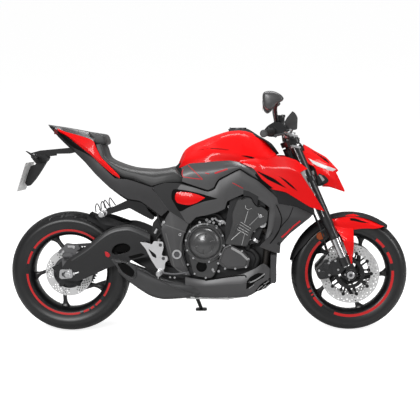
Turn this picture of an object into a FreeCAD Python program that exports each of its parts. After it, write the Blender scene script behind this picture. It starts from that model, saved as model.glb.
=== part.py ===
import FreeCAD
import Part
import math
import os
from FreeCAD import Vector

# A naked sport motorcycle, parked on its side stand and leaning to its left.
# It is drawn upright first: x runs forward from the rear axle, y to the left and
# z up from the ground.  park() then leans it and centres it over the origin.

# Driving sizes of the whole machine
wheelbase = 1460.0
front_radius = 300.0
rear_radius = 315.0
rake_deg = 23.0
lean_deg = 10.0
fork_offset = 32.0
fork_half_span = 105.0
running_gap = 0.3
seat_gap = 0.5
overrun = 2.0

# Lateral layers of the chassis, from the centre plane outwards
neck_half_width = 93.0
chain_centre_y = 104.0
plate_inner_y = 116.0
plate_thickness = 22.0
arm_inner_y = 117.0
arm_thickness = 30.0

rear_axle = (0.0, rear_radius)
front_axle = (wheelbase, front_radius)
rake = math.radians(rake_deg)
lean = math.radians(lean_deg)
fork_up = Vector(-math.sin(rake), 0, math.cos(rake))
fork_fore = Vector(math.cos(rake), 0, math.sin(rake))
full_turn = 360.0


def leg_point(height, side=0.0):
    """A point on a fork leg's axis, at a height above the ground."""
    along = (height - front_axle[1]) / math.cos(rake)
    return Vector(front_axle[0], side * fork_half_span, front_axle[1]) + fork_up * along


def steer_point(height):
    """A point on the steering axis, at a height above the ground."""
    along = (height - front_axle[1] + fork_offset * math.sin(rake)) / math.cos(rake)
    start = Vector(front_axle[0], 0, front_axle[1]) - fork_fore * fork_offset
    return start + fork_up * along


# Outlines, plates, nets, turned bodies, rods and lofts

def place(shares, low, size):
    """Side-view points from shares of a box with its low corner and its size."""
    return [(low[0] + sx * size[0], low[1] + sz * size[1]) for sx, sz in shares]


def net(shares, low, size, half_width):
    """Points in space from shares of a side-view box and of a half width."""
    return [Vector(low[0] + sx * size[0], sy * half_width, low[1] + sz * size[1])
            for sx, sz, sy in shares]


def stations(shares, low, size, half_width):
    """Rows of x, low and high z and half widths, from shares of a box and of a half width."""
    return [(low[0] + row[0] * size[0], low[1] + row[1] * size[1], low[1] + row[2] * size[1])
            + tuple(share * half_width for share in row[3:]) for row in shares]


def box_stations(shares, low, size):
    """Rows of one place and two pairs of limits, from shares of a box with three sizes."""
    return [(low[0] + a * size[0], low[1] + b0 * size[1], low[1] + b1 * size[1],
             low[2] + c0 * size[2], low[2] + c1 * size[2]) for a, b0, b1, c0, c1 in shares]


def rounded_wire(points, radius):
    """A closed wire through corner points, each corner rounded as far as its sides allow."""
    edges = []
    ends = []
    count = len(points)
    for i in range(count):
        corner = points[i]
        back = points[i - 1] - corner
        ahead = points[(i + 1) % count] - corner
        reach = min(back.Length, ahead.Length)
        back.normalize()
        ahead.normalize()
        half = back.getAngle(ahead) / 2
        if radius <= 0 or half > math.radians(88):
            ends.append((corner, corner))
            continue
        cut = min(radius / math.tan(half), 0.45 * reach)
        round_r = cut * math.tan(half)
        inward = (back + ahead)
        inward.normalize()
        start = corner + back * cut
        stop = corner + ahead * cut
        middle = corner + inward * (round_r / math.sin(half) - round_r)
        edges.append(Part.Arc(start, middle, stop).toShape())
        ends.append((start, stop))
    for i in range(count):
        a = ends[i][1]
        b = ends[(i + 1) % count][0]
        if (b - a).Length > 1e-6:
            edges.append(Part.makeLine(a, b))
    return Part.Wire(Part.__sortEdges__(edges))


def side_plate(points, y_low, y_high, radius=0.0):
    """A plate with a side-view outline, from one y to another."""
    corners = [Vector(x, y_low, z) for x, z in points]
    face = Part.Face(rounded_wire(corners, radius))
    return face.extrude(Vector(0, y_high - y_low, 0))


def block(x_low, x_high, y_low, y_high, z_low, z_high):
    """A box between two corners."""
    return Part.makeBox(x_high - x_low, y_high - y_low, z_high - z_low,
                        Vector(x_low, y_low, z_low))


def curved_panel(outline, plan, thickness):
    """A sheet with a side-view outline that follows a line in the plan view, on the right."""
    high = max(z for x, z in outline) + overrun
    low = min(z for x, z in outline) - overrun
    outer = [Vector(x, -y, low) for x, y in plan]
    inner = [Vector(x, thickness - y, low) for x, y in reversed(plan)]
    slab = Part.Face(Part.makePolygon(outer + inner + outer[:1]))
    slab = slab.extrude(Vector(0, 0, high - low))
    reach = max(y for x, y in plan) + overrun
    return side_plate(outline, -reach, 0).common(slab)


def mirrored(shape):
    """The same shape on the other side of the centre plane."""
    return shape.mirror(Vector(0, 0, 0), Vector(0, 1, 0))


def both_sides(shape):
    """A shape and its mirror image, as two solids."""
    return Part.makeCompound(shape.Solids + mirrored(shape).Solids)


def turned(profile, centre):
    """A closed profile of (radius, y) turned about the y axis through a side-view centre."""
    corners = [Vector(centre[0], y, centre[1] + r) for r, y in profile]
    face = Part.Face(Part.makePolygon(corners + corners[:1]))
    return face.revolve(Vector(centre[0], 0, centre[1]), Vector(0, 1, 0), full_turn)


def cylinder_y(radius, centre, y_low, y_high):
    """A round bar along y."""
    return Part.makeCylinder(radius, y_high - y_low, Vector(centre[0], y_low, centre[1]),
                             Vector(0, 1, 0))


def bar(start, stop, radius, end_radius=None):
    """A round bar, straight or tapered, between two points."""
    axis = stop - start
    if end_radius is None or abs(end_radius - radius) < 1e-9:
        return Part.makeCylinder(radius, axis.Length, start, axis)
    return Part.makeCone(radius, end_radius, axis.Length, start, axis)


def rod(points, radius, bore=0.0):
    """A bent tube or rod: straight runs joined by tangent arcs as large as the runs allow."""
    edges = []
    previous = points[0]
    for i in range(1, len(points) - 1):
        corner = points[i]
        back = points[i - 1] - corner
        ahead = points[i + 1] - corner
        cut = 0.45 * min(back.Length, ahead.Length)
        back.normalize()
        ahead.normalize()
        half = back.getAngle(ahead) / 2
        inward = back + ahead
        inward.normalize()
        round_r = cut * math.tan(half)
        start = corner + back * cut
        stop = corner + ahead * cut
        middle = corner + inward * (round_r / math.sin(half) - round_r)
        edges.append(Part.makeLine(previous, start))
        edges.append(Part.Arc(start, middle, stop).toShape())
        previous = stop
    edges.append(Part.makeLine(previous, points[-1]))
    path = Part.Wire(edges)
    tangent = points[1] - points[0]
    ring = Part.Wire([Part.makeCircle(radius, points[0], tangent)])
    pipe = path.makePipeShell([ring], True, True)
    if bore > 0:
        core = Part.Wire([Part.makeCircle(bore, points[0], tangent)])
        pipe = pipe.cut(path.makePipeShell([core], True, True))
    return pipe


def section(x, z_low, z_high, half_width, shares):
    """A closed smooth cross-section at one x, from shares of its half width and height."""
    height = z_high - z_low
    right = [Vector(x, sy * half_width, z_low + sz * height) for sy, sz in shares]
    left = [Vector(p.x, -p.y, p.z) for p in reversed(right) if abs(p.y) > 1e-9]
    curve = Part.BSplineCurve()
    curve.interpolate(Points=right + left, PeriodicFlag=True)
    return Part.Wire([curve.toShape()])


def box_section(x, z_low, z_high, half_low, half_high):
    """A four-sided cross-section at one x, with its own width at the foot and at the top."""
    corners = [Vector(x, -half_low, z_low), Vector(x, half_low, z_low),
               Vector(x, half_high, z_high), Vector(x, -half_high, z_high)]
    return Part.makePolygon(corners + corners[:1])


def loft(sections, ruled=False):
    """A solid through a row of cross-sections."""
    return Part.makeLoft(sections, True, ruled)


def fused(shapes):
    """One body from pieces that grow into each other."""
    whole = shapes[0].multiFuse(shapes[1:])
    return whole.removeSplitter()


# Tyres: a round crown, full sidewalls and beads that sit between the rim's flanges

rim_bed_radius = 216.0
rim_flange_radius = 230.0
rim_half_width_rear = 72.0
rim_half_width_front = 52.0
flange_thickness = 7.0
tyre_bead_gap = 0.3
bead_width = 12.0
tread_depth = 11.0
sidewall_thickness = 9.0
shoulder_share = 0.62
shoulder_width_share = 0.86
bulge_share = 0.36


def tyre(centre, outer_radius, half_width, rim_half_width):
    """A tubeless tyre as a ring whose section has a crown arc and two sidewall arcs."""
    bead = rim_bed_radius + tyre_bead_gap
    bead_y = rim_half_width - flange_thickness - tyre_bead_gap
    lip = rim_flange_radius + tyre_bead_gap
    wall = outer_radius - rim_flange_radius
    cx, cz = centre

    def at(r, y):
        return Vector(cx, y, cz + r)

    shoulder = lip + wall * shoulder_share
    bulge = lip + wall * bulge_share
    heel_y = bead_y - bead_width
    inner_top = outer_radius - tread_depth
    inner_y = half_width - sidewall_thickness
    edges = [
        Part.makeLine(at(bead, -heel_y), at(lip, -heel_y)),
        Part.Arc(at(lip, -heel_y), at(bulge, -inner_y),
                 at(shoulder, -inner_y * shoulder_width_share)).toShape(),
        Part.Arc(at(shoulder, -inner_y * shoulder_width_share), at(inner_top, 0),
                 at(shoulder, inner_y * shoulder_width_share)).toShape(),
        Part.Arc(at(shoulder, inner_y * shoulder_width_share), at(bulge, inner_y),
                 at(lip, heel_y)).toShape(),
        Part.makeLine(at(lip, heel_y), at(bead, heel_y)),
        Part.makeLine(at(bead, heel_y), at(bead, bead_y)),
        Part.makeLine(at(bead, bead_y), at(lip, bead_y)),
        Part.Arc(at(lip, bead_y), at(bulge, half_width),
                 at(shoulder, half_width * shoulder_width_share)).toShape(),
        Part.Arc(at(shoulder, half_width * shoulder_width_share), at(outer_radius, 0),
                 at(shoulder, -half_width * shoulder_width_share)).toShape(),
        Part.Arc(at(shoulder, -half_width * shoulder_width_share), at(bulge, -half_width),
                 at(lip, -bead_y)).toShape(),
        Part.makeLine(at(lip, -bead_y), at(bead, -bead_y)),
        Part.makeLine(at(bead, -bead_y), at(bead, -heel_y)),
    ]
    face = Part.Face(Part.Wire(edges))
    return face.revolve(Vector(cx, 0, cz), Vector(0, 1, 0), full_turn)


# Cast wheels: a barrel with two flanges, a hub and five slim spokes

rim_wall = 9.0
rim_well_radius = 196.0
spoke_count = 5
spoke_half_thick = 14.0
spoke_root_share = 1.5
spoke_root_half = 15.0
spoke_tip_half = 11.0
axle_radius = 12.5
hub_radius = 44.0
front_hub_half = 66.0
rear_hub_half = 62.0
front_spoke_start_deg = -1.3
rear_spoke_start_deg = 43.5
spoke_tilt_deg = 13.0


def wheel(centre, rim_half, hub_half, first_deg):
    """A cast wheel: barrel, hub, spokes and the bore for its axle."""
    well_half_share = 0.45
    well_half = rim_half * well_half_share
    inner_y = rim_half - flange_thickness
    barrel = turned([
        (rim_flange_radius, rim_half), (rim_bed_radius - rim_wall, rim_half),
        (rim_well_radius - rim_wall, well_half), (rim_well_radius - rim_wall, -well_half),
        (rim_bed_radius - rim_wall, -rim_half), (rim_flange_radius, -rim_half),
        (rim_flange_radius, -inner_y), (rim_bed_radius, -inner_y),
        (rim_well_radius, -well_half), (rim_well_radius, well_half),
        (rim_bed_radius, inner_y), (rim_flange_radius, inner_y)], centre)
    hub = cylinder_y(hub_radius, centre, -hub_half, hub_half)
    pieces = [barrel, hub]
    for i in range(spoke_count):
        tip_angle = math.radians(first_deg + i * full_turn / spoke_count)
        angle = tip_angle + math.radians(spoke_tilt_deg)
        out = Vector(math.cos(angle), 0, math.sin(angle))
        across = Vector(-math.sin(angle), 0, math.cos(angle))
        tip_radius = rim_well_radius - rim_wall + overrun
        tip = Vector(centre[0] + tip_radius * math.cos(tip_angle), 0,
                     centre[1] + tip_radius * math.sin(tip_angle))
        reach = tip_radius * math.cos(math.radians(spoke_tilt_deg))

        def spoke_ring(radius, half, thick):
            base = tip - out * (reach - radius)
            y = Vector(0, thick, 0)
            corners = [base + across * half + y, base + across * half - y,
                       base - across * half - y, base - across * half + y]
            return rounded_wire(corners, half / 2)

        pieces.append(loft([
            spoke_ring(0, spoke_root_half, spoke_half_thick * spoke_root_share),
            spoke_ring(reach + overrun * 3, spoke_tip_half, spoke_half_thick)], True))
    whole = fused(pieces)
    return whole.cut(cylinder_y(axle_radius + running_gap, centre,
                                -hub_half - overrun, hub_half + overrun))


# Brake discs: a steel ring with rows of holes on a spider that bolts to the hub

front_disc_radius = 152.0
rear_disc_radius = 124.0
disc_band = 40.0
disc_thickness = 5.0
disc_hole_radius = 4.5
disc_hole_count = 16
spider_thickness = 7.0
spider_arm_half = 9.0
spider_arms = 5


def disc(centre, outer_radius, y_face, side):
    """A drilled brake disc whose spider reaches in to the hub's end."""
    inner_radius = outer_radius - disc_band
    y0, y1 = sorted((side * y_face, side * (y_face + disc_thickness)))
    ring = cylinder_y(outer_radius, centre, y0, y1)
    ring = ring.cut(cylinder_y(inner_radius, centre, y0 - overrun, y1 + overrun))
    s0, s1 = sorted((side * y_face, side * (y_face + spider_thickness)))
    cup = cylinder_y(hub_radius + spider_arm_half, centre, s0, s1)
    arms = [ring, cup]
    for i in range(spider_arms):
        angle = full_turn * i / spider_arms
        arm = block(hub_radius, inner_radius + overrun * 2, s0, s1,
                    -spider_arm_half, spider_arm_half)
        arm.rotate(Vector(0, 0, 0), Vector(0, 1, 0), angle)
        arm.translate(Vector(centre[0], 0, centre[1]))
        arms.append(arm)
    whole = fused(arms)
    cutters = [cylinder_y(axle_radius + running_gap, centre, s0 - overrun, s1 + overrun)]
    row_shares = (0.28, 0.72)
    for row, share in enumerate(row_shares):
        radius = inner_radius + disc_band * share
        for i in range(disc_hole_count):
            angle = 2 * math.pi * (i + row / 2) / disc_hole_count
            hole = (centre[0] + radius * math.cos(angle), centre[1] + radius * math.sin(angle))
            cutters.append(cylinder_y(disc_hole_radius, hole, y0 - overrun, y1 + overrun))
    return whole.cut(Part.makeCompound(cutters))

# Frame: a steering neck, two spars over the engine and two pivot plates

neck_radius = 31.0
neck_bore = 22.0
neck_foot_z = 799.0
neck_head_z = 952.0
spar_inner_y = 128.0
spar_outer_y = 165.0
tab_thickness = 7.0
pivot_point = (572.0, 409.0)
pivot_shaft_radius = 10.0
cross_tube_radius = 16.0
cross_tube_point = (585.0, 618.0)
crease_radius = 14.0
pivot_plate_low = (491.0, 290.0)
pivot_plate_size = (145.0, 350.0)
pivot_plate_shares = (
    (0.345, 0.997), (0.683, 1.000), (1.000, 0.849), (0.786, 0.640), (0.814, 0.343),
    (1.000, 0.040), (0.917, 0.000), (0.621, 0.080), (0.269, 0.271), (0.145, 0.494),
    (0.000, 0.697), (0.117, 0.843),
)
spar_low = (451.0, 487.0)
spar_size = (686.0, 359.0)
spar_shares = (
    (0.000, 0.766), (0.099, 0.825), (0.201, 0.822), (0.414, 0.708), (0.465, 0.747),
    (0.499, 0.855), (0.655, 1.000), (0.778, 0.978), (0.879, 0.891), (1.000, 0.730),
    (0.971, 0.557), (0.946, 0.504), (0.929, 0.398), (0.908, 0.228), (0.838, 0.000),
    (0.828, 0.036), (0.856, 0.181), (0.870, 0.460), (0.810, 0.560), (0.722, 0.655),
    (0.672, 0.655), (0.561, 0.554), (0.535, 0.448), (0.468, 0.404), (0.328, 0.326),
    (0.267, 0.240), (0.217, 0.315), (0.131, 0.421),
)
mount_tab_low = (915.0, 650.0)
mount_tab_size = (85.0, 110.0)
mount_tab_shares = (
    (0.118, 0.000), (0.824, 0.000), (1.000, 1.000), (0.000, 1.000),
)
neck_box_low = (1072.0, 766.0)
neck_box_size = (133.0, 124.0)
neck_box_shares = (
    (0.000, 0.000), (0.662, 0.129), (1.000, 0.452), (0.752, 1.000), (0.421, 0.839),
    (0.211, 0.452),
)


def frame():
    """Neck, gusset, spars, pivot plates, cross tubes and the swingarm's shaft."""
    plate_outer_y = plate_inner_y + plate_thickness
    pieces = [bar(steer_point(neck_foot_z), steer_point(neck_head_z), neck_radius)]
    box = place(neck_box_shares, neck_box_low, neck_box_size)
    pieces.append(side_plate(box, -neck_half_width * neck_box_width_share,
                             neck_half_width * neck_box_width_share, crease_radius))
    for side in (-1, 1):
        y0, y1 = sorted((side * spar_inner_y, side * spar_outer_y))
        outline = place(spar_shares, spar_low, spar_size)
        pieces.append(side_plate(outline, y0, y1, crease_radius))
        y0, y1 = sorted((side * plate_inner_y, side * plate_outer_y))
        outline = place(pivot_plate_shares, pivot_plate_low, pivot_plate_size)
        pieces.append(side_plate(outline, y0, y1, crease_radius))
        y0, y1 = sorted((side * spar_outer_y, side * (spar_outer_y + tab_thickness)))
        outline = place(mount_tab_shares, mount_tab_low, mount_tab_size)
        pieces.append(side_plate(outline, y0, y1, crease_radius))
    x0, x1, z0, z1 = neck_bridge
    pieces.append(block(x0, x1, -spar_inner_y - overrun, spar_inner_y + overrun, z0, z1))
    pieces.append(cylinder_y(cross_tube_radius, cross_tube_point,
                             -plate_outer_y + overrun, plate_outer_y - overrun))
    pieces.append(cylinder_y(pivot_shaft_radius, pivot_point, -plate_outer_y, plate_outer_y))
    whole = fused(pieces)
    return whole.cut(bar(steer_point(neck_foot_z - neck_radius),
                         steer_point(neck_head_z + neck_radius), neck_bore))


neck_box_width_share = 0.72
neck_bridge = (1000.0, 1104.0, 768.0, 826.0)

# Subframe: two rails and a cross beam under the seats
rail_inner_y = 56.0
rail_outer_y = 68.0
beam_half_width = 128.0
beam_box = (470.0, 500.0, 692.0, 742.0)
rail_tie_x = (300.0, 110.0)
rail_tie_z = (765.0, 925.0)
rail_tie_radius = 9.0
rail_low = (90.0, 690.0)
rail_size = (410.0, 265.0)
rail_shares = (
    (1.000, 0.000), (0.610, 0.170), (0.488, 0.234), (0.366, 0.377), (0.146, 0.672),
    (0.000, 0.875), (0.000, 1.000), (0.146, 0.811), (0.366, 0.536), (0.488, 0.396),
    (0.610, 0.332), (1.000, 0.208),
)


def subframe():
    """Rails from the spars' rear ends to the tail, tied across."""
    pieces = []
    for side in (-1, 1):
        y0, y1 = sorted((side * rail_inner_y, side * rail_outer_y))
        pieces.append(side_plate(place(rail_shares, rail_low, rail_size), y0, y1))
    x0, x1, z0, z1 = beam_box
    pieces.append(block(x0, x1, -beam_half_width, beam_half_width, z0, z1))
    for x, z in zip(rail_tie_x, rail_tie_z):
        pieces.append(cylinder_y(rail_tie_radius, (x, z), -rail_outer_y, rail_outer_y))
    return fused(pieces)


# Engine: crankcase, leaning cylinders and the covers at its sides

crankcase_right_y = -112.0
crankcase_left_y = 86.0
head_side_y = 165.0
crankcase_low = (612.0, 250.0)
crankcase_size = (373.0, 312.0)
crankcase_shares = (
    (0.000, 0.160), (0.102, 0.038), (0.397, 0.000), (0.853, 0.000), (1.000, 0.160),
    (1.000, 0.481), (0.946, 0.628), (0.504, 0.737), (0.290, 1.000), (0.048, 1.000),
    (0.000, 0.865),
)
cylinders_low = (800.0, 430.0)
cylinders_size = (234.0, 279.0)
cylinders_shares = (
    (0.000, 0.036), (0.000, 0.143), (0.090, 0.158), (0.286, 0.570), (0.261, 0.685),
    (0.397, 0.961), (0.615, 1.000), (1.000, 0.832), (0.987, 0.609), (0.705, 0.269),
    (0.675, 0.000),
)
engine_lugs = ((640.0, 520.0), (640.0, 330.0))
engine_lug_box_half = 14.0
lug_reach_share = 1.6


def crankcase():
    """The crankcase as one casting, with lugs that reach the pivot plates."""
    outline = place(crankcase_shares, crankcase_low, crankcase_size)
    whole = side_plate(outline, crankcase_right_y, crankcase_left_y, crease_radius)
    lugs = []
    half = engine_lug_box_half
    for x, z in engine_lugs:
        for y0, y1 in ((-plate_inner_y, crankcase_right_y), (crankcase_left_y, plate_inner_y)):
            lugs.append(block(x - half * lug_reach_share, x + half, y0, y1, z - half, z + half))
    return fused([whole] + lugs)


def cylinders():
    """The row of cylinders and their head, standing on the crankcase."""
    outline = place(cylinders_shares, cylinders_low, cylinders_size)
    whole = side_plate(outline, -head_side_y, head_side_y)
    case = place(crankcase_shares, crankcase_low, crankcase_size)
    foot = side_plate(case, -head_side_y - overrun, head_side_y + overrun)
    return whole.cut(foot)


clutch_centre = (718.0, 473.0)
clutch_radius = 84.0
clutch_face_radius = 62.0
clutch_base_y = -136.0
clutch_rim_y = -174.0
clutch_face_y = -182.0
window_centre = (702.0, 356.0)
window_radius = 23.0
window_y = -146.0
clutch_base_low = (634.0, 285.0)
clutch_base_size = (166.0, 270.0)
clutch_base_shares = (
    (0.042, 1.000), (0.518, 0.963), (1.000, 0.685), (0.916, 0.407), (0.904, 0.211),
    (0.717, 0.000), (0.157, 0.056), (0.000, 0.426), (0.000, 0.722),
)


def clutch_cover():
    """The right-hand cover: a flat base, the clutch's drum and an oil window."""
    outline = place(clutch_base_shares, clutch_base_low, clutch_base_size)
    pieces = [side_plate(outline, clutch_base_y, crankcase_right_y, crease_radius)]
    pieces.append(cylinder_y(clutch_radius, clutch_centre, clutch_rim_y, clutch_base_y))
    pieces.append(cylinder_y(clutch_face_radius, clutch_centre, clutch_face_y, clutch_rim_y))
    pieces.append(cylinder_y(window_radius, window_centre, window_y, clutch_base_y))
    return fused(pieces).cut(crankcase())


generator_y = -160.0
generator_face_y = -174.0
generator_cover_low = (788.0, 343.0)
generator_cover_size = (157.0, 128.0)
generator_cover_shares = (
    (0.038, 0.406), (0.420, 1.000), (0.713, 0.758), (1.000, 0.312), (0.854, 0.031),
    (0.000, 0.000),
)
generator_face_low = (806.0, 358.0)
generator_face_size = (120.0, 94.0)
generator_face_shares = (
    (0.050, 0.362), (0.433, 1.000), (0.717, 0.766), (1.000, 0.277), (0.867, 0.043),
    (0.000, 0.000),
)


def generator_cover():
    """The pointed cover ahead of the clutch."""
    outline = place(generator_cover_shares, generator_cover_low, generator_cover_size)
    raised = place(generator_face_shares, generator_face_low, generator_face_size)
    cover = fused([side_plate(outline, generator_y, crankcase_right_y),
                   side_plate(raised, generator_face_y, generator_y)])
    base = place(clutch_base_shares, clutch_base_low, clutch_base_size)
    cover = cover.cut(side_plate(base, clutch_base_y, crankcase_right_y, crease_radius))
    cover = cover.cut(cylinder_y(clutch_radius + seat_gap, clutch_centre, clutch_rim_y,
                                 clutch_base_y))
    cover = cover.cut(cylinders())
    return max(cover.Solids, key=lambda s: s.Volume)


alternator_centre = (868.0, 392.0)
alternator_radius = 74.0
alternator_face_radius = 52.0
alternator_y = 146.0
alternator_face_y = 154.0
sprocket_box = (636.0, 760.0, 345.0, 520.0)
sprocket_cover_y = 134.0
sprocket_cover_wall = 5.0


def left_covers():
    """The alternator's drum and the box over the engine's sprocket."""
    drum = fused([cylinder_y(alternator_radius, alternator_centre, crankcase_left_y, alternator_y),
                  cylinder_y(alternator_face_radius, alternator_centre, alternator_y,
                             alternator_face_y)])
    drum = drum.cut(cylinders())
    x0, x1, z0, z1 = sprocket_box
    wall = sprocket_cover_wall
    shell = block(x0, x1, crankcase_left_y, sprocket_cover_y, z0, z1)
    shell = shell.makeChamfer(wall * 2, [shell.Edges[i] for i in (5, 7)])
    inside = block(x0 - wall, x1 - wall, crankcase_left_y - wall, sprocket_cover_y - wall,
                   z0 + wall, z1 - wall)
    lug_x = engine_lugs[0][0] + engine_lug_box_half + seat_gap
    lugs = block(x0 - wall, lug_x, crankcase_left_y - wall, sprocket_cover_y - wall,
                 z0 - wall, z1 + wall)
    shell = shell.cut(inside).cut(lugs).cut(drum)
    return Part.makeCompound([drum, max(shell.Solids, key=lambda s: s.Volume)])


# Cooling: a tall radiator, a lower cooler, two stays to the head and the side shrouds

radiator_half_width = 148.0
shroud_inner_y = 181.0
shroud_pins = ((1112.0, 610.0), (1094.0, 470.0))
shroud_pin_radius = 8.0
cooler_half_width = 120.0
stay_radius = 9.0
stay_y = 100.0
stay_z = 640.0
stay_ends_x = (1010.0, 1116.0)
cooler_link = (1064.0, 1084.0, 400.0, 440.0)
cooler_link_y = (-90.0, 70.0)
cooler_link_width = 20.0
radiator_low = (1058.0, 425.0)
radiator_size = (74.0, 243.0)
radiator_shares = (
    (0.000, 0.021), (0.459, 0.000), (1.000, 0.979), (0.541, 1.000),
)
cooler_low = (1044.0, 259.0)
cooler_size = (42.0, 159.0)
cooler_shares = (
    (0.000, 0.019), (0.762, 0.000), (1.000, 0.981), (0.238, 1.000),
)
shroud_low = (993.0, 420.0)
shroud_size = (271.0, 320.0)
shroud_shares = (
    (0.192, 1.000), (0.542, 0.844), (0.631, 0.750), (1.000, 0.619), (0.989, 0.591),
    (0.779, 0.522), (0.513, 0.297), (0.395, 0.019), (0.369, 0.000), (0.387, 0.138),
    (0.070, 0.122), (0.000, 0.122), (0.210, 0.300), (0.339, 0.456), (0.461, 0.713),
)
shroud_thickness = 4.0


def radiator():
    """Both cores with the links between them and the stays to the head."""
    pieces = [
        side_plate(place(radiator_shares, radiator_low, radiator_size),
                   -radiator_half_width, radiator_half_width),
        side_plate(place(cooler_shares, cooler_low, cooler_size),
                   -cooler_half_width, cooler_half_width)]
    x0, x1, z0, z1 = cooler_link
    for y in cooler_link_y:
        pieces.append(block(x0, x1, y, y + cooler_link_width, z0, z1))
    for side in (-1, 1):
        y = side * stay_y
        stay = bar(Vector(stay_ends_x[0], y, stay_z), Vector(stay_ends_x[1], y, stay_z),
                   stay_radius)
        pieces.append(stay.cut(cylinders()))
    for point in shroud_pins:
        pieces.append(cylinder_y(shroud_pin_radius, point, -shroud_inner_y, shroud_inner_y))
    whole = fused(pieces).cut(frame())
    return max(whole.Solids, key=lambda s: s.Volume)


def radiator_shrouds():
    """The side shrouds of the radiator."""
    outline = place(shroud_shares, shroud_low, shroud_size)
    right = side_plate(outline, -shroud_inner_y - shroud_thickness, -shroud_inner_y)
    return both_sides(right)


# Belly pan: two side plates joined by a floor, on stand-offs from the crankcase

belly_side_y = 156.0
belly_wall = 4.0
belly_floor = (662.0, 943.0)
belly_floor_z = 197.0
belly_floor_inset = 6.0
standoff_points = ((690.0, 280.0), (930.0, 320.0))
standoff_radius = 7.0
belly_low = (634.0, 182.0)
belly_size = (451.0, 194.0)
belly_shares = (
    (0.000, 0.598), (0.297, 0.474), (0.299, 0.593), (0.521, 0.655), (0.831, 1.000),
    (1.000, 0.675), (0.685, 0.103), (0.463, 0.000), (0.062, 0.077),
)


def belly_pan():
    """The belly pan, open at the top and at the rear for the exhaust."""
    outline = place(belly_shares, belly_low, belly_size)
    pieces = []
    for side in (-1, 1):
        y0, y1 = sorted((side * belly_side_y, side * (belly_side_y + belly_wall)))
        pieces.append(side_plate(outline, y0, y1))
        face_y = crankcase_left_y if side > 0 else crankcase_right_y
        for point in standoff_points:
            y0, y1 = sorted((face_y, side * (belly_side_y + overrun)))
            pieces.append(cylinder_y(standoff_radius, point, y0, y1))
    x0, x1 = belly_floor
    pieces.append(block(x0 + belly_floor_inset, x1 + belly_floor_inset, -belly_side_y - overrun,
                        belly_side_y + overrun, belly_floor_z - belly_wall, belly_floor_z))
    return fused(pieces)


# Exhaust: four headers into a collector, then a short silencer on the right

header_radius = 19.0
header_bore = 16.5
header_port = (978.0, 562.0)
header_path_low = (800.0, 222.0)
header_path_size = (246.0, 298.0)
header_path_shares = (
    (1.000, 1.000), (0.890, 0.262), (0.752, 0.000), (0.000, 0.000),
)
header_path = place(header_path_shares, header_path_low, header_path_size)
header_ports_y = (-105.0, -35.0, 35.0, 105.0)
header_ends_y = (-66.0, -22.0, 22.0, 66.0)
collector_x = (800.0, 700.0)
collector_half = (88.0, 60.0)
collector_z = (202.0, 242.0)
silencer_wall = 3.0
silencer_corner_share = 0.3
silencer_low = (286.0, -164.0, 182.0)
silencer_size = (414.0, 210.0, 182.0)
silencer_station_shares = (
    # x, y low, y high, z low, z high
    (1.000, 0.429, 1.000, 0.132, 0.330), (0.915, 0.210, 0.971, 0.110, 0.385),
    (0.662, 0.038, 0.829, 0.011, 0.495), (0.471, 0.033, 0.590, 0.000, 0.670),
    (0.326, 0.029, 0.495, 0.121, 0.824), (0.174, 0.019, 0.381, 0.374, 0.956),
    (0.087, 0.010, 0.314, 0.505, 1.000), (0.000, 0.000, 0.286, 0.681, 0.945),
)
silencer_table = box_stations(silencer_station_shares, silencer_low, silencer_size)
outlet_y = (150.0, 178.0)
outlet_pocket_depth = 18.0
outlet_bore = 17.0
outlet_low = (235.0, 284.0)
outlet_size = (137.0, 113.0)
outlet_shares = (
    (0.000, 1.000), (0.628, 0.823), (0.927, 0.637), (1.000, 0.372), (0.854, 0.071),
    (0.635, 0.000), (0.292, 0.257),
)
outlet_mouth_low = (254.0, 300.0)
outlet_mouth_size = (104.0, 83.0)
outlet_mouth_shares = (
    (0.000, 1.000), (0.654, 0.795), (1.000, 0.313), (0.885, 0.000), (0.654, 0.000),
    (0.337, 0.313),
)


def exhaust_headers():
    """Four bent tubes from the head's ports and the box they run into."""
    pieces = []
    for y_port, y_end in zip(header_ports_y, header_ends_y):
        points = [Vector(header_port[0], y_port, header_port[1])]
        for i, (x, z) in enumerate(header_path):
            y = y_port if i < 2 else y_end
            points.append(Vector(x, y, z))
        pipe = rod(points, header_radius, header_bore)
        pieces.append(pipe.cut(cylinders()))
    x0, x1 = collector_x
    z0, z1 = collector_z
    box = loft([box_section(x, z0, z1, half, half)
                for x, half in zip((x0, x1), collector_half)], True)
    return Part.makeCompound([max(p.Solids, key=lambda s: s.Volume) for p in pieces] + [box])


def silencer_ring(row, wall, corner_share):
    """One rounded section of the silencer."""
    x, y0, y1, z0, z1 = row
    corners = [Vector(x, y0 + wall, z0 + wall), Vector(x, y1 - wall, z0 + wall),
               Vector(x, y1 - wall, z1 - wall), Vector(x, y0 + wall, z1 - wall)]
    return rounded_wire(corners, (z1 - z0) * corner_share)


def silencer():
    """The silencer's shell and its outlet tube."""
    outer = loft([silencer_ring(row, 0, silencer_corner_share) for row in silencer_table], True)
    inner = loft([silencer_ring(row, silencer_wall, silencer_corner_share)
                  for row in silencer_table[1:-1]], True)
    shell = outer.cut(inner)
    horn = side_plate(place(outlet_shares, outlet_low, outlet_size), -outlet_y[1], -outlet_y[0],
                      silencer_wall)
    mouth = side_plate(place(outlet_mouth_shares, outlet_mouth_low, outlet_mouth_size),
                       -outlet_y[1] - overrun, -outlet_y[1] + outlet_pocket_depth,
                       outlet_bore / 2)
    return fused([shell, horn]).cut(mouth)


# Fuel tank, its cover and the fuel cap

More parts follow.
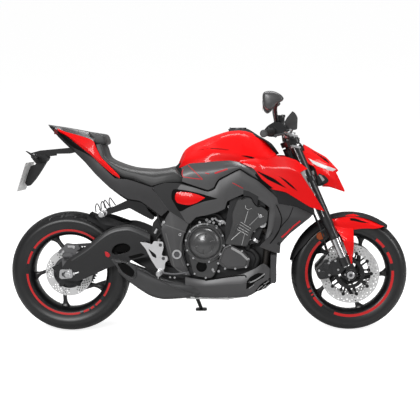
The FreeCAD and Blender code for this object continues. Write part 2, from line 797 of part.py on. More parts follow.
tank_low = (575.0, 830.0)
tank_size = (519.0, 213.0)
tank_half_width = 150.0
tank_station_shares = (
    # x, z low, z high, half width
    (0.000, 0.150, 0.207, 0.227), (0.048, 0.150, 0.446, 0.493), (0.145, 0.150, 0.657, 0.720),
    (0.318, 0.131, 0.840, 0.920), (0.530, 0.122, 1.000, 1.000), (0.703, 0.094, 0.995, 0.973),
    (0.857, 0.028, 0.761, 0.840), (1.000, 0.000, 0.394, 0.640),
)
tank_table = stations(tank_station_shares, tank_low, tank_size,
                      tank_half_width)
tank_ring_shares = ((0, 0), (-0.62, 0), (-0.98, 0.22), (-0.97, 0.5), (-0.72, 0.84),
                    (-0.36, 0.97), (0, 1.0))
tank_wall = 3.0
cap_centre = (893.0, 1044.0)
cap_radius = 40.0
cap_height = 8.0
cap_pad_radius = 48.0
cap_pad_height = 6.0
cap_pad_depth = 30.0
filler_radius = 26.0
cap_hinge_reach = 44.0
cap_hinge_rise = 6.0
cap_knuckle_radius = 4.0
cap_knuckle_half = 9.0
hinge_gap = 0.5


def tank_ring(row, wall):
    """One section of the tank, smaller all round by the wall."""
    x, z0, z1, half = row
    return section(x, z0 + wall, z1 - wall, half - wall, tank_ring_shares)


def tank_solid():
    """The tank's outer form."""
    return loft([tank_ring(row, 0) for row in tank_table])


def cap_pad_top():
    """Height of the flat pad that carries the cap."""
    return cap_centre[1] + cap_pad_height


def fuel_tank():
    """The tank as a shell with a pad and an open filler neck."""
    outer = tank_solid()
    inner = loft([tank_ring(row, tank_wall) for row in tank_table[1:-1]])
    pad = Part.makeCylinder(cap_pad_radius, cap_pad_height + cap_pad_depth,
                            Vector(cap_centre[0], 0, cap_centre[1] - cap_pad_depth))
    pad = pad.cut(inner)
    hole = Part.makeCylinder(filler_radius, cap_pad_depth * 3,
                             Vector(cap_centre[0], 0, cap_centre[1] - cap_pad_depth * 2))
    return fused([outer.cut(inner), pad]).cut(hole).cut(frame())


def fuel_cap():
    """The cap: a low disc with a plug below and a knuckle at its rear."""
    plug_share = 0.9
    top = cap_pad_top() + hinge_gap
    disc_part = Part.makeCylinder(cap_radius, cap_height, Vector(cap_centre[0], 0, top))
    plug = Part.makeCylinder(filler_radius * plug_share, cap_height,
                             Vector(cap_centre[0], 0, top - cap_height + overrun))
    knuckle_z = top + cap_hinge_rise
    knuckle_x = cap_centre[0] - cap_hinge_reach
    knuckle = cylinder_y(cap_knuckle_radius, (knuckle_x, knuckle_z), -cap_knuckle_half,
                         cap_knuckle_half)
    arm = block(knuckle_x, cap_centre[0] - cap_radius / 2, -cap_knuckle_half, cap_knuckle_half,
                top, top + cap_height)
    return fused([disc_part, plug, arm, knuckle])


cover_low = (972.0, 880.0)
cover_size = (131.0, 154.0)
cover_half_width = 92.0
cover_station_shares = (
    # x, z low, z high, half width
    (0.000, 0.779, 1.000, 0.935), (0.290, 0.617, 0.831, 1.000), (0.595, 0.357, 0.662, 0.957),
    (0.824, 0.130, 0.474, 0.848), (1.000, 0.000, 0.208, 0.717),
)
cover_table = stations(cover_station_shares, cover_low, cover_size,
                       cover_half_width)


def tank_cover():
    """The dark cover over the tank's front."""
    whole = loft([tank_ring(row, 0) for row in cover_table])
    whole = whole.cut(tank_solid())
    return max(whole.Solids, key=lambda s: s.Volume)


# Wing shrouds beside the tank, folded along straight creases

wing_thickness = 5.0
wing_lug_point = (1105.0, 780.0)
wing_lug_radius = 9.0
wing_plan_low = (990.0, 172.0)
wing_plan_size = (340.0, 34.0)
wing_plan_shares = (
    (0.000, 0.000), (0.176, 0.059), (0.412, 0.353), (0.647, 0.735), (1.000, 1.000),
)
wing_plan = place(wing_plan_shares, wing_plan_low, wing_plan_size)
wing_lug_y = 178.0
wing_flange_y = (162.0, 178.0)
wing_ridge_low = (1050.0, 877.0)
wing_ridge_size = (90.0, 41.0)
wing_ridge_shares = (
    (0.000, 0.073), (0.511, 1.000), (1.000, 0.756), (1.000, 0.634), (0.522, 0.854),
    (0.044, 0.000),
)
wing_low = (996.0, 634.0)
wing_size = (327.0, 284.0)
wing_shares = (
    (0.000, 0.676), (0.165, 0.866), (0.306, 1.000), (0.517, 0.944), (0.630, 0.877),
    (0.743, 0.754), (0.630, 0.690), (0.838, 0.313), (1.000, 0.000), (0.780, 0.081),
    (0.419, 0.338), (0.168, 0.408), (0.095, 0.475),
)


def wing_shrouds():
    """The pointed shrouds that reach from the tank's sides past the radiator."""
    outline = place(wing_shares, wing_low, wing_size)
    right = curved_panel(outline, wing_plan, wing_thickness)
    lug = cylinder_y(wing_lug_radius, wing_lug_point, -wing_lug_y, -spar_outer_y)
    ridge = place(wing_ridge_shares, wing_ridge_low, wing_ridge_size)
    flange = side_plate(ridge, -wing_flange_y[1], -wing_flange_y[0])
    return both_sides(fused([right, lug, flange.cut(tank_solid()).cut(frame())]))


# Knee panels and painted inserts on the spars

knee_y = 149.0
knee_thickness = 5.0
insert_thickness = 3.0
knee_low = (566.0, 743.0)
knee_size = (334.0, 146.0)
knee_shares = (
    (0.117, 0.863), (0.102, 0.596), (0.000, 0.295), (0.482, 0.000), (0.617, 0.103),
    (0.710, 0.452), (1.000, 0.705), (1.000, 0.925), (0.799, 1.000), (0.350, 0.979),
)
insert_low = (574.0, 668.0)
insert_size = (148.0, 64.0)
insert_shares = (
    (0.000, 0.641), (0.351, 1.000), (1.000, 0.516), (0.412, 0.000), (0.068, 0.250),
)


def side_covers():
    """The panels between the tank and the spars."""
    outline = place(knee_shares, knee_low, knee_size)
    right = side_plate(outline, -knee_y - knee_thickness, -knee_y).cut(frame())
    return both_sides(right)


def intake_inserts():
    """The painted pieces on the spars."""
    outline = place(insert_shares, insert_low, insert_size)
    return both_sides(side_plate(outline, -spar_outer_y - insert_thickness, -spar_outer_y))


# Seats and tail

seat_low = (236.0, 768.0)
seat_size = (362.0, 140.0)
seat_half_width = 140.0
seat_station_shares = (
    # x, z low, z high, half width
    (0.000, 0.714, 1.000, 0.600), (0.122, 0.457, 0.843, 0.771), (0.320, 0.157, 0.686, 0.943),
    (0.564, 0.000, 0.607, 1.000), (0.757, 0.029, 0.607, 0.929), (0.901, 0.129, 0.643, 0.743),
    (1.000, 0.229, 0.500, 0.600),
)
seat_table = stations(seat_station_shares, seat_low, seat_size,
                      seat_half_width)
seat_ring_shares = ((0, 0), (-0.8, 0.06), (-1.0, 0.4), (-0.9, 0.78), (-0.45, 0.97), (0, 1.0))
pad_low = (114.0, 984.0)
pad_size = (112.0, 58.0)
pad_half_width = 92.0
pad_station_shares = (
    # x, z low, z high, half width
    (0.000, 0.034, 1.000, 0.913), (0.321, 0.034, 0.983, 1.000), (0.768, 0.000, 0.914, 1.000),
    (1.000, 0.000, 0.552, 0.848),
)
pad_table = stations(pad_station_shares, pad_low, pad_size,
                     pad_half_width)
pad_ring_shares = ((0, 0), (-0.86, 0.04), (-1.0, 0.45), (-0.84, 0.86), (-0.4, 0.98), (0, 1.0))
tail_front_low = (104.0, 738.0)
tail_front_size = (192.0, 247.0)
tail_front_half_width = 101.0
tail_front_station_shares = (
    # x, z low, z high, half low, half high
    (1.000, 0.000, 0.251, 0.891, 1.000), (0.688, 0.138, 0.518, 0.871, 0.970),
    (0.667, 0.154, 0.923, 0.851, 0.960), (0.240, 0.453, 0.992, 0.792, 0.921),
    (0.000, 0.615, 1.000, 0.673, 0.802),
)
tail_front_table = stations(tail_front_station_shares, tail_front_low, tail_front_size,
                            tail_front_half_width)
tail_rear_low = (-86.0, 886.0)
tail_rear_size = (194.0, 197.0)
tail_rear_half_width = 81.0
tail_rear_station_shares = (
    # x, z low, z high, half low, half high
    (1.000, 0.000, 0.782, 0.840, 1.000), (0.876, 0.091, 0.812, 0.790, 0.926),
    (0.536, 0.421, 0.893, 0.593, 0.704), (0.237, 0.741, 0.954, 0.420, 0.506),
    (0.000, 0.939, 1.000, 0.148, 0.222),
)
tail_rear_table = stations(tail_rear_station_shares, tail_rear_low, tail_rear_size,
                           tail_rear_half_width)
tail_wall = 4.0
tail_plan_low = (-40.0, 46.0)
tail_plan_size = (330.0, 60.0)
tail_plan_shares = (
    (1.000, 1.000), (0.576, 0.867), (0.376, 0.567), (0.000, 0.000),
)
tail_plan = place(tail_plan_shares, tail_plan_low, tail_plan_size)
tail_red_thickness = 6.0
tail_red_low = (-26.0, 807.0)
tail_red_size = (308.0, 242.0)
tail_red_shares = (
    (0.000, 1.000), (0.130, 1.000), (0.545, 0.831), (0.578, 0.719), (0.669, 0.471),
    (0.971, 0.103), (1.000, 0.000), (0.906, 0.021), (0.604, 0.372), (0.318, 0.620),
    (0.188, 0.723),
)


def ringed(table, shares):
    """A loft through sections of one kind of outline."""
    return loft([section(x, z0, z1, half, shares) for x, z0, z1, half in table])


def rider_seat():
    """The rider's seat, shaped to the rails below it."""
    seat = ringed(seat_table, seat_ring_shares).cut(subframe())
    return max(seat.Solids, key=lambda s: s.Volume).cut(tail_solid())


def pillion_seat():
    """The raised pad behind the rider."""
    pad = ringed(pad_table, pad_ring_shares).cut(tail_solid())
    outline = place(tail_red_shares, tail_red_low, tail_red_size)
    panel = curved_panel(outline, tail_plan, tail_red_thickness)
    return pad.cut(panel).cut(mirrored(panel))


def boxed(table, wall=0.0):
    """A loft through four-sided sections, smaller all round by the wall."""
    return loft([box_section(x, z0 + wall, z1 - wall, low - wall, high - wall)
                 for x, z0, z1, low, high in table], True)


def tail_solid():
    """The tail's outer form."""
    return fused([boxed(tail_front_table), boxed(tail_rear_table)])


def tail_fairing():
    """The tail as a shell around the rails."""
    front = boxed([(tail_front_table[0][0] + overrun,) + tail_front_table[0][1:]]
                  + list(tail_front_table[1:]), tail_wall)
    rear = boxed(tail_rear_table[:-1], tail_wall)
    shell = tail_solid().cut(front).cut(rear).cut(subframe())
    return max(shell.Solids, key=lambda s: s.Volume)


def tail_panels():
    """The painted side panels of the tail."""
    outline = place(tail_red_shares, tail_red_low, tail_red_size)
    right = curved_panel(outline, tail_plan, tail_red_thickness)
    right = right.cut(tail_solid()).cut(rider_seat())
    return both_sides(max(right.Solids, key=lambda s: s.Volume))


side_panel_plan_low = (40.0, 74.0)
side_panel_plan_size = (500.0, 58.0)
side_panel_plan_shares = (
    (1.000, 0.897), (0.820, 1.000), (0.620, 0.862), (0.480, 0.655), (0.220, 0.414),
    (0.000, 0.000),
)
side_panel_plan = place(side_panel_plan_shares, side_panel_plan_low, side_panel_plan_size)
side_panel_thickness = 4.0
panel_lug_radius = 8.0
panel_lug_point = (320.0, 745.0)
panel_lug_y = 118.0
side_panel_low = (45.0, 608.0)
side_panel_size = (486.0, 354.0)
side_panel_shares = (
    (0.000, 0.966), (0.041, 0.904), (0.119, 0.811), (0.302, 0.537), (0.551, 0.268),
    (0.683, 0.232), (0.815, 0.110), (0.920, 0.000), (1.000, 0.054), (0.963, 0.147),
    (0.831, 0.429), (0.632, 0.537), (0.525, 0.588), (0.438, 0.514), (0.152, 0.881),
    (0.039, 1.000),
)


def seat_side_panels():
    """The panels under the seat, from the tail down to the spars."""
    outline = place(side_panel_shares, side_panel_low, side_panel_size)
    right = curved_panel(outline, side_panel_plan, side_panel_thickness)
    right = right.cut(subframe())
    lug = cylinder_y(panel_lug_radius, panel_lug_point, -panel_lug_y, -rail_outer_y)
    return both_sides(fused([max(right.Solids, key=lambda s: s.Volume), lug]))


lamp_box = (-70.0, -34.0, 1036.0, 1062.0)
lamp_half_width = 34.0


def tail_lamp():
    """The lamp under the tail's tip."""
    x0, x1, z0, z1 = lamp_box
    lamp = block(x0, x1, -lamp_half_width, lamp_half_width, z0, z1)
    return max(lamp.cut(tail_solid()).Solids, key=lambda s: s.Volume)


# Plate hanger, indicators and the blank plate

hanger_half_width = 17.0
indicator_point = (-150.0, 925.0)
indicator_reach = 118.0
indicator_radius = 17.0
indicator_length = 44.0
indicator_stem_radius = 6.0
plate_top = (-208.0, 890.0)
plate_foot = (-258.0, 742.0)
plate_half_width = 100.0
plate_sheet = 2.0
plate_bolt_spacing = 120.0
plate_bolt_radius = 3.2
plate_hole_drop = 16.0
backing_depth = 10.0
backing_width_share = 0.85
backing_foot_share = 0.5
hanger_low = (-242.0, 767.0)
hanger_size = (302.0, 197.0)
hanger_shares = (
    (0.040, 0.909), (0.808, 1.000), (1.000, 0.980), (1.000, 0.802), (0.907, 0.802),
    (0.685, 0.822), (0.467, 0.787), (0.295, 0.482), (0.050, 0.000), (0.000, 0.025),
    (0.089, 0.437), (0.162, 0.690),
)


def plate_frame():
    """Unit vectors down the plate and out of its face."""
    down = Vector(plate_foot[0] - plate_top[0], 0, plate_foot[1] - plate_top[1])
    down.normalize()
    return down, Vector(down.z, 0, -down.x)


def number_plate():
    """A blank plate with two bolt holes."""
    down, out = plate_frame()
    top = Vector(plate_top[0], 0, plate_top[1])
    foot = Vector(plate_foot[0], 0, plate_foot[1])
    half = Vector(0, plate_half_width, 0)
    corner_radius = 8.0
    wire = rounded_wire([top + half, top - half, foot - half, foot + half], corner_radius)
    sheet = Part.Face(wire).extrude(out * plate_sheet)
    for side in (-1, 1):
        at = top + down * plate_hole_drop + Vector(0, side * plate_bolt_spacing / 2, 0)
        sheet = sheet.cut(bar(at - out * plate_hole_drop, at + out * plate_hole_drop,
                              plate_bolt_radius))
    return sheet


def plate_hanger():
    """The hanger, the backing behind the plate and the two rear indicators."""
    outline = place(hanger_shares, hanger_low, hanger_size)
    whole = side_plate(outline, -hanger_half_width, hanger_half_width)
    down, out = plate_frame()
    top = Vector(plate_top[0], 0, plate_top[1])
    foot = Vector(plate_foot[0], 0, plate_foot[1])
    half = Vector(0, plate_half_width * backing_width_share, 0)
    inset = down * plate_hole_drop / 2
    ring = [top + half + inset, top - half + inset, foot - half * backing_foot_share - inset * 2,
            foot + half * backing_foot_share - inset * 2]
    backing = Part.Face(Part.makePolygon(ring + ring[:1])).extrude(-out * backing_depth)
    stem = cylinder_y(indicator_stem_radius, indicator_point, -indicator_reach, indicator_reach)
    pieces = [whole, backing, stem]
    for side in (-1, 1):
        y0, y1 = sorted((side * (indicator_reach - indicator_length), side * indicator_reach))
        pieces.append(cylinder_y(indicator_radius, indicator_point, y0, y1))
    whole = fused(pieces).cut(tail_solid())
    whole = whole.cut(subframe())
    return max(whole.Solids, key=lambda s: s.Volume).cut(number_plate())


# Swingarm, its axle, the chain and the shock absorber

arm_housing = (376.0, 598.0, 392.0, 444.0)
housing_half_width = 110.0
arm_bridge = (376.0, 456.0, 398.0, 442.0)
pivot_housing_radius = 27.0
spacer_radius = 19.0
rear_axle_half = 152.0
nut_radius = 17.0
nut_length = 12.0
bobbin_point = (40.0, 306.0)
bobbin_radius = 9.0
bobbin_length = 16.0
bobbin_bore = 4.0
bobbin_bore_depth = 20.0
arm_low = (-40.0, 273.0)
arm_size = (496.0, 298.0)
arm_shares = (
    (0.000, 0.218), (0.185, 0.419), (0.389, 0.701), (0.573, 0.933), (0.683, 1.000),
    (0.956, 0.846), (1.000, 0.779), (1.000, 0.409), (0.952, 0.413), (0.738, 0.383),
    (0.524, 0.248), (0.179, 0.000), (0.000, 0.017),
)
arm_window_low = (190.0, 432.0)
arm_window_size = (210.0, 96.0)
arm_window_shares = (
    (0.000, 0.312), (0.476, 1.000), (1.000, 0.604), (1.000, 0.083), (0.476, 0.000),
)


def swingarm():
    """Two braced arms on a housing around the pivot shaft."""
    outline = place(arm_shares, arm_low, arm_size)
    window = place(arm_window_shares, arm_window_low, arm_window_size)
    arm = side_plate(outline, -arm_inner_y - arm_thickness, -arm_inner_y, crease_radius)
    hole = side_plate(window, -arm_inner_y - arm_thickness - overrun, -arm_inner_y + overrun,
                      crease_radius)
    arm = arm.cut(hole)
    bobbin = cylinder_y(bobbin_radius, bobbin_point, -arm_inner_y - arm_thickness - bobbin_length,
                        -arm_inner_y - arm_thickness)
    arm = fused([arm, bobbin])
    x0, x1, z0, z1 = arm_bridge
    bridge = block(x0, x1, -arm_inner_y - overrun, arm_inner_y + overrun, z0, z1)
    x0, x1, z0, z1 = arm_housing
    housing = block(x0, x1, -housing_half_width, housing_half_width, z0, z1)
    barrel = cylinder_y(pivot_housing_radius, pivot_point, -housing_half_width,
                        housing_half_width)
    whole = fused([arm, mirrored(arm), bridge, housing, barrel])
    whole = whole.cut(cylinder_y(pivot_shaft_radius + running_gap, pivot_point,
                                 -housing_half_width - overrun, housing_half_width + overrun))
    whole = whole.cut(cylinder_y(axle_radius + running_gap / 2, rear_axle,
                                 -rear_axle_half, rear_axle_half))
    end_y = arm_inner_y + arm_thickness + bobbin_length
    for side in (-1, 1):
        y0, y1 = sorted((side * (end_y - bobbin_bore_depth), side * (end_y + overrun)))
        whole = whole.cut(cylinder_y(bobbin_bore, bobbin_point, y0, y1))
    return whole


def rear_axle_assembly():
    """The rear axle with its spacers and end nuts."""
    arm_outer_y = arm_inner_y + arm_thickness
    pieces = [cylinder_y(axle_radius, rear_axle, -rear_axle_half, rear_axle_half)]
    for side, inner in ((-1, -rear_hub_half - spider_thickness - running_gap),
                        (1, chain_centre_y + sprocket_half_thick + running_gap)):
        y0, y1 = sorted((inner, side * arm_inner_y))
        pieces.append(cylinder_y(spacer_radius, rear_axle, y0, y1))
        y0, y1 = sorted((side * arm_outer_y, side * (arm_outer_y + nut_length)))
        pieces.append(cylinder_y(nut_radius, rear_axle, y0, y1))
    whole = fused(pieces)
    return whole.cut(rear_caliper_bracket())


sprocket_teeth = 48
chain_pitch = 15.875
sprocket_half_thick = 3.5
tooth_root_share = 0.30
tooth_tip_share = 0.16
tooth_rise_share = 0.6
front_sprocket_centre = (652.0, 432.0)
front_sprocket_teeth = 16
chain_plate_half = 7.5
chain_plate_inner_y = 4.6
chain_plate_outer_y = 9.4
roller_radius = 5.0


def pitch_radius(teeth):
    """Pitch radius of a sprocket."""
    return chain_pitch / (2 * math.sin(math.pi / teeth))


def toothed(centre, teeth, half_thick):
    """A sprocket's toothed plate."""
    radius = pitch_radius(teeth)
    root = radius - roller_radius
    tip = radius + roller_radius * tooth_rise_share
    step = 2 * math.pi / teeth
    points = []
    for i in range(teeth):
        for r, share in ((root, -tooth_root_share), (tip, -tooth_tip_share),
                         (tip, tooth_tip_share), (root, tooth_root_share)):
            angle = (i + share) * step
            points.append((centre[0] + r * math.cos(angle), centre[1] + r * math.sin(angle)))
    return side_plate(points, chain_centre_y - half_thick, chain_centre_y + half_thick)


sprocket_carrier_radius = 60.0
sprocket_window_radius = 15.0
sprocket_window_ring = 84.0
sprocket_windows = 6


def rear_sprocket():
    """The rear sprocket on its carrier."""
    y0 = chain_centre_y - sprocket_half_thick
    plate = toothed(rear_axle, sprocket_teeth, sprocket_half_thick)
    carrier = cylinder_y(sprocket_carrier_radius, rear_axle, rear_hub_half, y0 + overrun / 2)
    whole = fused([plate, carrier])
    y1 = chain_centre_y + sprocket_half_thick + overrun
    cutters = [cylinder_y(axle_radius + running_gap, rear_axle, rear_hub_half - overrun, y1)]
    for i in range(sprocket_windows):
        angle = 2 * math.pi * i / sprocket_windows
        point = (rear_axle[0] + sprocket_window_ring * math.cos(angle),
                 rear_axle[1] + sprocket_window_ring * math.sin(angle))
        cutters.append(cylinder_y(sprocket_window_radius, point, y0 - overrun, y1))
    return whole.cut(Part.makeCompound(cutters))


def belt_wire(y, grow):
    """The closed path around both sprockets, grown outwards."""
    r0 = pitch_radius(sprocket_teeth) + grow
    r1 = pitch_radius(front_sprocket_teeth) + grow
    c0 = Vector(rear_axle[0], y, rear_axle[1])
    c1 = Vector(front_sprocket_centre[0], y, front_sprocket_centre[1])
    span = c1 - c0
    base = math.atan2(span.z, span.x)
    spread = math.acos((r0 - r1) / span.Length)

    def on(centre, radius, angle):
        return centre + Vector(radius * math.cos(angle), 0, radius * math.sin(angle))

    up = base + spread
    down = base - spread
    top0, top1 = on(c0, r0, up), on(c1, r1, up)
    low0, low1 = on(c0, r0, down), on(c1, r1, down)
    return Part.Wire([
        Part.makeLine(top0, top1),
        Part.Arc(top1, on(c1, r1, base), low1).toShape(),
        Part.makeLine(low1, low0),
        Part.Arc(low0, on(c0, r0, base + math.pi), top0).toShape()])


def chain_strand(y_low, y_high, inner, outer):
    """A closed band around both sprockets."""
    face = Part.Face(belt_wire(y_low, outer)).cut(Part.Face(belt_wire(y_low, inner)))
    return face.extrude(Vector(0, y_high - y_low, 0))


def chain():
    """The chain: two rows of side plates joined by a thin bridge of rollers."""
    bridge_out_share = 0.95
    pieces = []
    for side in (-1, 1):
        y0, y1 = sorted((chain_centre_y + side * chain_plate_inner_y,
                         chain_centre_y + side * chain_plate_outer_y))
        pieces.append(chain_strand(y0, y1, -chain_plate_half, chain_plate_half))
    pieces.append(chain_strand(chain_centre_y - chain_plate_inner_y,
                               chain_centre_y + chain_plate_inner_y,
                               roller_radius, chain_plate_half * bridge_out_share))
    hub = cylinder_y(pitch_radius(front_sprocket_teeth) - chain_plate_half,
                     front_sprocket_centre, crankcase_left_y,
                     chain_centre_y + sprocket_half_thick)
    wheel_part = toothed(front_sprocket_centre, front_sprocket_teeth, chain_plate_inner_y)
    return fused(pieces + [wheel_part, hub])


shock_foot = Vector(470.0, 0, 444.0)
shock_head = Vector(566.0, 0, 606.0)
shock_body_radius = 20.0
shock_rod_radius = 9.0
shock_eye_share = 0.8
coil_radius = 32.0
coil_wire_radius = 6.0
coil_turns = 6
coil_share = (0.2, 0.78)
collar_length = 8.0


def along(share):
    """A point on the shock absorber's axis."""
    return shock_foot + (shock_head - shock_foot) * share


def shock_absorber():
    """The damper between swingarm and frame, with a spring between two collars."""
    axis = shock_head - shock_foot
    axis.normalize()
    low, high = coil_share
    pieces = [bar(shock_foot, along(low), shock_body_radius * shock_eye_share),
              bar(along(low), along(high), shock_rod_radius),
              bar(along((low + high) / 2), shock_head, shock_body_radius),
              bar(along(low), along(low) + axis * collar_length, coil_radius + coil_wire_radius),
              bar(along(high), along(high) + axis * collar_length, coil_radius + coil_wire_radius)]
    step = (along(high) - along(low)).Length / coil_turns
    for i in range(coil_turns):
        middle = along(low) + axis * (collar_length / 2 + step * (i + 0.5))
        pieces.append(Part.makeTorus(coil_radius, coil_wire_radius, middle, axis))
    sleeve = bar(along(low), along(high), coil_radius - coil_wire_radius / 2)
    pieces.append(sleeve)
    whole = fused(pieces).cut(swingarm()).cut(frame())
    return max(whole.Solids, key=lambda s: s.Volume)


# Rear brake and the arch over the tyre

rear_caliper_inner_y = 42.0
rear_caliper_outer_y = 88.0
pad_gap = 2.0
bracket_y = (98.0, 105.0)
bracket_half = 22.0
bracket_top_z = 400.0
rear_caliper_low = (-50.0, 372.0)
rear_caliper_size = (102.0, 94.0)
rear_caliper_shares = (
    (0.000, 0.085), (0.118, 0.000), (0.882, 0.043), (1.000, 0.298), (0.882, 0.915),
    (0.294, 1.000), (0.020, 0.723),
)


def rear_caliper_bracket():
    """The bracket between the rear axle and the caliper."""
    y0, y1 = -bracket_y[1], -bracket_y[0]
    cheek = block(-bracket_half, bracket_half, y0, y1, rear_radius - bracket_half, bracket_top_z)
    arm_part = block(-bracket_half, bracket_half, y1, -rear_caliper_outer_y + overrun,
                     bracket_top_z - bracket_half, bracket_top_z)
    whole = fused([cheek, arm_part])
    return whole.cut(cylinder_y(axle_radius, rear_axle, y0 - overrun, y1 + overrun))


def rear_caliper():
    """The rear caliper around the disc's top, on its bracket."""
    outline = place(rear_caliper_shares, rear_caliper_low, rear_caliper_size)
    body = side_plate(outline, -rear_caliper_outer_y, -rear_caliper_inner_y)
    slot = cylinder_y(rear_disc_radius + pad_gap * 3, rear_axle,
                      -rear_hub_half - disc_thickness - pad_gap, -rear_hub_half + pad_gap)
    return fused([body.cut(slot), rear_caliper_bracket()])


def arch(centre, radius, half_width, drop, thickness, from_deg, to_deg):
    """A curved sheet over a wheel: an arc-shaped section swept around the axle."""
    def at(r, y):
        return Vector(centre[0] + r, y, centre[1])

    edges = [
        Part.Arc(at(radius - drop, -half_width), at(radius, 0),
                 at(radius - drop, half_width)).toShape(),
        Part.makeLine(at(radius - drop, half_width), at(radius - drop, half_width + thickness)),
        Part.Arc(at(radius - drop, half_width + thickness), at(radius + thickness, 0),
                 at(radius - drop, -half_width - thickness)).toShape(),
        Part.makeLine(at(radius - drop, -half_width - thickness),
                      at(radius - drop, -half_width))]
    face = Part.Face(Part.Wire(edges))
    face.rotate(Vector(centre[0], 0, centre[1]), Vector(0, 1, 0), -from_deg)
    return face.revolve(Vector(centre[0], 0, centre[1]), Vector(0, 1, 0), from_deg - to_deg)


hugger_radius = 326.0
hugger_half_width = 78.0
hugger_drop = 44.0
hugger_wall = 4.0
hugger_span_deg = (36.0, 70.0)
hugger_lug = (238.0, 292.0, 500.0, 524.0)
hugger_lug_y = 48.0


def arch_core(centre, radius, half_width, drop):
    """The round body that an arch covers."""
    def at(r, y):
        return Vector(centre[0] + r, y, centre[1])

    edges = [
        Part.Arc(at(radius - drop, -half_width), at(radius, 0),
                 at(radius - drop, half_width)).toShape(),
        Part.makeLine(at(radius - drop, half_width), at(0, half_width)),
        Part.makeLine(at(0, half_width), at(0, -half_width)),
        Part.makeLine(at(0, -half_width), at(radius - drop, -half_width))]
    face = Part.Face(Part.Wire(edges))
    return face.revolve(Vector(centre[0], 0, centre[1]), Vector(0, 1, 0), full_turn)


def rear_hugger():
    """The arch over the rear tyre, with lugs to the arms."""
    cover = arch(rear_axle, hugger_radius, hugger_half_width, hugger_drop, hugger_wall,
                 *hugger_span_deg)
    x0, x1, z0, z1 = hugger_lug
    pieces = [cover]
    for side in (-1, 1):
        y0, y1 = sorted((side * hugger_lug_y, side * arm_inner_y))
        lug = block(x0, x1, y0, y1, z0, z1)
        lug = lug.cut(arch_core(rear_axle, hugger_radius, hugger_half_width, hugger_drop))
        pieces.append(lug)
    return fused(pieces)


# Foot rests, pedals and the pillion's peg arms

foot_plate_y = (160.0, 170.0)
foot_bolts = ((506.0, 470.0), (514.0, 397.0))
foot_bolt_radius = 10.0
peg_point = (490.0, 325.0)
peg_radius = 12.0
peg_length = 92.0
pedal_y = (174.0, 184.0)
pedal_length = 150.0
pedal_half = 6.0
pedal_tip_radius = 8.4
pedal_tip_length = 34.0
foot_plate_low = (387.0, 296.0)
foot_plate_size = (137.0, 190.0)
foot_plate_shares = (
    (0.000, 0.984), (0.467, 0.895), (0.518, 1.000), (0.847, 0.979), (0.869, 0.826),
    (0.818, 0.547), (1.000, 0.542), (0.920, 0.153), (0.686, 0.000), (0.599, 0.289),
    (0.277, 0.595), (0.190, 0.832),
)


foot_hole_low = (425.0, 383.0)
foot_hole_size = (47.0, 71.0)
foot_hole_shares = (
    (0.000, 1.000), (0.957, 0.451), (1.000, 0.000), (0.404, 0.366),
)


def foot_hangers():
    """The plates that carry the rider's pegs."""
    outline = place(foot_plate_shares, foot_plate_low, foot_plate_size)
    hole = place(foot_hole_shares, foot_hole_low, foot_hole_size)
    plate = side_plate(outline, -foot_plate_y[1], -foot_plate_y[0])
    pieces = [plate.cut(side_plate(hole, -foot_plate_y[1] - overrun,
                                   -foot_plate_y[0] + overrun))]
    for point in foot_bolts:
        pieces.append(cylinder_y(foot_bolt_radius, point, -foot_plate_y[0],
                                 -plate_inner_y - plate_thickness))
    return both_sides(fused(pieces))


def footpegs():
    """Pegs and the foot levers in front of them."""
    pieces = [cylinder_y(peg_radius, peg_point, -foot_plate_y[1] - peg_length, -foot_plate_y[1])]
    x, z = peg_point
    lever = block(x, x + pedal_length, -pedal_y[1], -pedal_y[0], z - pedal_half, z + pedal_half)
    tip = cylinder_y(pedal_tip_radius, (x + pedal_length, z),
                     -pedal_y[1] - pedal_tip_length, -pedal_y[0])
    return both_sides(fused(pieces + [lever, tip]))


pillion_arm_y = (82.0, 92.0)
pillion_boss_radius = 12.0
pillion_boss_point = (352.0, 757.0)
pillion_peg_point = (194.0, 626.0)
pillion_peg_radius = 11.0
pillion_peg_length = 100.0
pillion_tip_radius = 15.0
pillion_arm_low = (182.0, 586.0)
pillion_arm_size = (276.0, 189.0)
pillion_arm_shares = (
    (0.572, 1.000), (0.688, 0.947), (0.761, 0.603), (0.877, 0.254), (1.000, 0.085),
    (0.953, 0.000), (0.743, 0.159), (0.522, 0.339), (0.246, 0.222), (0.043, 0.127),
    (0.000, 0.233), (0.428, 0.519), (0.558, 0.603),
)


def pillion_pegs():
    """Arms from the rails and the pegs at their ends."""
    outline = place(pillion_arm_shares, pillion_arm_low, pillion_arm_size)
    y0, y1 = -pillion_arm_y[1], -pillion_arm_y[0]
    pieces = [side_plate(outline, y0, y1, pillion_boss_radius),
              cylinder_y(pillion_boss_radius, pillion_boss_point, y1, -rail_outer_y),
              cylinder_y(pillion_tip_radius, pillion_peg_point, y0, y1),
              cylinder_y(pillion_peg_radius, pillion_peg_point, y0 - pillion_peg_length, y0)]
    whole = fused(pieces)
    return both_sides(max(whole.Solids, key=lambda s: s.Volume))


# Steering: yokes, fork legs, axle, fender and calipers

outer_tube_radius = 27.0
slider_radius = 20.5
slider_fit = 0.2
yoke_thickness = 26.0
low_yoke_z = 792.0
top_yoke_z = 984.0
leg_top_z = 1012.0
leg_seal_z = 486.0
taper_z = 560.0
seal_radius = 23.0
slider_top_z = 640.0
foot_z = 330.0
stem_radius = 14.0
bearing_length = 14.0
riser_y = (-42.0, 42.0)
riser_radius = 15.0
yoke_front = 34.0
yoke_rear = 62.0
yoke_side = 146.0
yoke_waist = 60.0
yoke_corner = 24.0


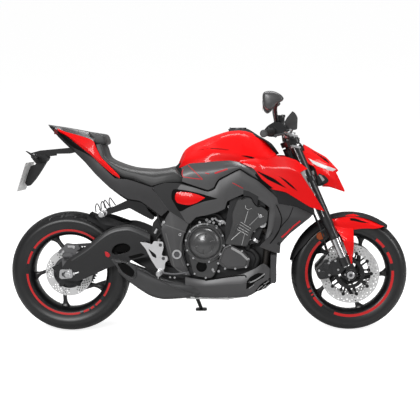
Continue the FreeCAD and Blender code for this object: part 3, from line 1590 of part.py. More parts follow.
def yoke(height):
    """A triple clamp: one plate across both legs and the steering stem."""
    middle = leg_point(height)
    outline = ((yoke_front, yoke_side), (yoke_front, -yoke_side),
               (-yoke_front, -yoke_side), (-yoke_rear, -yoke_waist),
               (-yoke_rear, yoke_waist), (-yoke_front, yoke_side))
    corners = [middle + fork_fore * fore + Vector(0, y, 0) - fork_up * (yoke_thickness / 2)
               for fore, y in outline]
    return Part.Face(rounded_wire(corners, yoke_corner)).extrude(fork_up * yoke_thickness)


def yokes():
    """Both triple clamps and the stem between them."""
    stem = bar(steer_point(low_yoke_z - yoke_thickness), steer_point(top_yoke_z), stem_radius)
    pieces = [yoke(low_yoke_z), yoke(top_yoke_z), stem]
    for height, way_up in ((neck_foot_z, 1), (neck_head_z, -1)):
        seat = steer_point(height)
        pieces.append(bar(seat, seat + fork_up * (way_up * bearing_length),
                          neck_bore - running_gap))
    for y in riser_y:
        foot = steer_point(top_yoke_z) + Vector(0, y, 0)
        pieces.append(bar(foot, Vector(bar_points[0][0], y, bar_points[0][2]), riser_radius))
    whole = fused(pieces)
    for side in (-1, 1):
        whole = whole.cut(bar(leg_point(low_yoke_z - yoke_thickness * 2, side),
                              leg_point(leg_top_z + yoke_thickness, side), outer_tube_radius))
    return whole.cut(handlebar())


def fork_uppers():
    """The two outer tubes."""
    legs = []
    for side in (-1, 1):
        leg = fused([bar(leg_point(taper_z, side), leg_point(leg_top_z, side),
                         outer_tube_radius),
                     bar(leg_point(leg_seal_z, side), leg_point(taper_z, side),
                         seal_radius, outer_tube_radius)])
        leg = leg.cut(bar(leg_point(leg_seal_z - overrun * 4, side),
                          leg_point(slider_top_z + overrun, side), slider_radius + slider_fit / 2))
        legs.append(leg)
    return Part.makeCompound(legs)


fork_foot_low = (1396.0, 270.0)
fork_foot_size = (90.0, 130.0)
fork_foot_shares = (
    (1.000, 0.138), (0.822, 0.000), (0.544, 0.000), (0.067, 0.231), (0.000, 0.969),
    (0.311, 1.000), (0.556, 0.577), (0.978, 0.323),
)
foot_half_width = 17.0
foot_boss_radius = 27.0


def fork_lowers():
    """Chromed sliders and the feet that hold the axle and the calipers."""
    legs = []
    outline = place(fork_foot_shares, fork_foot_low, fork_foot_size)
    for side in (-1, 1):
        y = side * fork_half_span
        slider = bar(leg_point(foot_z, side), leg_point(slider_top_z, side), slider_radius)
        foot = side_plate(outline, y - foot_half_width, y + foot_half_width)
        boss = cylinder_y(foot_boss_radius, front_axle, y - foot_half_width, y + foot_half_width)
        leg = fused([slider, foot, boss])
        legs.append(leg.cut(cylinder_y(axle_radius, front_axle, -front_axle_half,
                                       front_axle_half)))
    return Part.makeCompound(legs)


front_axle_half = 128.0
front_spacer_radius = 18.0


def front_axle_assembly():
    """The front axle with a spacer on each side of the wheel."""
    pieces = [cylinder_y(axle_radius, front_axle, -front_axle_half, front_axle_half)]
    for side in (-1, 1):
        y0, y1 = sorted((side * (front_hub_half + spider_thickness + running_gap),
                         side * (fork_half_span - foot_half_width)))
        pieces.append(cylinder_y(front_spacer_radius, front_axle, y0, y1))
    return fused(pieces)


caliper_inner_y = 46.0
caliper_outer_y = 118.0
front_caliper_low = (1285.0, 273.0)
front_caliper_size = (123.0, 124.0)
front_caliper_shares = (
    (0.000, 0.218), (0.122, 0.000), (0.935, 0.000), (1.000, 0.460), (0.967, 0.863),
    (0.610, 1.000), (0.163, 0.960), (0.000, 0.621),
)


def front_calipers():
    """Two calipers around the discs' rear edges, bolted to the fork's feet."""
    outline = place(front_caliper_shares, front_caliper_low, front_caliper_size)
    body = side_plate(outline, -caliper_outer_y, -caliper_inner_y)
    slot = cylinder_y(front_disc_radius + pad_gap * 2, front_axle,
                      -front_hub_half - disc_thickness - pad_gap, -front_hub_half + pad_gap)
    barrel = cylinder_y(front_axle[1], front_axle, -caliper_outer_y, -caliper_inner_y + overrun)
    reach = cylinder_y(rim_well_radius - rim_wall * 2, front_axle,
                       -rim_half_width_front - rim_wall, -caliper_inner_y + overrun * 2)
    hull = cylinder_y(front_axle[1], front_axle, -rim_half_width_front - rim_wall,
                      -caliper_inner_y + overrun * 2)
    body = body.cut(hull.cut(reach)).cut(slot).cut(fork_lowers())
    body = body.common(barrel)
    return both_sides(max(body.Solids, key=lambda s: s.Volume))


fender_radius = 309.0
fender_half_width = 69.0
fender_drop = 40.0
fender_wall = 4.0
fender_span_deg = (52.0, 112.0)
guard_span_deg = (112.2, 168.0)
guard_strap_deg = (104.0, 120.0)
strap_width_share = 0.6
spear_y = (97.0, 102.0)
fender_web = (1398.0, 1466.0, 527.0, 533.0)
web_z_top = 566.0
fender_spear_low = (1396.0, 359.0)
fender_spear_size = (81.0, 189.0)
fender_spear_shares = (
    (0.000, 1.000), (0.864, 0.984), (0.914, 0.905), (1.000, 0.418), (0.864, 0.000),
    (0.420, 0.307), (0.000, 0.868),
)


def front_fender():
    """The arch over the front tyre and the blades that reach down the fork."""
    cover = arch(front_axle, fender_radius, fender_half_width, fender_drop, fender_wall,
                 *fender_span_deg)
    outline = place(fender_spear_shares, fender_spear_low, fender_spear_size)
    pieces = [cover]
    for side in (-1, 1):
        y0, y1 = sorted((side * spear_y[0], side * spear_y[1]))
        pieces.append(side_plate(outline, y0, y1))
        x0, x1, z0, z1 = fender_web
        y0, y1 = sorted((side * (fender_half_width + overrun / 2), side * spear_y[1]))
        pieces.append(block(x0, x1, y0, y1, z0, web_z_top))
    whole = fused(pieces)
    tubes = fork_uppers().Solids + fork_lowers().Solids
    for solid in tubes:
        whole = whole.cut(solid)
    return max(whole.Solids, key=lambda s: s.Volume)


def fender_guard():
    """The dark rear part of the front fender."""
    guard = arch(front_axle, fender_radius - overrun, fender_half_width - overrun, fender_drop,
                 fender_wall, *guard_span_deg)
    strap_from, strap_to = guard_strap_deg
    strap = arch(front_axle, fender_radius - fender_wall - running_gap,
                 fender_half_width * strap_width_share, fender_wall * 2,
                 fender_wall - running_gap, strap_from, strap_to)
    return fused([guard, strap]).cut(front_fender())


# Handlebar, controls, mirrors and instrument

bar_radius = 11.0
bar_line_low = (1020.0, 1026.0)
bar_line_size = (106.0, 30.0)
bar_line_reach = 386.0
bar_line_shares = (
    # x, z, y
    (1.000, 0.933, 0.000), (0.925, 1.000, 0.311), (0.604, 0.533, 0.531), (0.000, 0.000, 1.000),
)
bar_points = net(bar_line_shares, bar_line_low, bar_line_size, bar_line_reach)
grip_radius = 17.0
grip_bore = 11.0
grip_share = (0.36, 0.97)
end_radius = 14.0
end_length = 20.0


def bar_side(side):
    """Points of one half of the handlebar."""
    return [Vector(x, side * y, z) for x, y, z in bar_points]


def handlebar():
    """The bar, bent back at both sides, with its end weights."""
    left = bar_side(1)
    right = bar_side(-1)
    pieces = [rod([right[3], right[2], right[1], left[1], left[2], left[3]], bar_radius)]
    for points in (left, right):
        out = points[-1] - points[-2]
        out.normalize()
        pieces.append(bar(points[-1], points[-1] + out * end_length, end_radius))
    return fused(pieces)


def on_bar(side, share):
    """A point on the straight outer run of the handlebar."""
    points = bar_side(side)
    return points[2] + (points[3] - points[2]) * share


def grips():
    """Rubber sleeves on the bar's ends."""
    low, high = grip_share
    both = []
    for side in (-1, 1):
        sleeve = bar(on_bar(side, low), on_bar(side, high), grip_radius)
        both.append(sleeve.cut(bar(on_bar(side, 0), on_bar(side, 1.0), grip_bore)))
    return Part.makeCompound(both)


pod_share = (0.1, 0.34)
pod_radius = 24.0
lever_radius = 5.5
lever_reach = 62.0
lever_drop = 12.0
reservoir_radius = 21.0
reservoir_height = 42.0
reservoir_rise = 62.0
reservoir_lean = 12.0
perch_share = 0.4
lever_tip_share = 0.92
lever_tip_reach_share = 0.86


def controls():
    """Switch pods, both levers and the brake fluid cup."""
    both = []
    for side in (-1, 1):
        low, high = pod_share
        start = on_bar(side, low)
        stop = on_bar(side, high)
        pod = bar(start, stop, pod_radius)
        fore = Vector(lever_reach, 0, -lever_drop)
        clamp = start + (stop - start) * perch_share
        root = clamp + fore
        perch = bar(clamp, root, lever_radius * 2)
        tip = on_bar(side, lever_tip_share) + fore * lever_tip_reach_share
        knob = bar(root, tip, lever_radius)
        pieces = [pod, perch, knob]
        if side < 0:
            foot = root + Vector(0, 0, lever_radius)
            top = foot + Vector(-reservoir_lean, 0, reservoir_rise)
            pieces.append(bar(foot, top, lever_radius))
            pieces.append(Part.makeCylinder(reservoir_radius, reservoir_height, top))
        whole = fused(pieces).cut(handlebar())
        both.append(max(whole.Solids, key=lambda s: s.Volume))
    return Part.makeCompound(both)


mirror_stem_low = (1064.0, 1050.0)
mirror_stem_size = (28.0, 136.0)
mirror_stem_reach = 366.0
mirror_stem_shares = (
    # x, z, y
    (1.000, 0.000, 0.508), (0.714, 0.441, 0.716), (0.000, 1.000, 1.000),
)
mirror_stem = net(mirror_stem_shares, mirror_stem_low, mirror_stem_size, mirror_stem_reach)
mirror_stem_radius = 6.0
mirror_low = (338.0, 1024.0, 1138.0)
mirror_size = (124.0, 88.0, 92.0)
mirror_station_shares = (
    # y, x low, x high, z low, z high
    (0.000, 0.364, 0.818, 0.326, 0.761), (0.145, 0.114, 0.955, 0.087, 0.935),
    (0.661, 0.000, 1.000, 0.000, 1.000), (1.000, 0.068, 0.750, 0.239, 0.913),
)
mirror_ring_shares = (
    (0.28, 0.00), (0.90, 0.43), (1.00, 0.67), (0.48, 1.00), (0.00, 0.96), (0.00, 0.31),
)
mirror_table = box_stations(mirror_station_shares, mirror_low, mirror_size)


def mirrors():
    """Mirror heads on bent stems from the handlebar."""
    rings = []
    for y, x0, x1, z0, z1 in mirror_table:
        outline = place(mirror_ring_shares, (x0, z0), (x1 - x0, z1 - z0))
        points = [Vector(x, -y, z) for x, z in outline]
        rings.append(Part.makePolygon(points + points[:1]))
    head = loft(rings, True)
    stem = rod([Vector(x, -y, z) for x, y, z in mirror_stem], mirror_stem_radius)
    whole = fused([head, stem]).cut(handlebar())
    return both_sides(max(whole.Solids, key=lambda s: s.Volume))


instrument_half_width = 68.0
instrument_stay_radius = 8.0
instrument_stay = ((1182.0, 1000.0), (1170.0, 1060.0))
instrument_stay_y = 28.0
instrument_low = (1128.0, 1039.0)
instrument_size = (67.0, 103.0)
instrument_shares = (
    (0.045, 0.573), (0.642, 1.000), (1.000, 0.689), (0.955, 0.136), (0.000, 0.000),
)


def instrument():
    """The display on two stays from the top yoke."""
    outline = place(instrument_shares, instrument_low, instrument_size)
    body = side_plate(outline, -instrument_half_width, instrument_half_width)
    pieces = [body]
    low, high = instrument_stay
    for side in (-1, 1):
        y = side * instrument_stay_y
        stay = bar(Vector(low[0], y, low[1]), Vector(high[0], y, high[1]),
                   instrument_stay_radius)
        pieces.append(stay)
    return fused(pieces).cut(handlebar()).cut(yokes())


# Head lamp and its mask

mask_low = (1226.0, 829.0)
mask_size = (170.0, 131.0)
mask_half_width = 108.0
mask_station_shares = (
    # x, z low, z high, half low, half high
    (0.000, 0.298, 1.000, 1.000, 0.704), (0.324, 0.176, 0.832, 0.963, 0.574),
    (0.671, 0.053, 0.511, 0.704, 0.407), (1.000, 0.000, 0.069, 0.204, 0.111),
)
mask_table = stations(mask_station_shares, mask_low, mask_size,
                      mask_half_width)
mask_wall = 4.0
chin_low = (1319.0, 725.0)
chin_size = (109.0, 67.0)
chin_half_width = 84.0
chin_station_shares = (
    # x, z low, z high, half low, half high
    (0.000, 0.493, 1.000, 0.881, 1.000), (0.486, 0.254, 0.910, 0.619, 0.738),
    (1.000, 0.000, 0.119, 0.095, 0.143),
)
chin_table = stations(chin_station_shares, chin_low, chin_size,
                      chin_half_width)
lamp_body_low = (1262.0, 762.0)
lamp_body_size = (122.0, 100.0)
lamp_body_half_width = 96.0
lamp_body_station_shares = (
    # x, z low, z high, half low, half high
    (0.000, 0.000, 1.000, 0.875, 1.000), (0.475, 0.000, 0.880, 0.812, 0.917),
    (0.902, 0.240, 0.720, 0.583, 0.646), (1.000, 0.280, 0.660, 0.500, 0.542),
)
lamp_table = stations(lamp_body_station_shares, lamp_body_low, lamp_body_size,
                      lamp_body_half_width)
lamp_stay_y = 60.0
lamp_stay_radius = 9.0
leg_gap = 3.0


def leg_room():
    """The room that both fork legs need beside the lamp."""
    return Part.makeCompound([bar(leg_point(low_yoke_z - yoke_thickness * 4, side),
                                  leg_point(leg_top_z, side), outer_tube_radius + leg_gap)
                              for side in (-1, 1)])


def lamp_solid():
    """The lamp unit's outer form."""
    return boxed(lamp_table).cut(leg_room()).cut(yokes())


def headlight_unit():
    """The lamp body, its bright side strips and the stays to the lower yoke."""
    cavity = boxed([lamp_table[0]] + list(lamp_table[1:-1]), mask_wall)
    body = lamp_solid().cut(cavity)
    pieces = [body]
    for side in (-1, 1):
        y = side * lamp_stay_y
        start = leg_point(low_yoke_z) + Vector(0, y, 0)
        stay = bar(start, Vector(lamp_table[0][0] + overrun, y, (lamp_table[0][1]
                   + lamp_table[0][2]) / 2 - lamp_stay_radius * 2), lamp_stay_radius)
        pieces.append(stay.cut(yokes()).cut(cavity))
    whole = fused(pieces).cut(yokes()).cut(leg_room())
    return max(whole.Solids, key=lambda s: s.Volume)


def headlight_mask():
    """The beak above the lamp and the chin below it."""
    beak = boxed(mask_table)
    hollow = boxed([(mask_table[0][0] - overrun,) + mask_table[0][1:]] + list(mask_table[1:-1]),
                   mask_wall)
    floor_cut = boxed([(x, z0 - mask_wall * 2, z0 + mask_wall * 2, low - mask_wall,
                        low - mask_wall) for x, z0, z1, low, high in mask_table[:-1]])
    beak = beak.cut(hollow).cut(lamp_solid()).cut(leg_room())
    chin = boxed(chin_table).cut(lamp_solid())
    return Part.makeCompound([max(beak.Solids, key=lambda s: s.Volume),
                              max(chin.Solids, key=lambda s: s.Volume)])


# Brake hoses: straight runs joined by arcs, from the calipers to the handlebar

hose_radius = 3.5
hose_line_low = (1146.0, 392.0)
hose_line_size = (206.0, 626.0)
hose_line_reach = 226.0
hose_line_shares = (
    # x, z, y
    (1.000, 0.000, 0.434), (0.922, 0.093, 0.566), (0.748, 0.268, 0.619), (0.243, 0.652, 0.584),
    (0.068, 0.812, 0.593), (0.019, 0.947, 0.841), (0.000, 1.000, 1.000),
)
hose_points = net(hose_line_shares, hose_line_low, hose_line_size, hose_line_reach)


def brake_hoses():
    """One hose on each side."""
    right = rod([Vector(x, -y, z) for x, y, z in hose_points], hose_radius)
    for other in (front_calipers(), fork_uppers(), fork_lowers(), yokes(), controls()):
        for solid in other.Solids:
            right = right.cut(solid)
    return both_sides(max(right.Solids, key=lambda s: s.Volume))


# Side stand: it pivots under the left plate and folds back beside the swingarm

stand_pivot = Vector(600.0, 152.0, 280.0)
stand_foot_x = 668.0
stand_foot_y = 292.0
stand_radius = 12.0
stand_tip_radius = 10.0
stand_boss_radius = 17.0
stand_boss_half = 13.5
stand_foot_length = 62.0
stand_foot_half = 17.0
stand_foot_thick = 8.0
stand_pin_radius = 6.0
stand_tab_thick = 7.0
stand_tab_half = 16.0
stand_tab_rise = 46.0
stand_fold_shares = (-0.985, 0.12, -0.06)


def lift():
    """How far the leaned machine is raised so that the rear tyre touches the ground."""
    wall = rear_radius - rim_flange_radius - tyre_bead_gap
    drop = wall * (1 - shoulder_share)
    half = rear_half_width * shoulder_width_share
    crown = (half * half + drop * drop) / (2 * drop)
    return crown * (1 - math.cos(lean))


def ground_z(y):
    """Height of the real ground in the upright frame, at a distance to the left."""
    return (y * math.sin(lean) - lift()) / math.cos(lean)


def stand_foot():
    """Where the stand's foot meets the ground."""
    return Vector(stand_foot_x, stand_foot_y, ground_z(stand_foot_y))


def stand_axis():
    """Hinge axis: it turns the deployed leg up and back."""
    down = stand_foot() - stand_pivot
    down.normalize()
    back = Vector(*stand_fold_shares)
    back.normalize()
    axis = down.cross(back)
    axis.normalize()
    return axis


def side_stand():
    """The stand's leg with its boss and its flat foot."""
    foot = stand_foot()
    axis = stand_axis()
    normal = Vector(0, -math.sin(lean), math.cos(lean))
    ankle = foot + normal * stand_foot_thick
    boss = bar(stand_pivot - axis * stand_boss_half, stand_pivot + axis * stand_boss_half,
               stand_boss_radius)
    leg = bar(stand_pivot, ankle, stand_radius, stand_tip_radius)
    fore = Vector(stand_foot_length / 2, 0, 0)
    across = Vector(0, math.cos(lean), math.sin(lean)) * stand_foot_half
    ring = [foot - fore - across, foot + fore - across, foot + fore + across,
            foot - fore + across]
    pad = Part.Face(rounded_wire(ring, stand_foot_half / 2)).extrude(normal * stand_foot_thick)
    whole = fused([boss, leg, pad])
    pin = bar(stand_pivot - axis * stand_boss_half * 3, stand_pivot + axis * stand_boss_half * 3,
              stand_pin_radius + running_gap)
    return whole.cut(pin)


def stand_bracket():
    """A tab under the left pivot plate with the stand's pin."""
    axis = stand_axis()
    far = stand_boss_half + hinge_gap
    pin = bar(stand_pivot - axis * far, stand_pivot + axis * far, stand_pin_radius)
    rise = Vector(0, -axis.z, axis.y)
    rise.normalize()
    fore = rise.cross(axis)
    base = stand_pivot - axis * far
    ring = [base - fore * stand_tab_half - rise * stand_tab_half,
            base + fore * stand_tab_half - rise * stand_tab_half,
            base + fore * stand_tab_half + rise * stand_tab_rise,
            base - fore * stand_tab_half + rise * stand_tab_rise]
    tab = Part.Face(rounded_wire(ring, stand_tab_half / 2)).extrude(-axis * stand_tab_thick)
    return [pin, tab]


# Wheels and their sizes

front_half_width = 60.0
rear_half_width = 88.0


def front_discs():
    """Both front discs."""
    right = disc(front_axle, front_disc_radius, front_hub_half, -1)
    return Part.makeCompound([right, mirrored(right)])


def park(shape):
    """The machine's shape leaned to the left, raised to the ground and centred."""
    moved = shape.copy()
    moved.rotate(Vector(0, 0, 0), Vector(1, 0, 0), -lean_deg)
    moved.translate(Vector(-centre_x, -centre_y, lift()))
    return moved


centre_x = (wheelbase + front_radius - rear_radius) / 2
centre_y = 206.8


def build_parts():
    """Every piece by name, upright."""
    main_frame = fused([frame()] + stand_bracket())
    pieces = {
        "frame": main_frame,
        "subframe": subframe(),
        "crankcase": crankcase(),
        "cylinders": cylinders(),
        "clutch_cover": clutch_cover(),
        "generator_cover": generator_cover(),
        "left_covers": left_covers(),
        "radiator": radiator(),
        "radiator_shrouds": radiator_shrouds(),
        "belly_pan": belly_pan(),
        "exhaust_headers": exhaust_headers(),
        "silencer": silencer(),
        "fuel_tank": fuel_tank(),
        "fuel_cap": fuel_cap(),
        "tank_cover": tank_cover(),
        "wing_shrouds": wing_shrouds(),
        "side_covers": side_covers(),
        "intake_inserts": intake_inserts(),
        "rider_seat": rider_seat(),
        "pillion_seat": pillion_seat(),
        "tail_fairing": tail_fairing(),
        "tail_panels": tail_panels(),
        "seat_side_panels": seat_side_panels(),
        "tail_lamp": tail_lamp(),
        "plate_hanger": plate_hanger(),
        "number_plate": number_plate(),
        "swingarm": swingarm(),
        "rear_axle": rear_axle_assembly(),
        "chain": chain(),
        "shock_absorber": shock_absorber(),
        "rear_caliper": rear_caliper(),
        "rear_hugger": rear_hugger(),
        "foot_hangers": foot_hangers(),
        "footpegs": footpegs(),
        "pillion_pegs": pillion_pegs(),
        "yokes": yokes(),
        "fork_uppers": fork_uppers(),
        "fork_lowers": fork_lowers(),
        "front_axle": front_axle_assembly(),
        "front_calipers": front_calipers(),
        "front_fender": front_fender(),
        "fender_guard": fender_guard(),
        "handlebar": handlebar(),
        "grips": grips(),
        "controls": controls(),
        "mirrors": mirrors(),
        "instrument": instrument(),
        "headlight_unit": headlight_unit(),
        "headlight_mask": headlight_mask(),
        "brake_hoses": brake_hoses(),
        "front_tyre": tyre(front_axle, front_radius, front_half_width, rim_half_width_front),
        "front_rim": wheel(front_axle, rim_half_width_front, front_hub_half,
                           front_spoke_start_deg),
        "front_discs": front_discs(),
        "rear_tyre": tyre(rear_axle, rear_radius, rear_half_width, rim_half_width_rear),
        "rear_rim": wheel(rear_axle, rim_half_width_rear, rear_hub_half, rear_spoke_start_deg),
        "rear_disc": disc(rear_axle, rear_disc_radius, rear_hub_half, -1),
        "rear_sprocket": rear_sprocket(),
        "side_stand": side_stand(),
    }
    return pieces


def export_parts(pieces):
    """One file for each piece, all in the parked frame."""
    os.makedirs("parts", exist_ok=True)
    for name, shape in pieces.items():
        park(shape).exportStep("parts/" + name + ".step")


export_parts(build_parts())
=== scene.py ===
import math

import bmesh
import bpy
import numpy as np
from mathutils import Matrix, Vector
from mathutils.geometry import tessellate_polygon


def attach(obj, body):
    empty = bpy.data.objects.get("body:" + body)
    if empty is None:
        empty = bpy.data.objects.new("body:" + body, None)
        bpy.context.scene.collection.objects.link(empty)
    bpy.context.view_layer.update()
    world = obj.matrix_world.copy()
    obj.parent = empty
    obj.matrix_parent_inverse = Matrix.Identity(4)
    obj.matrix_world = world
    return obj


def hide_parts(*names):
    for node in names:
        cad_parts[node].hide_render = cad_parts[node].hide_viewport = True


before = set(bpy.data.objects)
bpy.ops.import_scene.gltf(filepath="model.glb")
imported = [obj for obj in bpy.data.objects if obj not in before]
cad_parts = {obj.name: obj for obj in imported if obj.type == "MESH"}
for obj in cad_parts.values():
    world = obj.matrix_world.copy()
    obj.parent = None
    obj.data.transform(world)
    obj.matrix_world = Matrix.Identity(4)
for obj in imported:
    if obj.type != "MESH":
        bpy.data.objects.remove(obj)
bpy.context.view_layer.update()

# Where the machine stands: it leans on its side stand. Every shape below is worked out for the
# upright machine, in millimetres from the rear axle's foot, x forward, y left and z up, and is
# then leaned over and moved to its parking place.
lean = math.radians(10.0)
park_shift = (-722.5, -206.8, 1.596)


def leaned(points):
    """Upright millimetres as parked metres: turned about the x axis by the lean, then moved."""
    p = np.asarray(points, float)
    y = p[..., 1] * math.cos(lean) + p[..., 2] * math.sin(lean)
    z = p[..., 2] * math.cos(lean) - p[..., 1] * math.sin(lean)
    return (np.stack([p[..., 0], y, z], -1) + park_shift) / 1000.0


# The studio: a pale paper floor, a surround that is white to the camera and dimmer as light,
# three soft lamps, and a camera square to the leaning machine's right side.
eye = (1010.8, -5200.0, 1026.2)
eye_yaw = math.radians(-3.0)
eye_pitch = math.radians(-4.35)
eye_roll = -0.0121
focal_length = 85.37
far_clip = 200.0


def stand_camera():
    """Aims the camera from its yaw, pitch and roll beside the upright machine, then leans it."""
    ahead = np.array([math.sin(eye_yaw) * math.cos(eye_pitch),
                      math.cos(eye_yaw) * math.cos(eye_pitch), math.sin(eye_pitch)])
    right = np.array([math.cos(eye_yaw), -math.sin(eye_yaw), 0.0])
    up = np.cross(right, ahead)
    side = math.cos(eye_roll) * right + math.sin(eye_roll) * up
    up = math.cos(eye_roll) * up - math.sin(eye_roll) * right
    turn = Matrix.Rotation(-lean, 3, "X")
    matrix = Matrix([turn @ Vector(v) for v in (side, up, -ahead)]).transposed().to_4x4()
    matrix.translation = Vector(leaned(eye))
    data = bpy.data.cameras.new("studio_camera")
    data.lens = focal_length
    data.clip_end = far_clip
    camera = bpy.data.objects.new("studio_camera", data)
    camera.matrix_world = matrix
    bpy.context.scene.collection.objects.link(camera)
    bpy.context.scene.camera = camera


stand_camera()


def add(tree, kind, values=()):
    """Adds a node of a kind to a tree, with a value for each of the inputs that are named."""
    node = tree.nodes.new(kind)
    for socket, value in dict(values).items():
        node.inputs[socket].default_value = value
    return node


def wire(tree, *links):
    """Joins sockets, each link given as a node, its output, another node and its input."""
    for source, output, target, socket in links:
        tree.links.new(source.outputs[output], target.inputs[socket])


def shader_tree(name):
    """A new material and its empty tree."""
    material = bpy.data.materials.new(name)
    material.use_nodes = True
    material.node_tree.nodes.clear()
    return material, material.node_tree


white = (1, 1, 1, 1)
floor_half = 60.0
floor_grey = 0.62
floor_glow = 0.83


def lay_floor():
    """A pale floor that adds enough of its own white, where the camera looks at it, to run
    into the white surround."""
    material, tree = shader_tree("studio_floor")
    paper = add(tree, "ShaderNodeBsdfDiffuse", {"Color": (floor_grey,) * 3 + (1,)})
    glow = add(tree, "ShaderNodeEmission", {"Color": white})
    path = add(tree, "ShaderNodeLightPath")
    level = add(tree, "ShaderNodeMath", {1: floor_glow})
    level.operation = "MULTIPLY"
    both = add(tree, "ShaderNodeAddShader")
    wire(tree, (path, "Is Camera Ray", level, 0), (level, 0, glow, "Strength"),
         (paper, 0, both, 0), (glow, 0, both, 1),
         (both, 0, add(tree, "ShaderNodeOutputMaterial"), 0))
    mesh = bpy.data.meshes.new("studio_floor")
    h = floor_half
    mesh.from_pydata([(-h, -h, 0), (h, -h, 0), (h, h, 0), (-h, h, 0)], [], [(0, 1, 2, 3)])
    mesh.materials.append(material)
    floor = bpy.data.objects.new("studio_floor", mesh)
    bpy.context.scene.collection.objects.link(floor)


surround_light = 0.26
lamps = (  # name, place, point aimed at, width and height in metres, watts
    ("lamp_overhead", (0.2, 0.4, 3.6), (0, 0, 0.6), (3.4, 0.9), 100),
    ("lamp_near", (-1.6, -4.2, 3.0), (0, 0, 0.6), (2.4, 0.8), 115),
    ("lamp_front", (4.0, -1.8, 2.2), (0.4, 0, 0.6), (0.8, 1.8), 45))


def light_studio():
    """A surround that is white where the camera sees it and dimmer as light, and the lamps."""
    world = bpy.data.worlds.new("studio_world")
    bpy.context.scene.world = world
    world.use_nodes = True
    tree = world.node_tree
    tree.nodes.clear()
    back = add(tree, "ShaderNodeBackground", {"Color": white})
    path = add(tree, "ShaderNodeLightPath")
    level = add(tree, "ShaderNodeMapRange", {"To Min": surround_light, "To Max": 1.0})
    wire(tree, (path, "Is Camera Ray", level, "Value"), (level, 0, back, "Strength"),
         (back, 0, add(tree, "ShaderNodeOutputWorld"), 0))
    for name, place, aim, size, watts in lamps:
        data = bpy.data.lights.new(name, "AREA")
        data.shape = "RECTANGLE"
        data.size, data.size_y = size
        data.energy = watts
        lamp = bpy.data.objects.new(name, data)
        lamp.location = place
        lamp.rotation_mode = "QUATERNION"
        lamp.rotation_quaternion = (Vector(aim) - Vector(place)).to_track_quat("-Z", "Y")
        bpy.context.scene.collection.objects.link(lamp)


lay_floor()
light_studio()
bpy.context.scene.view_settings.view_transform = "Standard"

# Frame: cast and pressed alloy spars, pivot plates and neck, welded up, and a bolted steel tail
# frame. They keep their solid shapes and get their dark satin coat here, with the fine grain
# that all painted, moulded and cast parts share.
def make_grain_group():
    """Mixes two tints by a broad noise and two roughnesses by a fine one, which is also given
    out as height."""
    tree = bpy.data.node_groups.new("surface_grain", "ShaderNodeTree")
    for side, names in (("INPUT", ("Dark", "Light", "Size", "Rough low", "Rough high")),
                        ("OUTPUT", ("Color", "Roughness", "Height"))):
        for name in names:
            kind = "Color" if name in ("Dark", "Light", "Color") else "Float"
            tree.interface.new_socket(name=name, in_out=side, socket_type="NodeSocket" + kind)
    given, made = add(tree, "NodeGroupInput"), add(tree, "NodeGroupOutput")
    place = add(tree, "ShaderNodeTexCoord")
    fine = add(tree, "ShaderNodeTexNoise", {"Detail": 3})
    broad = add(tree, "ShaderNodeTexNoise", {"Scale": 9, "Detail": 2})
    tint, rough = add(tree, "ShaderNodeMix"), add(tree, "ShaderNodeMix")
    tint.data_type = "RGBA"
    wire(tree, (place, "Object", fine, "Vector"), (place, "Object", broad, "Vector"),
         (given, "Size", fine, "Scale"), (broad, "Fac", tint, "Factor"),
         (given, "Dark", tint, "A"), (given, "Light", tint, "B"),
         (fine, "Fac", rough, "Factor"), (given, "Rough low", rough, "A"),
         (given, "Rough high", rough, "B"), (tint, "Result", made, "Color"),
         (rough, "Result", made, "Roughness"), (fine, "Fac", made, "Height"))
    return tree


surface_grain = make_grain_group()


def finish(name, dark, light, rough, grain=900, depth=0.00004, metal=0, coat=0,
           coat_rough=0.04, sheen=0, shine=0.5):
    """A painted, moulded or cast finish: the shared grain feeds colour, roughness and bump."""
    material, tree = shader_tree(name)
    shader = add(tree, "ShaderNodeBsdfPrincipled", {
        "Metallic": metal, "Coat Weight": coat, "Coat Roughness": coat_rough,
        "Sheen Weight": sheen, "Specular IOR Level": shine})
    texture = tree.nodes.new("ShaderNodeGroup")
    texture.node_tree = surface_grain
    for socket, value in (("Dark", (*dark, 1)), ("Light", (*light, 1)), ("Size", grain),
                          ("Rough low", rough[0]), ("Rough high", rough[1])):
        texture.inputs[socket].default_value = value
    bump = add(tree, "ShaderNodeBump", {"Distance": depth})
    wire(tree, (texture, "Color", shader, "Base Color"),
         (texture, "Roughness", shader, "Roughness"), (texture, "Height", bump, "Height"),
         (bump, 0, shader, "Normal"), (shader, 0, add(tree, "ShaderNodeOutputMaterial"), 0))
    return material


black_coat = finish("black_coat", (0.009, 0.009, 0.010), (0.013, 0.013, 0.014),
                    (0.34, 0.5))


def coat_node(material, slot, *nodes):
    """Gives solid pieces that keep their own shape their finish."""
    for name in nodes:
        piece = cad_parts[name]
        piece.data.materials.clear()
        piece.data.materials.append(material)


coat_node(black_coat, "grey_paint", "frame")
coat_node(black_coat, "black_paint", "subframe")

# Wheels: cast alloy rims with five leaning spokes, painted black, with red stripes stuck to
# their faces, and rubber tyres whose grooves are cut slantwise from the crown to the shoulders.
wheelbase = 1460
rear_radius = 315
front_radius = 300
rear_centre = (0, rear_radius)
front_centre = (wheelbase, front_radius)
rear_rim_half = 74
front_rim_half = 54
edge_steps = 2
seam_gap = 2e-5


def grid_faces(rows, columns, wrap_rows=False, wrap_columns=False):
    """Quads between neighbours of a rows by columns grid, closed round where asked."""
    i = np.arange(rows if wrap_rows else rows - 1)
    j = np.arange(columns if wrap_columns else columns - 1)
    i, j = (a.ravel() for a in np.meshgrid(i, j, indexing="ij"))
    k, m = (i + 1) % rows, (j + 1) % columns
    return np.stack([i * columns + j, i * columns + m, k * columns + m, k * columns + j], -1)


def capped(grid):
    """A grid of closed rings as a skin with flat ends."""
    rows, columns = grid.shape[:2]
    ends = np.arange(columns)
    return grid.reshape(-1, 3), [grid_faces(rows, columns, False, True), ends[None, ::-1],
                                 (ends + (rows - 1) * columns)[None]]


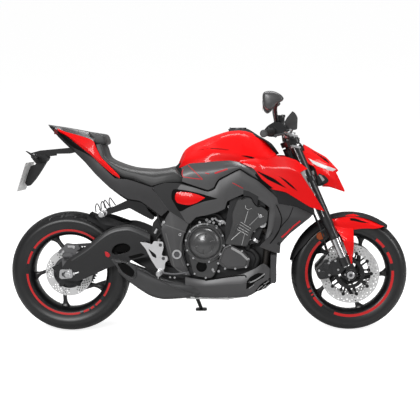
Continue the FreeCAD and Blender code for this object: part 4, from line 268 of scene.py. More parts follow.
def joined(*shapes):
    """Several shapes as one: points end to end, and each one's faces moved up to its own."""
    start = np.cumsum([0] + [len(s[0]) for s in shapes])
    faces = [f + start[n] for n, s in enumerate(shapes) for f in s[1]]
    return np.concatenate([s[0] for s in shapes]), faces


def both_sides(shape):
    """A shape on the right and its mirror image on the left, both facing outwards."""
    return joined(shape, (shape[0] * (1, -1, 1), [f[:, ::-1] for f in shape[1]]))


def build(name, shape, material, body, replaces=(), crease=32, bevel=0):
    """Puts a shape into a mesh, leaned, merged at its seams and shaded smooth up to the crease
    angle in degrees, with edges rounded by the bevel in millimetres where one is given."""
    points, faces = shape
    mesh = bpy.data.meshes.new(name)
    mesh.from_pydata(leaned(points).tolist(), [], [f for g in faces for f in g.tolist()])
    work = bmesh.new()
    work.from_mesh(mesh)
    bmesh.ops.remove_doubles(work, verts=work.verts, dist=seam_gap)
    bmesh.ops.recalc_face_normals(work, faces=work.faces)
    work.to_mesh(mesh)
    work.free()
    mesh.shade_smooth()
    mesh.set_sharp_from_angle(angle=math.radians(crease))
    mesh.materials.append(material)
    piece = bpy.data.objects.new(name, mesh)
    bpy.context.scene.collection.objects.link(piece)
    if bevel:
        edge = piece.modifiers.new("edge", "BEVEL")
        edge.width = bevel / 1000
        edge.segments = edge_steps
        edge.limit_method = "ANGLE"
        edge.angle_limit = math.radians(crease)
        edge.harden_normals = True
    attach(piece, body)
    if replaces:
        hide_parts(*replaces)


def turned(profile, centre, steps=96, start=0, sweep=360):
    """A closed profile of (radius, y) carried round the y axis through a side-view centre
    (x, z), with flat ends where the sweep isn't whole."""
    p = np.asarray(profile, float)
    whole = abs(sweep) >= 360
    a = np.radians(start + sweep * np.arange(steps if whole else steps + 1) / steps)[:, None]
    grid = np.stack([centre[0] + p[:, 0] * np.cos(a), p[:, 1] + 0 * a,
                     centre[1] + p[:, 0] * np.sin(a)], -1)
    faces = [grid_faces(len(a), len(p), whole, True)]
    if not whole:
        ends = np.arange(len(p))
        faces += [ends[None, :], (ends + len(a) * len(p) - len(p))[None, ::-1]]
    return grid.reshape(-1, 3), faces


tyre_rubber = finish("tyre_rubber", (0.013, 0.013, 0.0135), (0.020, 0.020, 0.021), (0.28, 0.40),
                     grain=700, depth=0.00008)
rim_paint = finish("rim_black", (0.006, 0.006, 0.007), (0.009, 0.009, 0.01), (0.3, 0.42),
                   grain=700, coat=0.25, coat_rough=0.2)
stripe_paint = finish("stripe_red", (0.60, 0.006, 0.008), (0.68, 0.01, 0.012), (0.32, 0.4),
                      grain=400, coat=0.3, coat_rough=0.15)

bead_radius = 226
tyre_wall = 9
tyre_steps = 720
belt_share = 0.80
wide_share = 0.42
groove_count = 26
groove_depth = 4
groove_end = 0.06
groove_start = 0.25  # in pitches from the crown
groove_edge = 1.6  # how much steeper than its half width a groove's wall is
wall_power = 1.6
crown_power = 0.92
groove_lines = (  # shift in pitches, start and end as shares of the half width, slant, half width
    (0, 0.10, 0.62, 1.25, 3.2), (0.5, 0.42, 0.90, 0.8, 2.8))


def tyre_shape(centre, radius, half, bead_half):
    """A closed section carried round the axle: round crown, flat walls, inner face. Grooves sink
    where the angle along a slanting line from the crown comes within half a groove's width."""
    t = np.linspace(-1, 1, 61)
    wide_radius = bead_radius + (radius - bead_radius) * wide_share
    crown = np.abs(t) <= belt_share
    u = np.clip(t / belt_share, -1, 1) * math.pi / 2
    w = np.clip((np.abs(t) - belt_share) / (1 - belt_share), 0, 1)
    y = np.where(crown, half * np.sin(u),
                 np.sign(t) * (half - (half - bead_half) * w ** wall_power))
    r = np.where(crown, wide_radius + (radius - wide_radius) * np.cos(u) ** crown_power,
                 wide_radius - (wide_radius - bead_radius) * w)
    inner_r = np.maximum(r - tyre_wall, bead_radius)[::-1]
    inner_y = (y * (half - tyre_wall) / half)[::-1]
    a = np.linspace(0, 2 * math.pi, tyre_steps, endpoint=False)[:, None]
    pitch = 2 * math.pi / groove_count
    out = np.abs(y) / half
    depth = 0
    for shift, near, far, slant, wide in groove_lines:
        line = (np.sign(y) * groove_start + shift + slant * out) * pitch
        off = np.abs((a - line + pitch / 2) % pitch - pitch / 2) * radius
        span = (np.clip((out - near) / groove_end, 0, 1)
                * np.clip((far - out) / groove_end, 0, 1))
        depth = np.maximum(depth, np.clip(groove_edge - off / wide, 0, 1) * span)
    outer_r = r - groove_depth * depth * crown
    ring_r = np.concatenate([outer_r, np.repeat(inner_r[None], tyre_steps, 0)], 1)
    ring_y = np.concatenate([y, inner_y])
    grid = np.stack([centre[0] + ring_r * np.cos(a), ring_y + 0 * ring_r,
                     centre[1] + ring_r * np.sin(a)], -1)
    return grid.reshape(-1, 3), [grid_faces(tyre_steps, len(ring_y), True, True)]


build("rear_tyre_tread", tyre_shape(rear_centre, rear_radius, 88, rear_rim_half),
      tyre_rubber, "rear_wheel", ["rear_tyre"], crease=40)
build("front_tyre_tread", tyre_shape(front_centre, front_radius, 60, 53),
      tyre_rubber, "front_wheel", ["front_tyre"], crease=40)

spoke_count = 5
spoke_lean = math.radians(13)
spoke_reach = 197
spoke_halves = (27, 13)  # thickness at the hub and at the rim
spoke_wide, spoke_waist, spoke_flare = 15.5, 6, 19  # width at the hub, less at half way, more out
flare_start = 0.78
boss_start = 0.85
boss_height = 9
spoke_corner = 0.55


def spoke_shape(centre, tip_angle, rows=25, columns=20):
    """A rounded box section carried from the hub out to the rim along a line that leans by the
    spoke lean: narrow at mid length, wide at the root and flared where it meets the rim."""
    s = np.linspace(0, 1, rows)[:, None]
    c = np.linspace(0, 2 * math.pi, columns, endpoint=False)
    angle = tip_angle + spoke_lean
    out = np.array([math.cos(angle), 0, math.sin(angle)])
    side = np.array([-math.sin(angle), 0, math.cos(angle)])
    tip = np.array([centre[0] + spoke_reach * math.cos(tip_angle), 0,
                    centre[1] + spoke_reach * math.sin(tip_angle)])
    reach = spoke_reach * math.cos(spoke_lean)
    root, end = spoke_halves
    flare = np.clip((s - flare_start) / (1 - flare_start), 0, 1) ** 2.2
    boss = np.clip((s - boss_start) / (1 - boss_start), 0, 1) ** 2
    wide = spoke_wide - spoke_waist * np.clip(s / 0.5, 0, 1) + spoke_flare * flare
    thick = root + (end - root) * s + boss_height * boss
    ring_a, ring_b = (np.sign(v) * np.abs(v) ** spoke_corner for v in (np.cos(c), np.sin(c)))
    middle = tip - out * reach * (1 - s)[..., None]
    return capped(middle + side * (wide * ring_a)[..., None]
                  + np.array([0, 1, 0]) * (thick * ring_b)[..., None])


def rim_shape(centre, half, hub_half, first_angle):
    """The barrel's closed section turned about the axle, the spokes, and the stepped hub."""
    barrel = [(232, half), (236, half - 2), (236, half - 6), (226, half - 8), (219, half - 22),
              (206, half - 34), (204, -half + 34), (219, -half + 22), (226, -half + 8),
              (236, -half + 6), (236, -half + 2), (232, -half), (214, -half + 3),
              (207, -half + 9), (197, -half + 22), (192, -half * 0.35), (191, 0),
              (192, half * 0.35), (197, half - 22), (207, half - 9), (214, half - 3)]
    side = [(16, hub_half), (38, hub_half), (41, hub_half - 3), (42, hub_half - 16),
            (34, hub_half - 26)]
    hub = side + [(32, 0)] + [(r, -y) for r, y in side[::-1]]
    spokes = [spoke_shape(centre, math.radians(first_angle + 360 / spoke_count * n))
              for n in range(spoke_count)]
    return joined(turned(barrel, centre, 160), turned(hub, centre, 64), *spokes)


build("rear_rim_cast", rim_shape(rear_centre, rear_rim_half, 60, 43.5), rim_paint,
      "rear_wheel", ["rear_rim"], crease=38)
build("front_rim_cast", rim_shape(front_centre, front_rim_half, 62, -1.3), rim_paint,
      "front_wheel", ["front_rim"], crease=38)


def stripe_shape(centre, half, arcs):
    """Thin arcs of a flat ring just proud of the rim's faces, the same on both sides."""
    band = [(231.8, -half - 0.4), (231.8, -half + 1), (215.5, -half + 3.4), (215.5, -half + 1.8)]
    return both_sides(joined(*[turned(band, centre, max(6, int((b - a) / 3)), a, b - a)
                               for a, b in arcs]))


rear_arcs = ((52, 145), (150, 168), (182, 284), (289, 297), (300, 305), (308, 318), (325, 345))
front_arcs = ((132, 200), (203, 206), (209, 211), (214, 230), (249, 363), (373, 389), (397, 412))
build("rear_rim_stripes", stripe_shape(rear_centre, rear_rim_half, rear_arcs), stripe_paint,
      "rear_wheel")
build("front_rim_stripes", stripe_shape(front_centre, front_rim_half, front_arcs), stripe_paint,
      "front_wheel")

# Fuel tank: pressed steel with sharp folds, wet red lacquer over it, drawn from rails
# that run from the seat to the neck, the top one on the centre line.
def refined(net, times, smooth):
    """Points between rows of a net: a straight blend, mixed by the share smooth with the cubic
    that takes each row's slope from its two neighbours (Catmull-Rom)."""
    n = len(net)
    t = np.arange((n - 1) * times + 1) / times
    i = np.minimum(t.astype(int), n - 2)
    f = (t - i).reshape((-1,) + (1,) * (net.ndim - 1))
    ahead, behind = net[np.minimum(i + 2, n - 1)], net[np.maximum(i - 1, 0)]
    a, b = net[i], net[i + 1]
    first, last = (i == 0).reshape(f.shape), (i == n - 2).reshape(f.shape)
    slope_a = np.where(first, b - a, (b - behind) / 2)
    slope_b = np.where(last, b - a, (ahead - a) / 2)
    cubic = ((2 * f**3 - 3 * f**2 + 1) * a + (f**3 - 2 * f**2 + f) * slope_a
             + (3 * f**2 - 2 * f**3) * b + (f**3 - f**2) * slope_b)
    return (1 - smooth) * ((1 - f) * a + f * b) + smooth * cubic


def skin(rails, along=6, across=6, smooth_along=0.8, smooth_across=0.5, crown=0):
    """Rails of (x, z, distance out) on the right side as a fine grid, with an extra crown that
    rises as the sine of the way across."""
    net = np.array(rails, float)[..., [0, 2, 1]] * (1, -1, 1)
    net = refined(net, across, smooth_across)
    net = refined(net.swapaxes(0, 1), along, smooth_along).swapaxes(0, 1)
    v = np.linspace(0, 1, len(net))[:, None]
    net[..., 1] -= crown * np.sin(math.pi * v)
    return net


def over_top(rails):
    """Right-hand rails from the centre line outwards, carried on over to the left side."""
    left = [[(x, z, -y) for x, z, y in rail] for rail in rails]
    return left[:0:-1] + list(rails)


def walled(outer, inner):
    """A closed sheet: an outer grid, an inner one, and a band round their edges."""
    rows, columns = outer.shape[:2]
    faces = grid_faces(rows, columns)
    count = rows * columns
    edge = np.concatenate([np.arange(columns), np.arange(1, rows) * columns + columns - 1,
                           (rows - 1) * columns + np.arange(columns - 2, -1, -1),
                           np.arange(rows - 2, 0, -1) * columns])
    ahead = np.roll(edge, -1)
    band = np.stack([edge, edge + count, ahead + count, ahead], -1)
    points = np.concatenate([outer.reshape(-1, 3), inner.reshape(-1, 3)])
    return points, [faces[:, ::-1], faces + count, band]


def side_sheet(outer, wall=3):
    """A sheet of even wall under an outer grid on the right side, and its mirror image."""
    return both_sides(walled(outer, outer + (0, wall, 0)))


def side_panel(rails, wall=3, **how):
    """A sheet from rails on the right side, and its mirror image."""
    return side_sheet(skin(rails, **how), wall)


inner_share = 0.97


def roof_panel(rails, drop=4, **how):
    """A walled sheet from rails that starts at the centre line and covers both sides."""
    outer = skin(over_top(rails), **how)
    return walled(outer, outer * (1, inner_share, 1) - (0, 0, drop))


red_lacquer = finish("red_lacquer", (0.82, 0.0030, 0.0040), (0.92, 0.0050, 0.0058),
                     (0.34, 0.42), grain=1200, depth=0.00001, coat=0.3, coat_rough=0.06,
                     shine=0.12)
panel_grey = finish("satin_grey_panels", (0.092, 0.091, 0.093), (0.106, 0.105, 0.107),
                    (0.30, 0.40), grain=1100, depth=0.00002, metal=0.4)
panel_dark = finish("dark_grey_panels", (0.056, 0.055, 0.057), (0.068, 0.067, 0.069),
                    (0.30, 0.40), grain=1100, depth=0.00002, metal=0.4)
moulded_black = finish("moulded_black", (0.011, 0.011, 0.012), (0.016, 0.016, 0.017),
                       (0.48, 0.62), grain=1500, depth=0.00009, shine=0.3)

tank_rails = [
    [(575, 868, 0), (610, 940, 0), (650, 972, 0), (710, 997, 0), (770, 1020, 0), (840, 1041, 0),
     (900, 1046, 0), (960, 1034, 0), (1020, 998, 0), (1078, 938, 0)],
    [(574, 866, 28), (608, 936, 40), (648, 967, 48), (708, 992, 54), (768, 1015, 58),
     (840, 1037, 62), (900, 1042, 62), (960, 1030, 60), (1020, 992, 54), (1078, 930, 40)],
    [(596, 889, 62), (620, 928, 80), (657, 947, 90), (709, 965, 98), (754, 982, 102),
     (806, 1006, 106), (863, 1018, 106), (914, 1020, 102), (978, 994, 90), (1084, 921, 60)],
    [(589, 867, 84), (613, 896, 110), (659, 909, 126), (717, 918, 136), (768, 939, 142),
     (832, 933, 146), (889, 925, 146), (933, 919, 140), (990, 910, 128), (1104, 891, 96)],
    [(586, 859, 88), (610, 865, 120), (659, 879, 138), (717, 883, 146), (768, 887, 148),
     (825, 889, 149), (876, 887, 148), (920, 878, 146), (977, 860, 142), (1040, 854, 130)]]
build("tank_shell", roof_panel(tank_rails, along=8, across=6, smooth_along=0.9,
                               smooth_across=0.7), red_lacquer, "root", ["fuel_tank"],
      crease=50)

# Tank top cover: a grained black moulding along the tank's ridge, from the filler down to the
# neck, clipped on over the seam between the tank's two pressed halves.
tank_cover_rails = [
    [(838, 1052, 0), (880, 1058, 0), (939, 1052, 0), (997, 1016, 0), (1061, 976, 0),
     (1101, 924, 0)],
    [(842, 1046, 34), (884, 1049, 46), (942, 1040, 52), (994, 1014, 52), (1054, 972, 46),
     (1090, 921, 34)],
    [(843, 1042, 48), (888, 1038, 62), (962, 1020, 70), (1003, 1004, 72), (1042, 979, 66),
     (1081, 917, 48)]]
build("tank_top_cover", roof_panel(tank_cover_rails, along=8, across=6, smooth_along=0.9),
      moulded_black, "root", ["tank_cover"], crease=40, bevel=1.2)

# Knee panels: satin grey mouldings that close the room between the tank's edge and the side
# covers, hooked in under the tank and screwed to the spars.
knee_surface = skin([
    [(602, 859, 150), (647, 879, 150), (724, 884, 150), (774, 889, 150), (851, 892, 151),
     (908, 880, 154), (977, 855, 166)],
    [(612, 822, 162), (660, 834, 166), (730, 833, 168), (781, 842, 169), (845, 857, 169),
     (908, 863, 169), (986, 818, 172)],
    [(606, 789, 166), (660, 770, 170), (736, 745, 171), (771, 760, 171), (795, 797, 171),
     (901, 852, 171), (997, 795, 172)]],
    along=8, across=8, smooth_along=0.3, crown=3)
build("knee_panels", side_sheet(knee_surface), panel_grey, "root",
      ["side_covers"], crease=34, bevel=1)

# Side covers: one large satin grey moulding on each side over the frame, from the seat to the
# radiator, screwed on, with a deep crescent intake that holds a red insert.
cover_surface = skin([
    [(452, 757, 146), (519, 775, 156), (590, 777, 164), (660, 760, 169), (739, 736, 171),
     (774, 753, 171), (796, 791, 171), (847, 819, 171), (901, 844, 171), (948, 816, 172),
     (995, 789, 172), (1058, 731, 172), (1114, 672, 172), (1111, 615, 171), (1096, 564, 170),
     (1063, 521, 169)],
    [(542, 630, 150), (592, 602, 160), (641, 574, 168), (677, 608, 169), (721, 615, 169),
     (779, 630, 169), (823, 649, 169), (836, 687, 169), (913, 721, 169), (944, 721, 169),
     (1007, 685, 169), (1048, 653, 169), (1046, 615, 169), (1040, 558, 169), (1031, 520, 168),
     (1023, 485, 168)]], along=5, across=10, smooth_along=0.25, smooth_across=1, crown=5)
build("side_cover_shells", side_sheet(cover_surface), panel_grey, "root",
      crease=34, bevel=1)

# Wings: red lacquered mouldings, folded along their length, that run from the tank out past the
# radiator and guide air into it. They are screwed to the tank's front and to the radiator.
wing_surface = skin([
    [(899, 891, 152), (977, 902, 152), (1028, 893, 160), (1078, 910, 168), (1128, 910, 180),
     (1184, 892, 190), (1240, 848, 196)],
    [(900, 888, 156), (977, 885, 166), (1027, 862, 176), (1090, 855, 185), (1140, 849, 196),
     (1174, 840, 204), (1203, 830, 208)],
    [(901, 884, 159), (977, 866, 172), (1027, 825, 180), (1096, 799, 190), (1158, 774, 200),
     (1220, 749, 207), (1268, 726, 211)],
    [(903, 881, 160), (972, 849, 174), (1020, 784, 180), (1064, 746, 186), (1133, 730, 196),
     (1251, 657, 206), (1322, 635, 210)]],
    along=8, across=8, smooth_along=0.35, smooth_across=0.15)
build("wing_shells", side_sheet(wing_surface), red_lacquer, "root",
      ["wing_shrouds"], crease=30, bevel=1.2)

# Seat: moulded foam on a plastic pan under grained vinyl that is stapled round its edge. It is
# narrow at the tank, and a separate pad for a passenger stands up behind it.
vinyl = finish("seat_vinyl", (0.025, 0.025, 0.0255), (0.036, 0.036, 0.0365), (0.38, 0.50),
               grain=260, depth=0.00025, sheen=0.1)
seat_top = [
    (196, 986, 0), (205, 960, 0), (224, 909, 0), (281, 881, 0), (347, 860, 0), (413, 852, 0),
    (472, 849, 0), (521, 854, 0), (564, 860, 0), (594, 827, 0)]
seat_low = [
    (159, 980, 84), (169, 946, 90), (192, 910, 98), (282, 828, 116), (355, 805, 122),
    (401, 785, 128), (452, 766, 132), (517, 779, 136), (587, 784, 132), (610, 795, 128)]


def between(low, top, rise, spread):
    """A rail a share rise of the way up from the low rail to the top one, and spread of the
    low rail's distance out."""
    a, b = np.array(low, float), np.array(top, float)
    rail = a + (b - a) * (rise, rise, 0)
    rail[:, 2] = a[:, 2] * spread
    return rail


seat_rails = [between(seat_low, seat_top, rise, spread) for rise, spread in (
    (1, 0), (0.985, 0.42), (0.90, 0.76), (0.62, 0.96), (0.28, 1))] + [seat_low]
build("rider_seat_cover", roof_panel(seat_rails, drop=8, along=8, across=5, smooth_along=0.9,
                                     smooth_across=1),
      vinyl, "root", ["rider_seat"], crease=50)


def stood(xz, out):
    """Points of (x, z) in space, at a distance out on the right."""
    return np.stack([xz[..., 0], 0 * xz[..., 0] - out, xz[..., 1]], -1)


def cushion(outline, half, roundness, rows):
    """A closed side-view outline carried from the right edge to the left, shrunk towards its
    middle near both edges by (1 - |y / half| ** n) ** (1 / n)."""
    ring = np.array(outline, float)
    closed = np.concatenate([ring[-1:], ring, ring[:2]])
    loop = refined(closed, 6, 1)[6:-6][:-1]
    y = -half * np.cos(np.linspace(0, math.pi, rows))
    size = 0.5 + 0.5 * (1 - np.abs(y / half) ** roundness).clip(0, 1) ** (1 / roundness)
    middle = loop.mean(0)
    return capped(stood(middle + (loop - middle) * size[:, None, None], -y[:, None]))


pad_outline = [
    (113, 1043), (146, 1040), (179, 1036), (202, 1029), (213, 1009), (216, 986), (201, 976),
    (145, 980), (131, 1010)]
build("pillion_pad_cover", cushion(pad_outline, 82, 3.5, 25), vinyl, "root",
      ["pillion_seat"], crease=50)

# Tail: moulded covers round the tail frame, pegged and screwed to each other: a satin grey top
# that ends in a sharp tip, red side panels with a fold, dark flanks and a floor under them.
def moved(rail, rise, spread):
    """A rail moved up, at a share of its distance out."""
    return [(x, z + rise, y * spread) for x, z, y in rail]


tail_top_rails = [
    [(-106, 1087, 0), (-65, 1080, 0), (-19, 1073, 0), (47, 1060, 0), (113, 1047, 0),
     (143, 1042, 0)],
    [(-105, 1086, 3), (-62, 1079, 16), (-12, 1070, 34), (56, 1057, 48), (123, 1043, 56),
     (153, 1038, 60)],
    [(-102, 1083, 6), (-55, 1068, 34), (-9, 1049, 52), (60, 1031, 72), (127, 1010, 88),
     (149, 994, 94)]]
build("tail_top_shell", roof_panel(tail_top_rails, along=8, across=6, smooth_along=0.6,
                                   smooth_across=0.3),
      panel_grey, "root", ["tail_fairing"], crease=34, bevel=1)
red_surface = skin([
    [(-55, 1068, 34), (-9, 1049, 52), (60, 1031, 72), (127, 1010, 88), (149, 994, 94),
     (161, 962, 98), (187, 914, 106), (232, 868, 114), (279, 822, 122)],
    [(-47, 1056, 42), (-1, 1031, 62), (61, 995, 84), (102, 969, 96), (135, 940, 104),
     (168, 907, 110), (204, 882, 116), (243, 846, 121), (282, 814, 125)],
    [(-41, 1046, 38), (5, 1023, 57), (60, 981, 76), (100, 950, 88), (134, 924, 96),
     (173, 888, 104), (206, 859, 111), (242, 829, 117), (283, 806, 122)]],
    smooth_along=0.5, smooth_across=0.1)
build("tail_red_shells", side_sheet(red_surface), red_lacquer, "root",
      ["tail_panels"], crease=30, bevel=1)
tail_side_rails = [
    [(-97, 1081, 22), (-45, 1046, 38), (5, 1019, 57), (60, 979, 76), (100, 945, 88),
     (133, 919, 96), (173, 883, 104), (215, 844, 111), (258, 806, 117)],
    [(-97, 1077, 18), (-47, 1022, 30), (-12, 989, 44), (19, 962, 54), (43, 953, 60),
     (74, 948, 68), (125, 925, 84), (192, 867, 102), (257, 804, 114)]]
build("tail_flanks", side_panel(tail_side_rails, smooth_along=0.5), moulded_black, "root",
      crease=34, bevel=1)
seat_side_rails = [
    [(38, 963, 66), (119, 932, 86), (192, 868, 104), (257, 807, 116), (283, 804, 120),
     (362, 797, 130), (450, 760, 140), (491, 707, 144), (536, 646, 148)],
    [(38, 956, 60), (90, 906, 78), (149, 840, 96), (217, 775, 108), (275, 730, 116),
     (321, 701, 120), (386, 689, 126), (444, 649, 130), (495, 610, 134)]]
side_surface = skin(seat_side_rails, along=8, across=8, smooth_along=0.3, crown=1)
build("seat_side_shells", side_sheet(side_surface), panel_dark, "root",
      ["seat_side_panels"], crease=34, bevel=1)
build("tail_floor", roof_panel([
    moved(tail_side_rails[1], 3, 0), moved(tail_side_rails[1], 3, 0.6), tail_side_rails[1]],
    3, across=3, smooth_along=0.5), moulded_black, "root", crease=34)
build("seat_side_inner", side_panel([
    [(x, z, y - 5) for x, z, y in seat_side_rails[1]], moved(seat_side_rails[1], -16, 0.62)],
    across=3, smooth_along=0.5), moulded_black, "root", crease=34)

# Trim on the panels: thin painted lines, the black gaps where two mouldings meet, painted shade
# in recesses, and inserts clipped into them. All of it follows the surface that it lies on.
def rounded(outline, radius, steps=4):
    """A closed outline whose corners give way to parabolas that start at most the radius from
    them."""
    p = np.array(outline, float)
    back, ahead = np.roll(p, 1, 0) - p, np.roll(p, -1, 0) - p
    ends = []
    for way in (back, ahead):
        length = np.linalg.norm(way, axis=1)[:, None]
        ends.append((p + way / length * np.minimum(radius, 0.45 * length))[:, None])
    t = np.linspace(0, 1, steps)[None, :, None]
    curve = (1 - t) ** 2 * ends[0] + 2 * t * (1 - t) * p[:, None] + t**2 * ends[1]
    return curve.reshape(-1, 2)


def out_at(surface, xz):
    """Where a panel lies at points of (x, z): the mean of the four nearest points of its grid,
    weighed by the inverse square of their distance."""
    flat = surface.reshape(-1, 3)
    gap = ((xz[:, None] - flat[None][..., [0, 2]]) ** 2).sum(-1) + 0.01
    near = np.argpartition(gap, 4, axis=1)[:, :4]
    weigh = 1 / np.take_along_axis(gap, near, 1)
    return (flat[near, 1] * weigh).sum(1) / weigh.sum(1)


def laid(surface, rails, lift=0.8, along=6, across=4, smooth=0.6, crown=0):
    """A thin patch on a panel from rails of (x, z), lifted off it, with a crown that is the
    product of the sines of the ways along and across, and edges sunk into the panel."""
    net = refined(np.array(rails, float), across, 0)
    net = refined(net.swapaxes(0, 1), along, smooth).swapaxes(0, 1)
    y = out_at(surface, net.reshape(-1, 2)).reshape(net.shape[:2])
    v = np.sin(math.pi * np.linspace(0, 1, net.shape[0]))[:, None]
    u = np.sin(math.pi * np.linspace(0, 1, net.shape[1]))[None]
    outer = np.stack([net[..., 0], y - lift - crown * u * v, net[..., 1]], -1)
    inner = outer * (1, 0, 1) + np.stack([0 * y, y + 1, 0 * y], -1)
    return both_sides(walled(outer, inner))


def line_on(surface, points, width, lift=0.8, smooth=1):
    """A narrow strip of even width along a line on a panel."""
    line = refined(np.array(points, float), 5, smooth)
    way = np.gradient(line, axis=0)
    side = np.stack([-way[:, 1], way[:, 0]], -1) / np.linalg.norm(way, axis=1)[:, None]
    return laid(surface, [line + side * width / 2, line - side * width / 2], lift, 1, 2, 0)


def stacked(*grids):
    """The points of several surfaces as one cloud."""
    return np.concatenate([grid.reshape(-1, 3) for grid in grids])


def rail_at(points, out):
    """A rail from points of (x, z) and how far out they lie: one distance, or one for each."""
    outs = out if isinstance(out, tuple) else (out,) * len(points)
    return [(x, z, y) for (x, z), y in zip(points, outs)]


# Near-black for the gaps where mouldings meet, and also painted shade: the dark patches in
# recesses, the silencer's mouth, the swingarm's wells and along the shroud's folds.
gap_black_and_painted_shade = finish("gap_black_and_painted_shade", (0.002, 0.002, 0.002), (0.003, 0.003, 0.003),
                   (0.6, 0.75), shine=0.1)
accent_red = finish("accent_red", (0.52, 0.006, 0.014), (0.62, 0.01, 0.018), (0.36, 0.44))
accent_silver = finish("accent_silver", (0.40, 0.40, 0.40), (0.48, 0.48, 0.48),
                       (0.32, 0.4), metal=0.5)

# A near-black patch laid on the cover round the insert: painted shade where the intake is
# recessed.
build("intake_recess_painted_shade", laid(cover_surface, [
    [(532, 740), (571, 750), (630, 743), (689, 730), (740, 715), (785, 701)],
    [(532, 738), (560, 687), (593, 637), (641, 659), (716, 687), (785, 700)]], 2.4),
      gap_black_and_painted_shade, "root", crease=30)
build("intake_insert", laid(cover_surface, [
    [(570, 716), (578, 734), (610, 736), (646, 733), (690, 721), (724, 706)],
    [(570, 700), (580, 682), (612, 672), (645, 670), (682, 681), (724, 706)]], 3.4, crown=4),
      red_lacquer, "root", ["intake_inserts"], crease=40)
both_panels = stacked(cover_surface, knee_surface)
build("cover_seams", joined(
    line_on(both_panels, [
        (454, 766), (520, 782), (590, 783), (659, 764), (735, 740), (774, 754), (771, 756),
        (793, 795), (844, 822), (901, 849)], 5, 1.6),
    line_on(both_panels, [(901, 849), (948, 817), (995, 789), (1058, 734)], 5, 2.2),
    line_on(side_surface, [(451, 755), (484, 717), (512, 678), (541, 642)], 5, 1.6),
    line_on(side_surface, [(189, 901), (233, 853), (283, 817), (361, 793), (444, 764)], 6, 2)),
      gap_black_and_painted_shade, "root")
build("cover_lines", joined(
    line_on(knee_surface, [(638, 870), (673, 837), (711, 800)], 4, 1.2, 0),
    line_on(knee_surface, [(711, 799), (660, 805), (612, 813)], 4, 1.2, 0),
    line_on(knee_surface, [(612, 812), (607, 831), (613, 850)], 4, 1.2),
    line_on(knee_surface, [(773, 829), (806, 840), (838, 850)], 8, 1.2),
    line_on(knee_surface, [(724, 832), (746, 826)], 4, 1.2),
    line_on(cover_surface, [(862, 780), (888, 767), (916, 751)], 3.5)),
      accent_red, "root")
build("wing_slashes", joined(
    laid(wing_surface, [[(988, 839), (1040, 815), (1077, 796), (1136, 750)],
                        [(992, 832), (1039, 797), (1074, 779), (1136, 750)]]),
    laid(wing_surface, [[(1096, 813), (1133, 791), (1164, 764), (1190, 736)],
                        [(1096, 813), (1127, 785), (1158, 758), (1190, 736)]]),
    laid(wing_surface, [[(980, 826), (1008, 800), (1039, 774), (1069, 750)],
                        [(977, 819), (1002, 786), (1033, 758), (1069, 750)]])),
      gap_black_and_painted_shade, "root")
build("wing_end_strips", side_panel([
    rail_at([(1228, 842), (1234, 798), (1255, 757), (1282, 716)], 198),
    rail_at([(1202, 828), (1218, 792), (1240, 753), (1271, 720)], 196)],
    across=2), accent_silver, "root")
tank_surface = skin(tank_rails[2:], along=8, across=6, smooth_along=0.9, smooth_across=0.7)
build("tank_slots", joined(
    laid(tank_surface, [[(909, 917), (933, 915), (960, 910), (990, 898)],
                        [(909, 916), (933, 909), (960, 901), (990, 898)]], 1.6),
    laid(tank_surface, [[(691, 947), (749, 956), (800, 953), (844, 948)],
                        [(691, 946), (749, 953), (800, 950), (844, 947)]], 1.2)),
      gap_black_and_painted_shade, "root")
build("tail_slot", laid(red_surface, [
    [(-47, 1052), (17, 1002), (62, 969), (126, 927)],
    [(-52, 1045), (10, 987), (55, 958), (126, 927)]]),
      gap_black_and_painted_shade, "root")

# Nose: a red lacquered beak over the lamp and a red chin below it, screwed to a bracket on the
# yokes, with white daylight strips let into the beak and a dark lamp unit between them.
def plate(outline, near, far, holes=(), radius=0):
    """A flat plate on the right side: an outline of (x, z) with holes in it, between two
    distances out from the centre plane."""
    loops = [rounded(o, radius) if radius else np.array(o, float) for o in (outline, *holes)]
    caps = np.array(tessellate_polygon([[Vector((x, z, 0)) for x, z in loop] for loop in loops]))
    xz = np.concatenate(loops)
    sheets = [stood(xz, out) for out in (near, far)]
    faces = [caps, caps[:, ::-1] + len(xz)]
    start = 0
    for loop in loops:
        a = np.arange(len(loop)) + start
        b = np.concatenate([a[1:], a[:1]])
        faces.append(np.stack([a, b, b + len(xz), a + len(xz)], -1))
        start += len(loop)
    return np.concatenate(sheets), faces


def circle(centre, radius, steps):
    """A closed ring of (x, z)."""
    a = 2 * math.pi * np.arange(steps) / steps
    return np.stack([centre[0] + radius * np.cos(a), centre[1] + radius * np.sin(a)], -1)


def square_to(way):
    """Two unit vectors square to a direction and to each other."""
    way = np.array(way, float) / np.linalg.norm(way)
    first = np.cross(way, (0, 0, 1) if abs(way[2]) < 0.9 else (1, 0, 0))
    first /= np.linalg.norm(first)
    return way, first, np.cross(way, first)


def spun(profile, base, way, steps=24):
    """A profile of (radius, distance along) turned about an axis through a base point."""
    way, first, second = square_to(way)
    a = 2 * math.pi * np.arange(steps) / steps
    r, s = np.array(profile, float).T[..., None]
    ring = np.cos(a)[None, :, None] * first + np.sin(a)[None, :, None] * second
    grid = np.array(base, float) + s[..., None] * way + r[..., None] * ring
    return grid.reshape(-1, 3), [grid_faces(len(profile), steps, False, True)]


def tube(path, radius, sides=10, along=6, smooth=1):
    """A round bar with closed ends along a smooth line of (x, y, z); where the points have a
    fourth number, it is the bar's own radius there."""
    net = refined(np.array(path, float), along, smooth)
    points = net[:, :3]
    radii = net[:, 3] if net.shape[1] > 3 else np.full(len(net), float(radius))
    ways = np.gradient(points, axis=0)
    ways /= np.linalg.norm(ways, axis=1)[:, None]
    first = square_to(ways[0])[1]
    rings = []
    a = 2 * math.pi * np.arange(sides) / sides
    for point, way, r in zip(points, ways, radii):
        first = first - way * first.dot(way)
        first /= np.linalg.norm(first)
        second = np.cross(way, first)
        ring = np.cos(a)[:, None] * first + np.sin(a)[:, None] * second
        rings.append(point + r * ring)
    rings = [np.repeat(points[:1], sides, 0)] + rings + [np.repeat(points[-1:], sides, 0)]
    return np.concatenate(rings), [grid_faces(len(rings), sides, False, True)]


outward = (0, -1, 0)


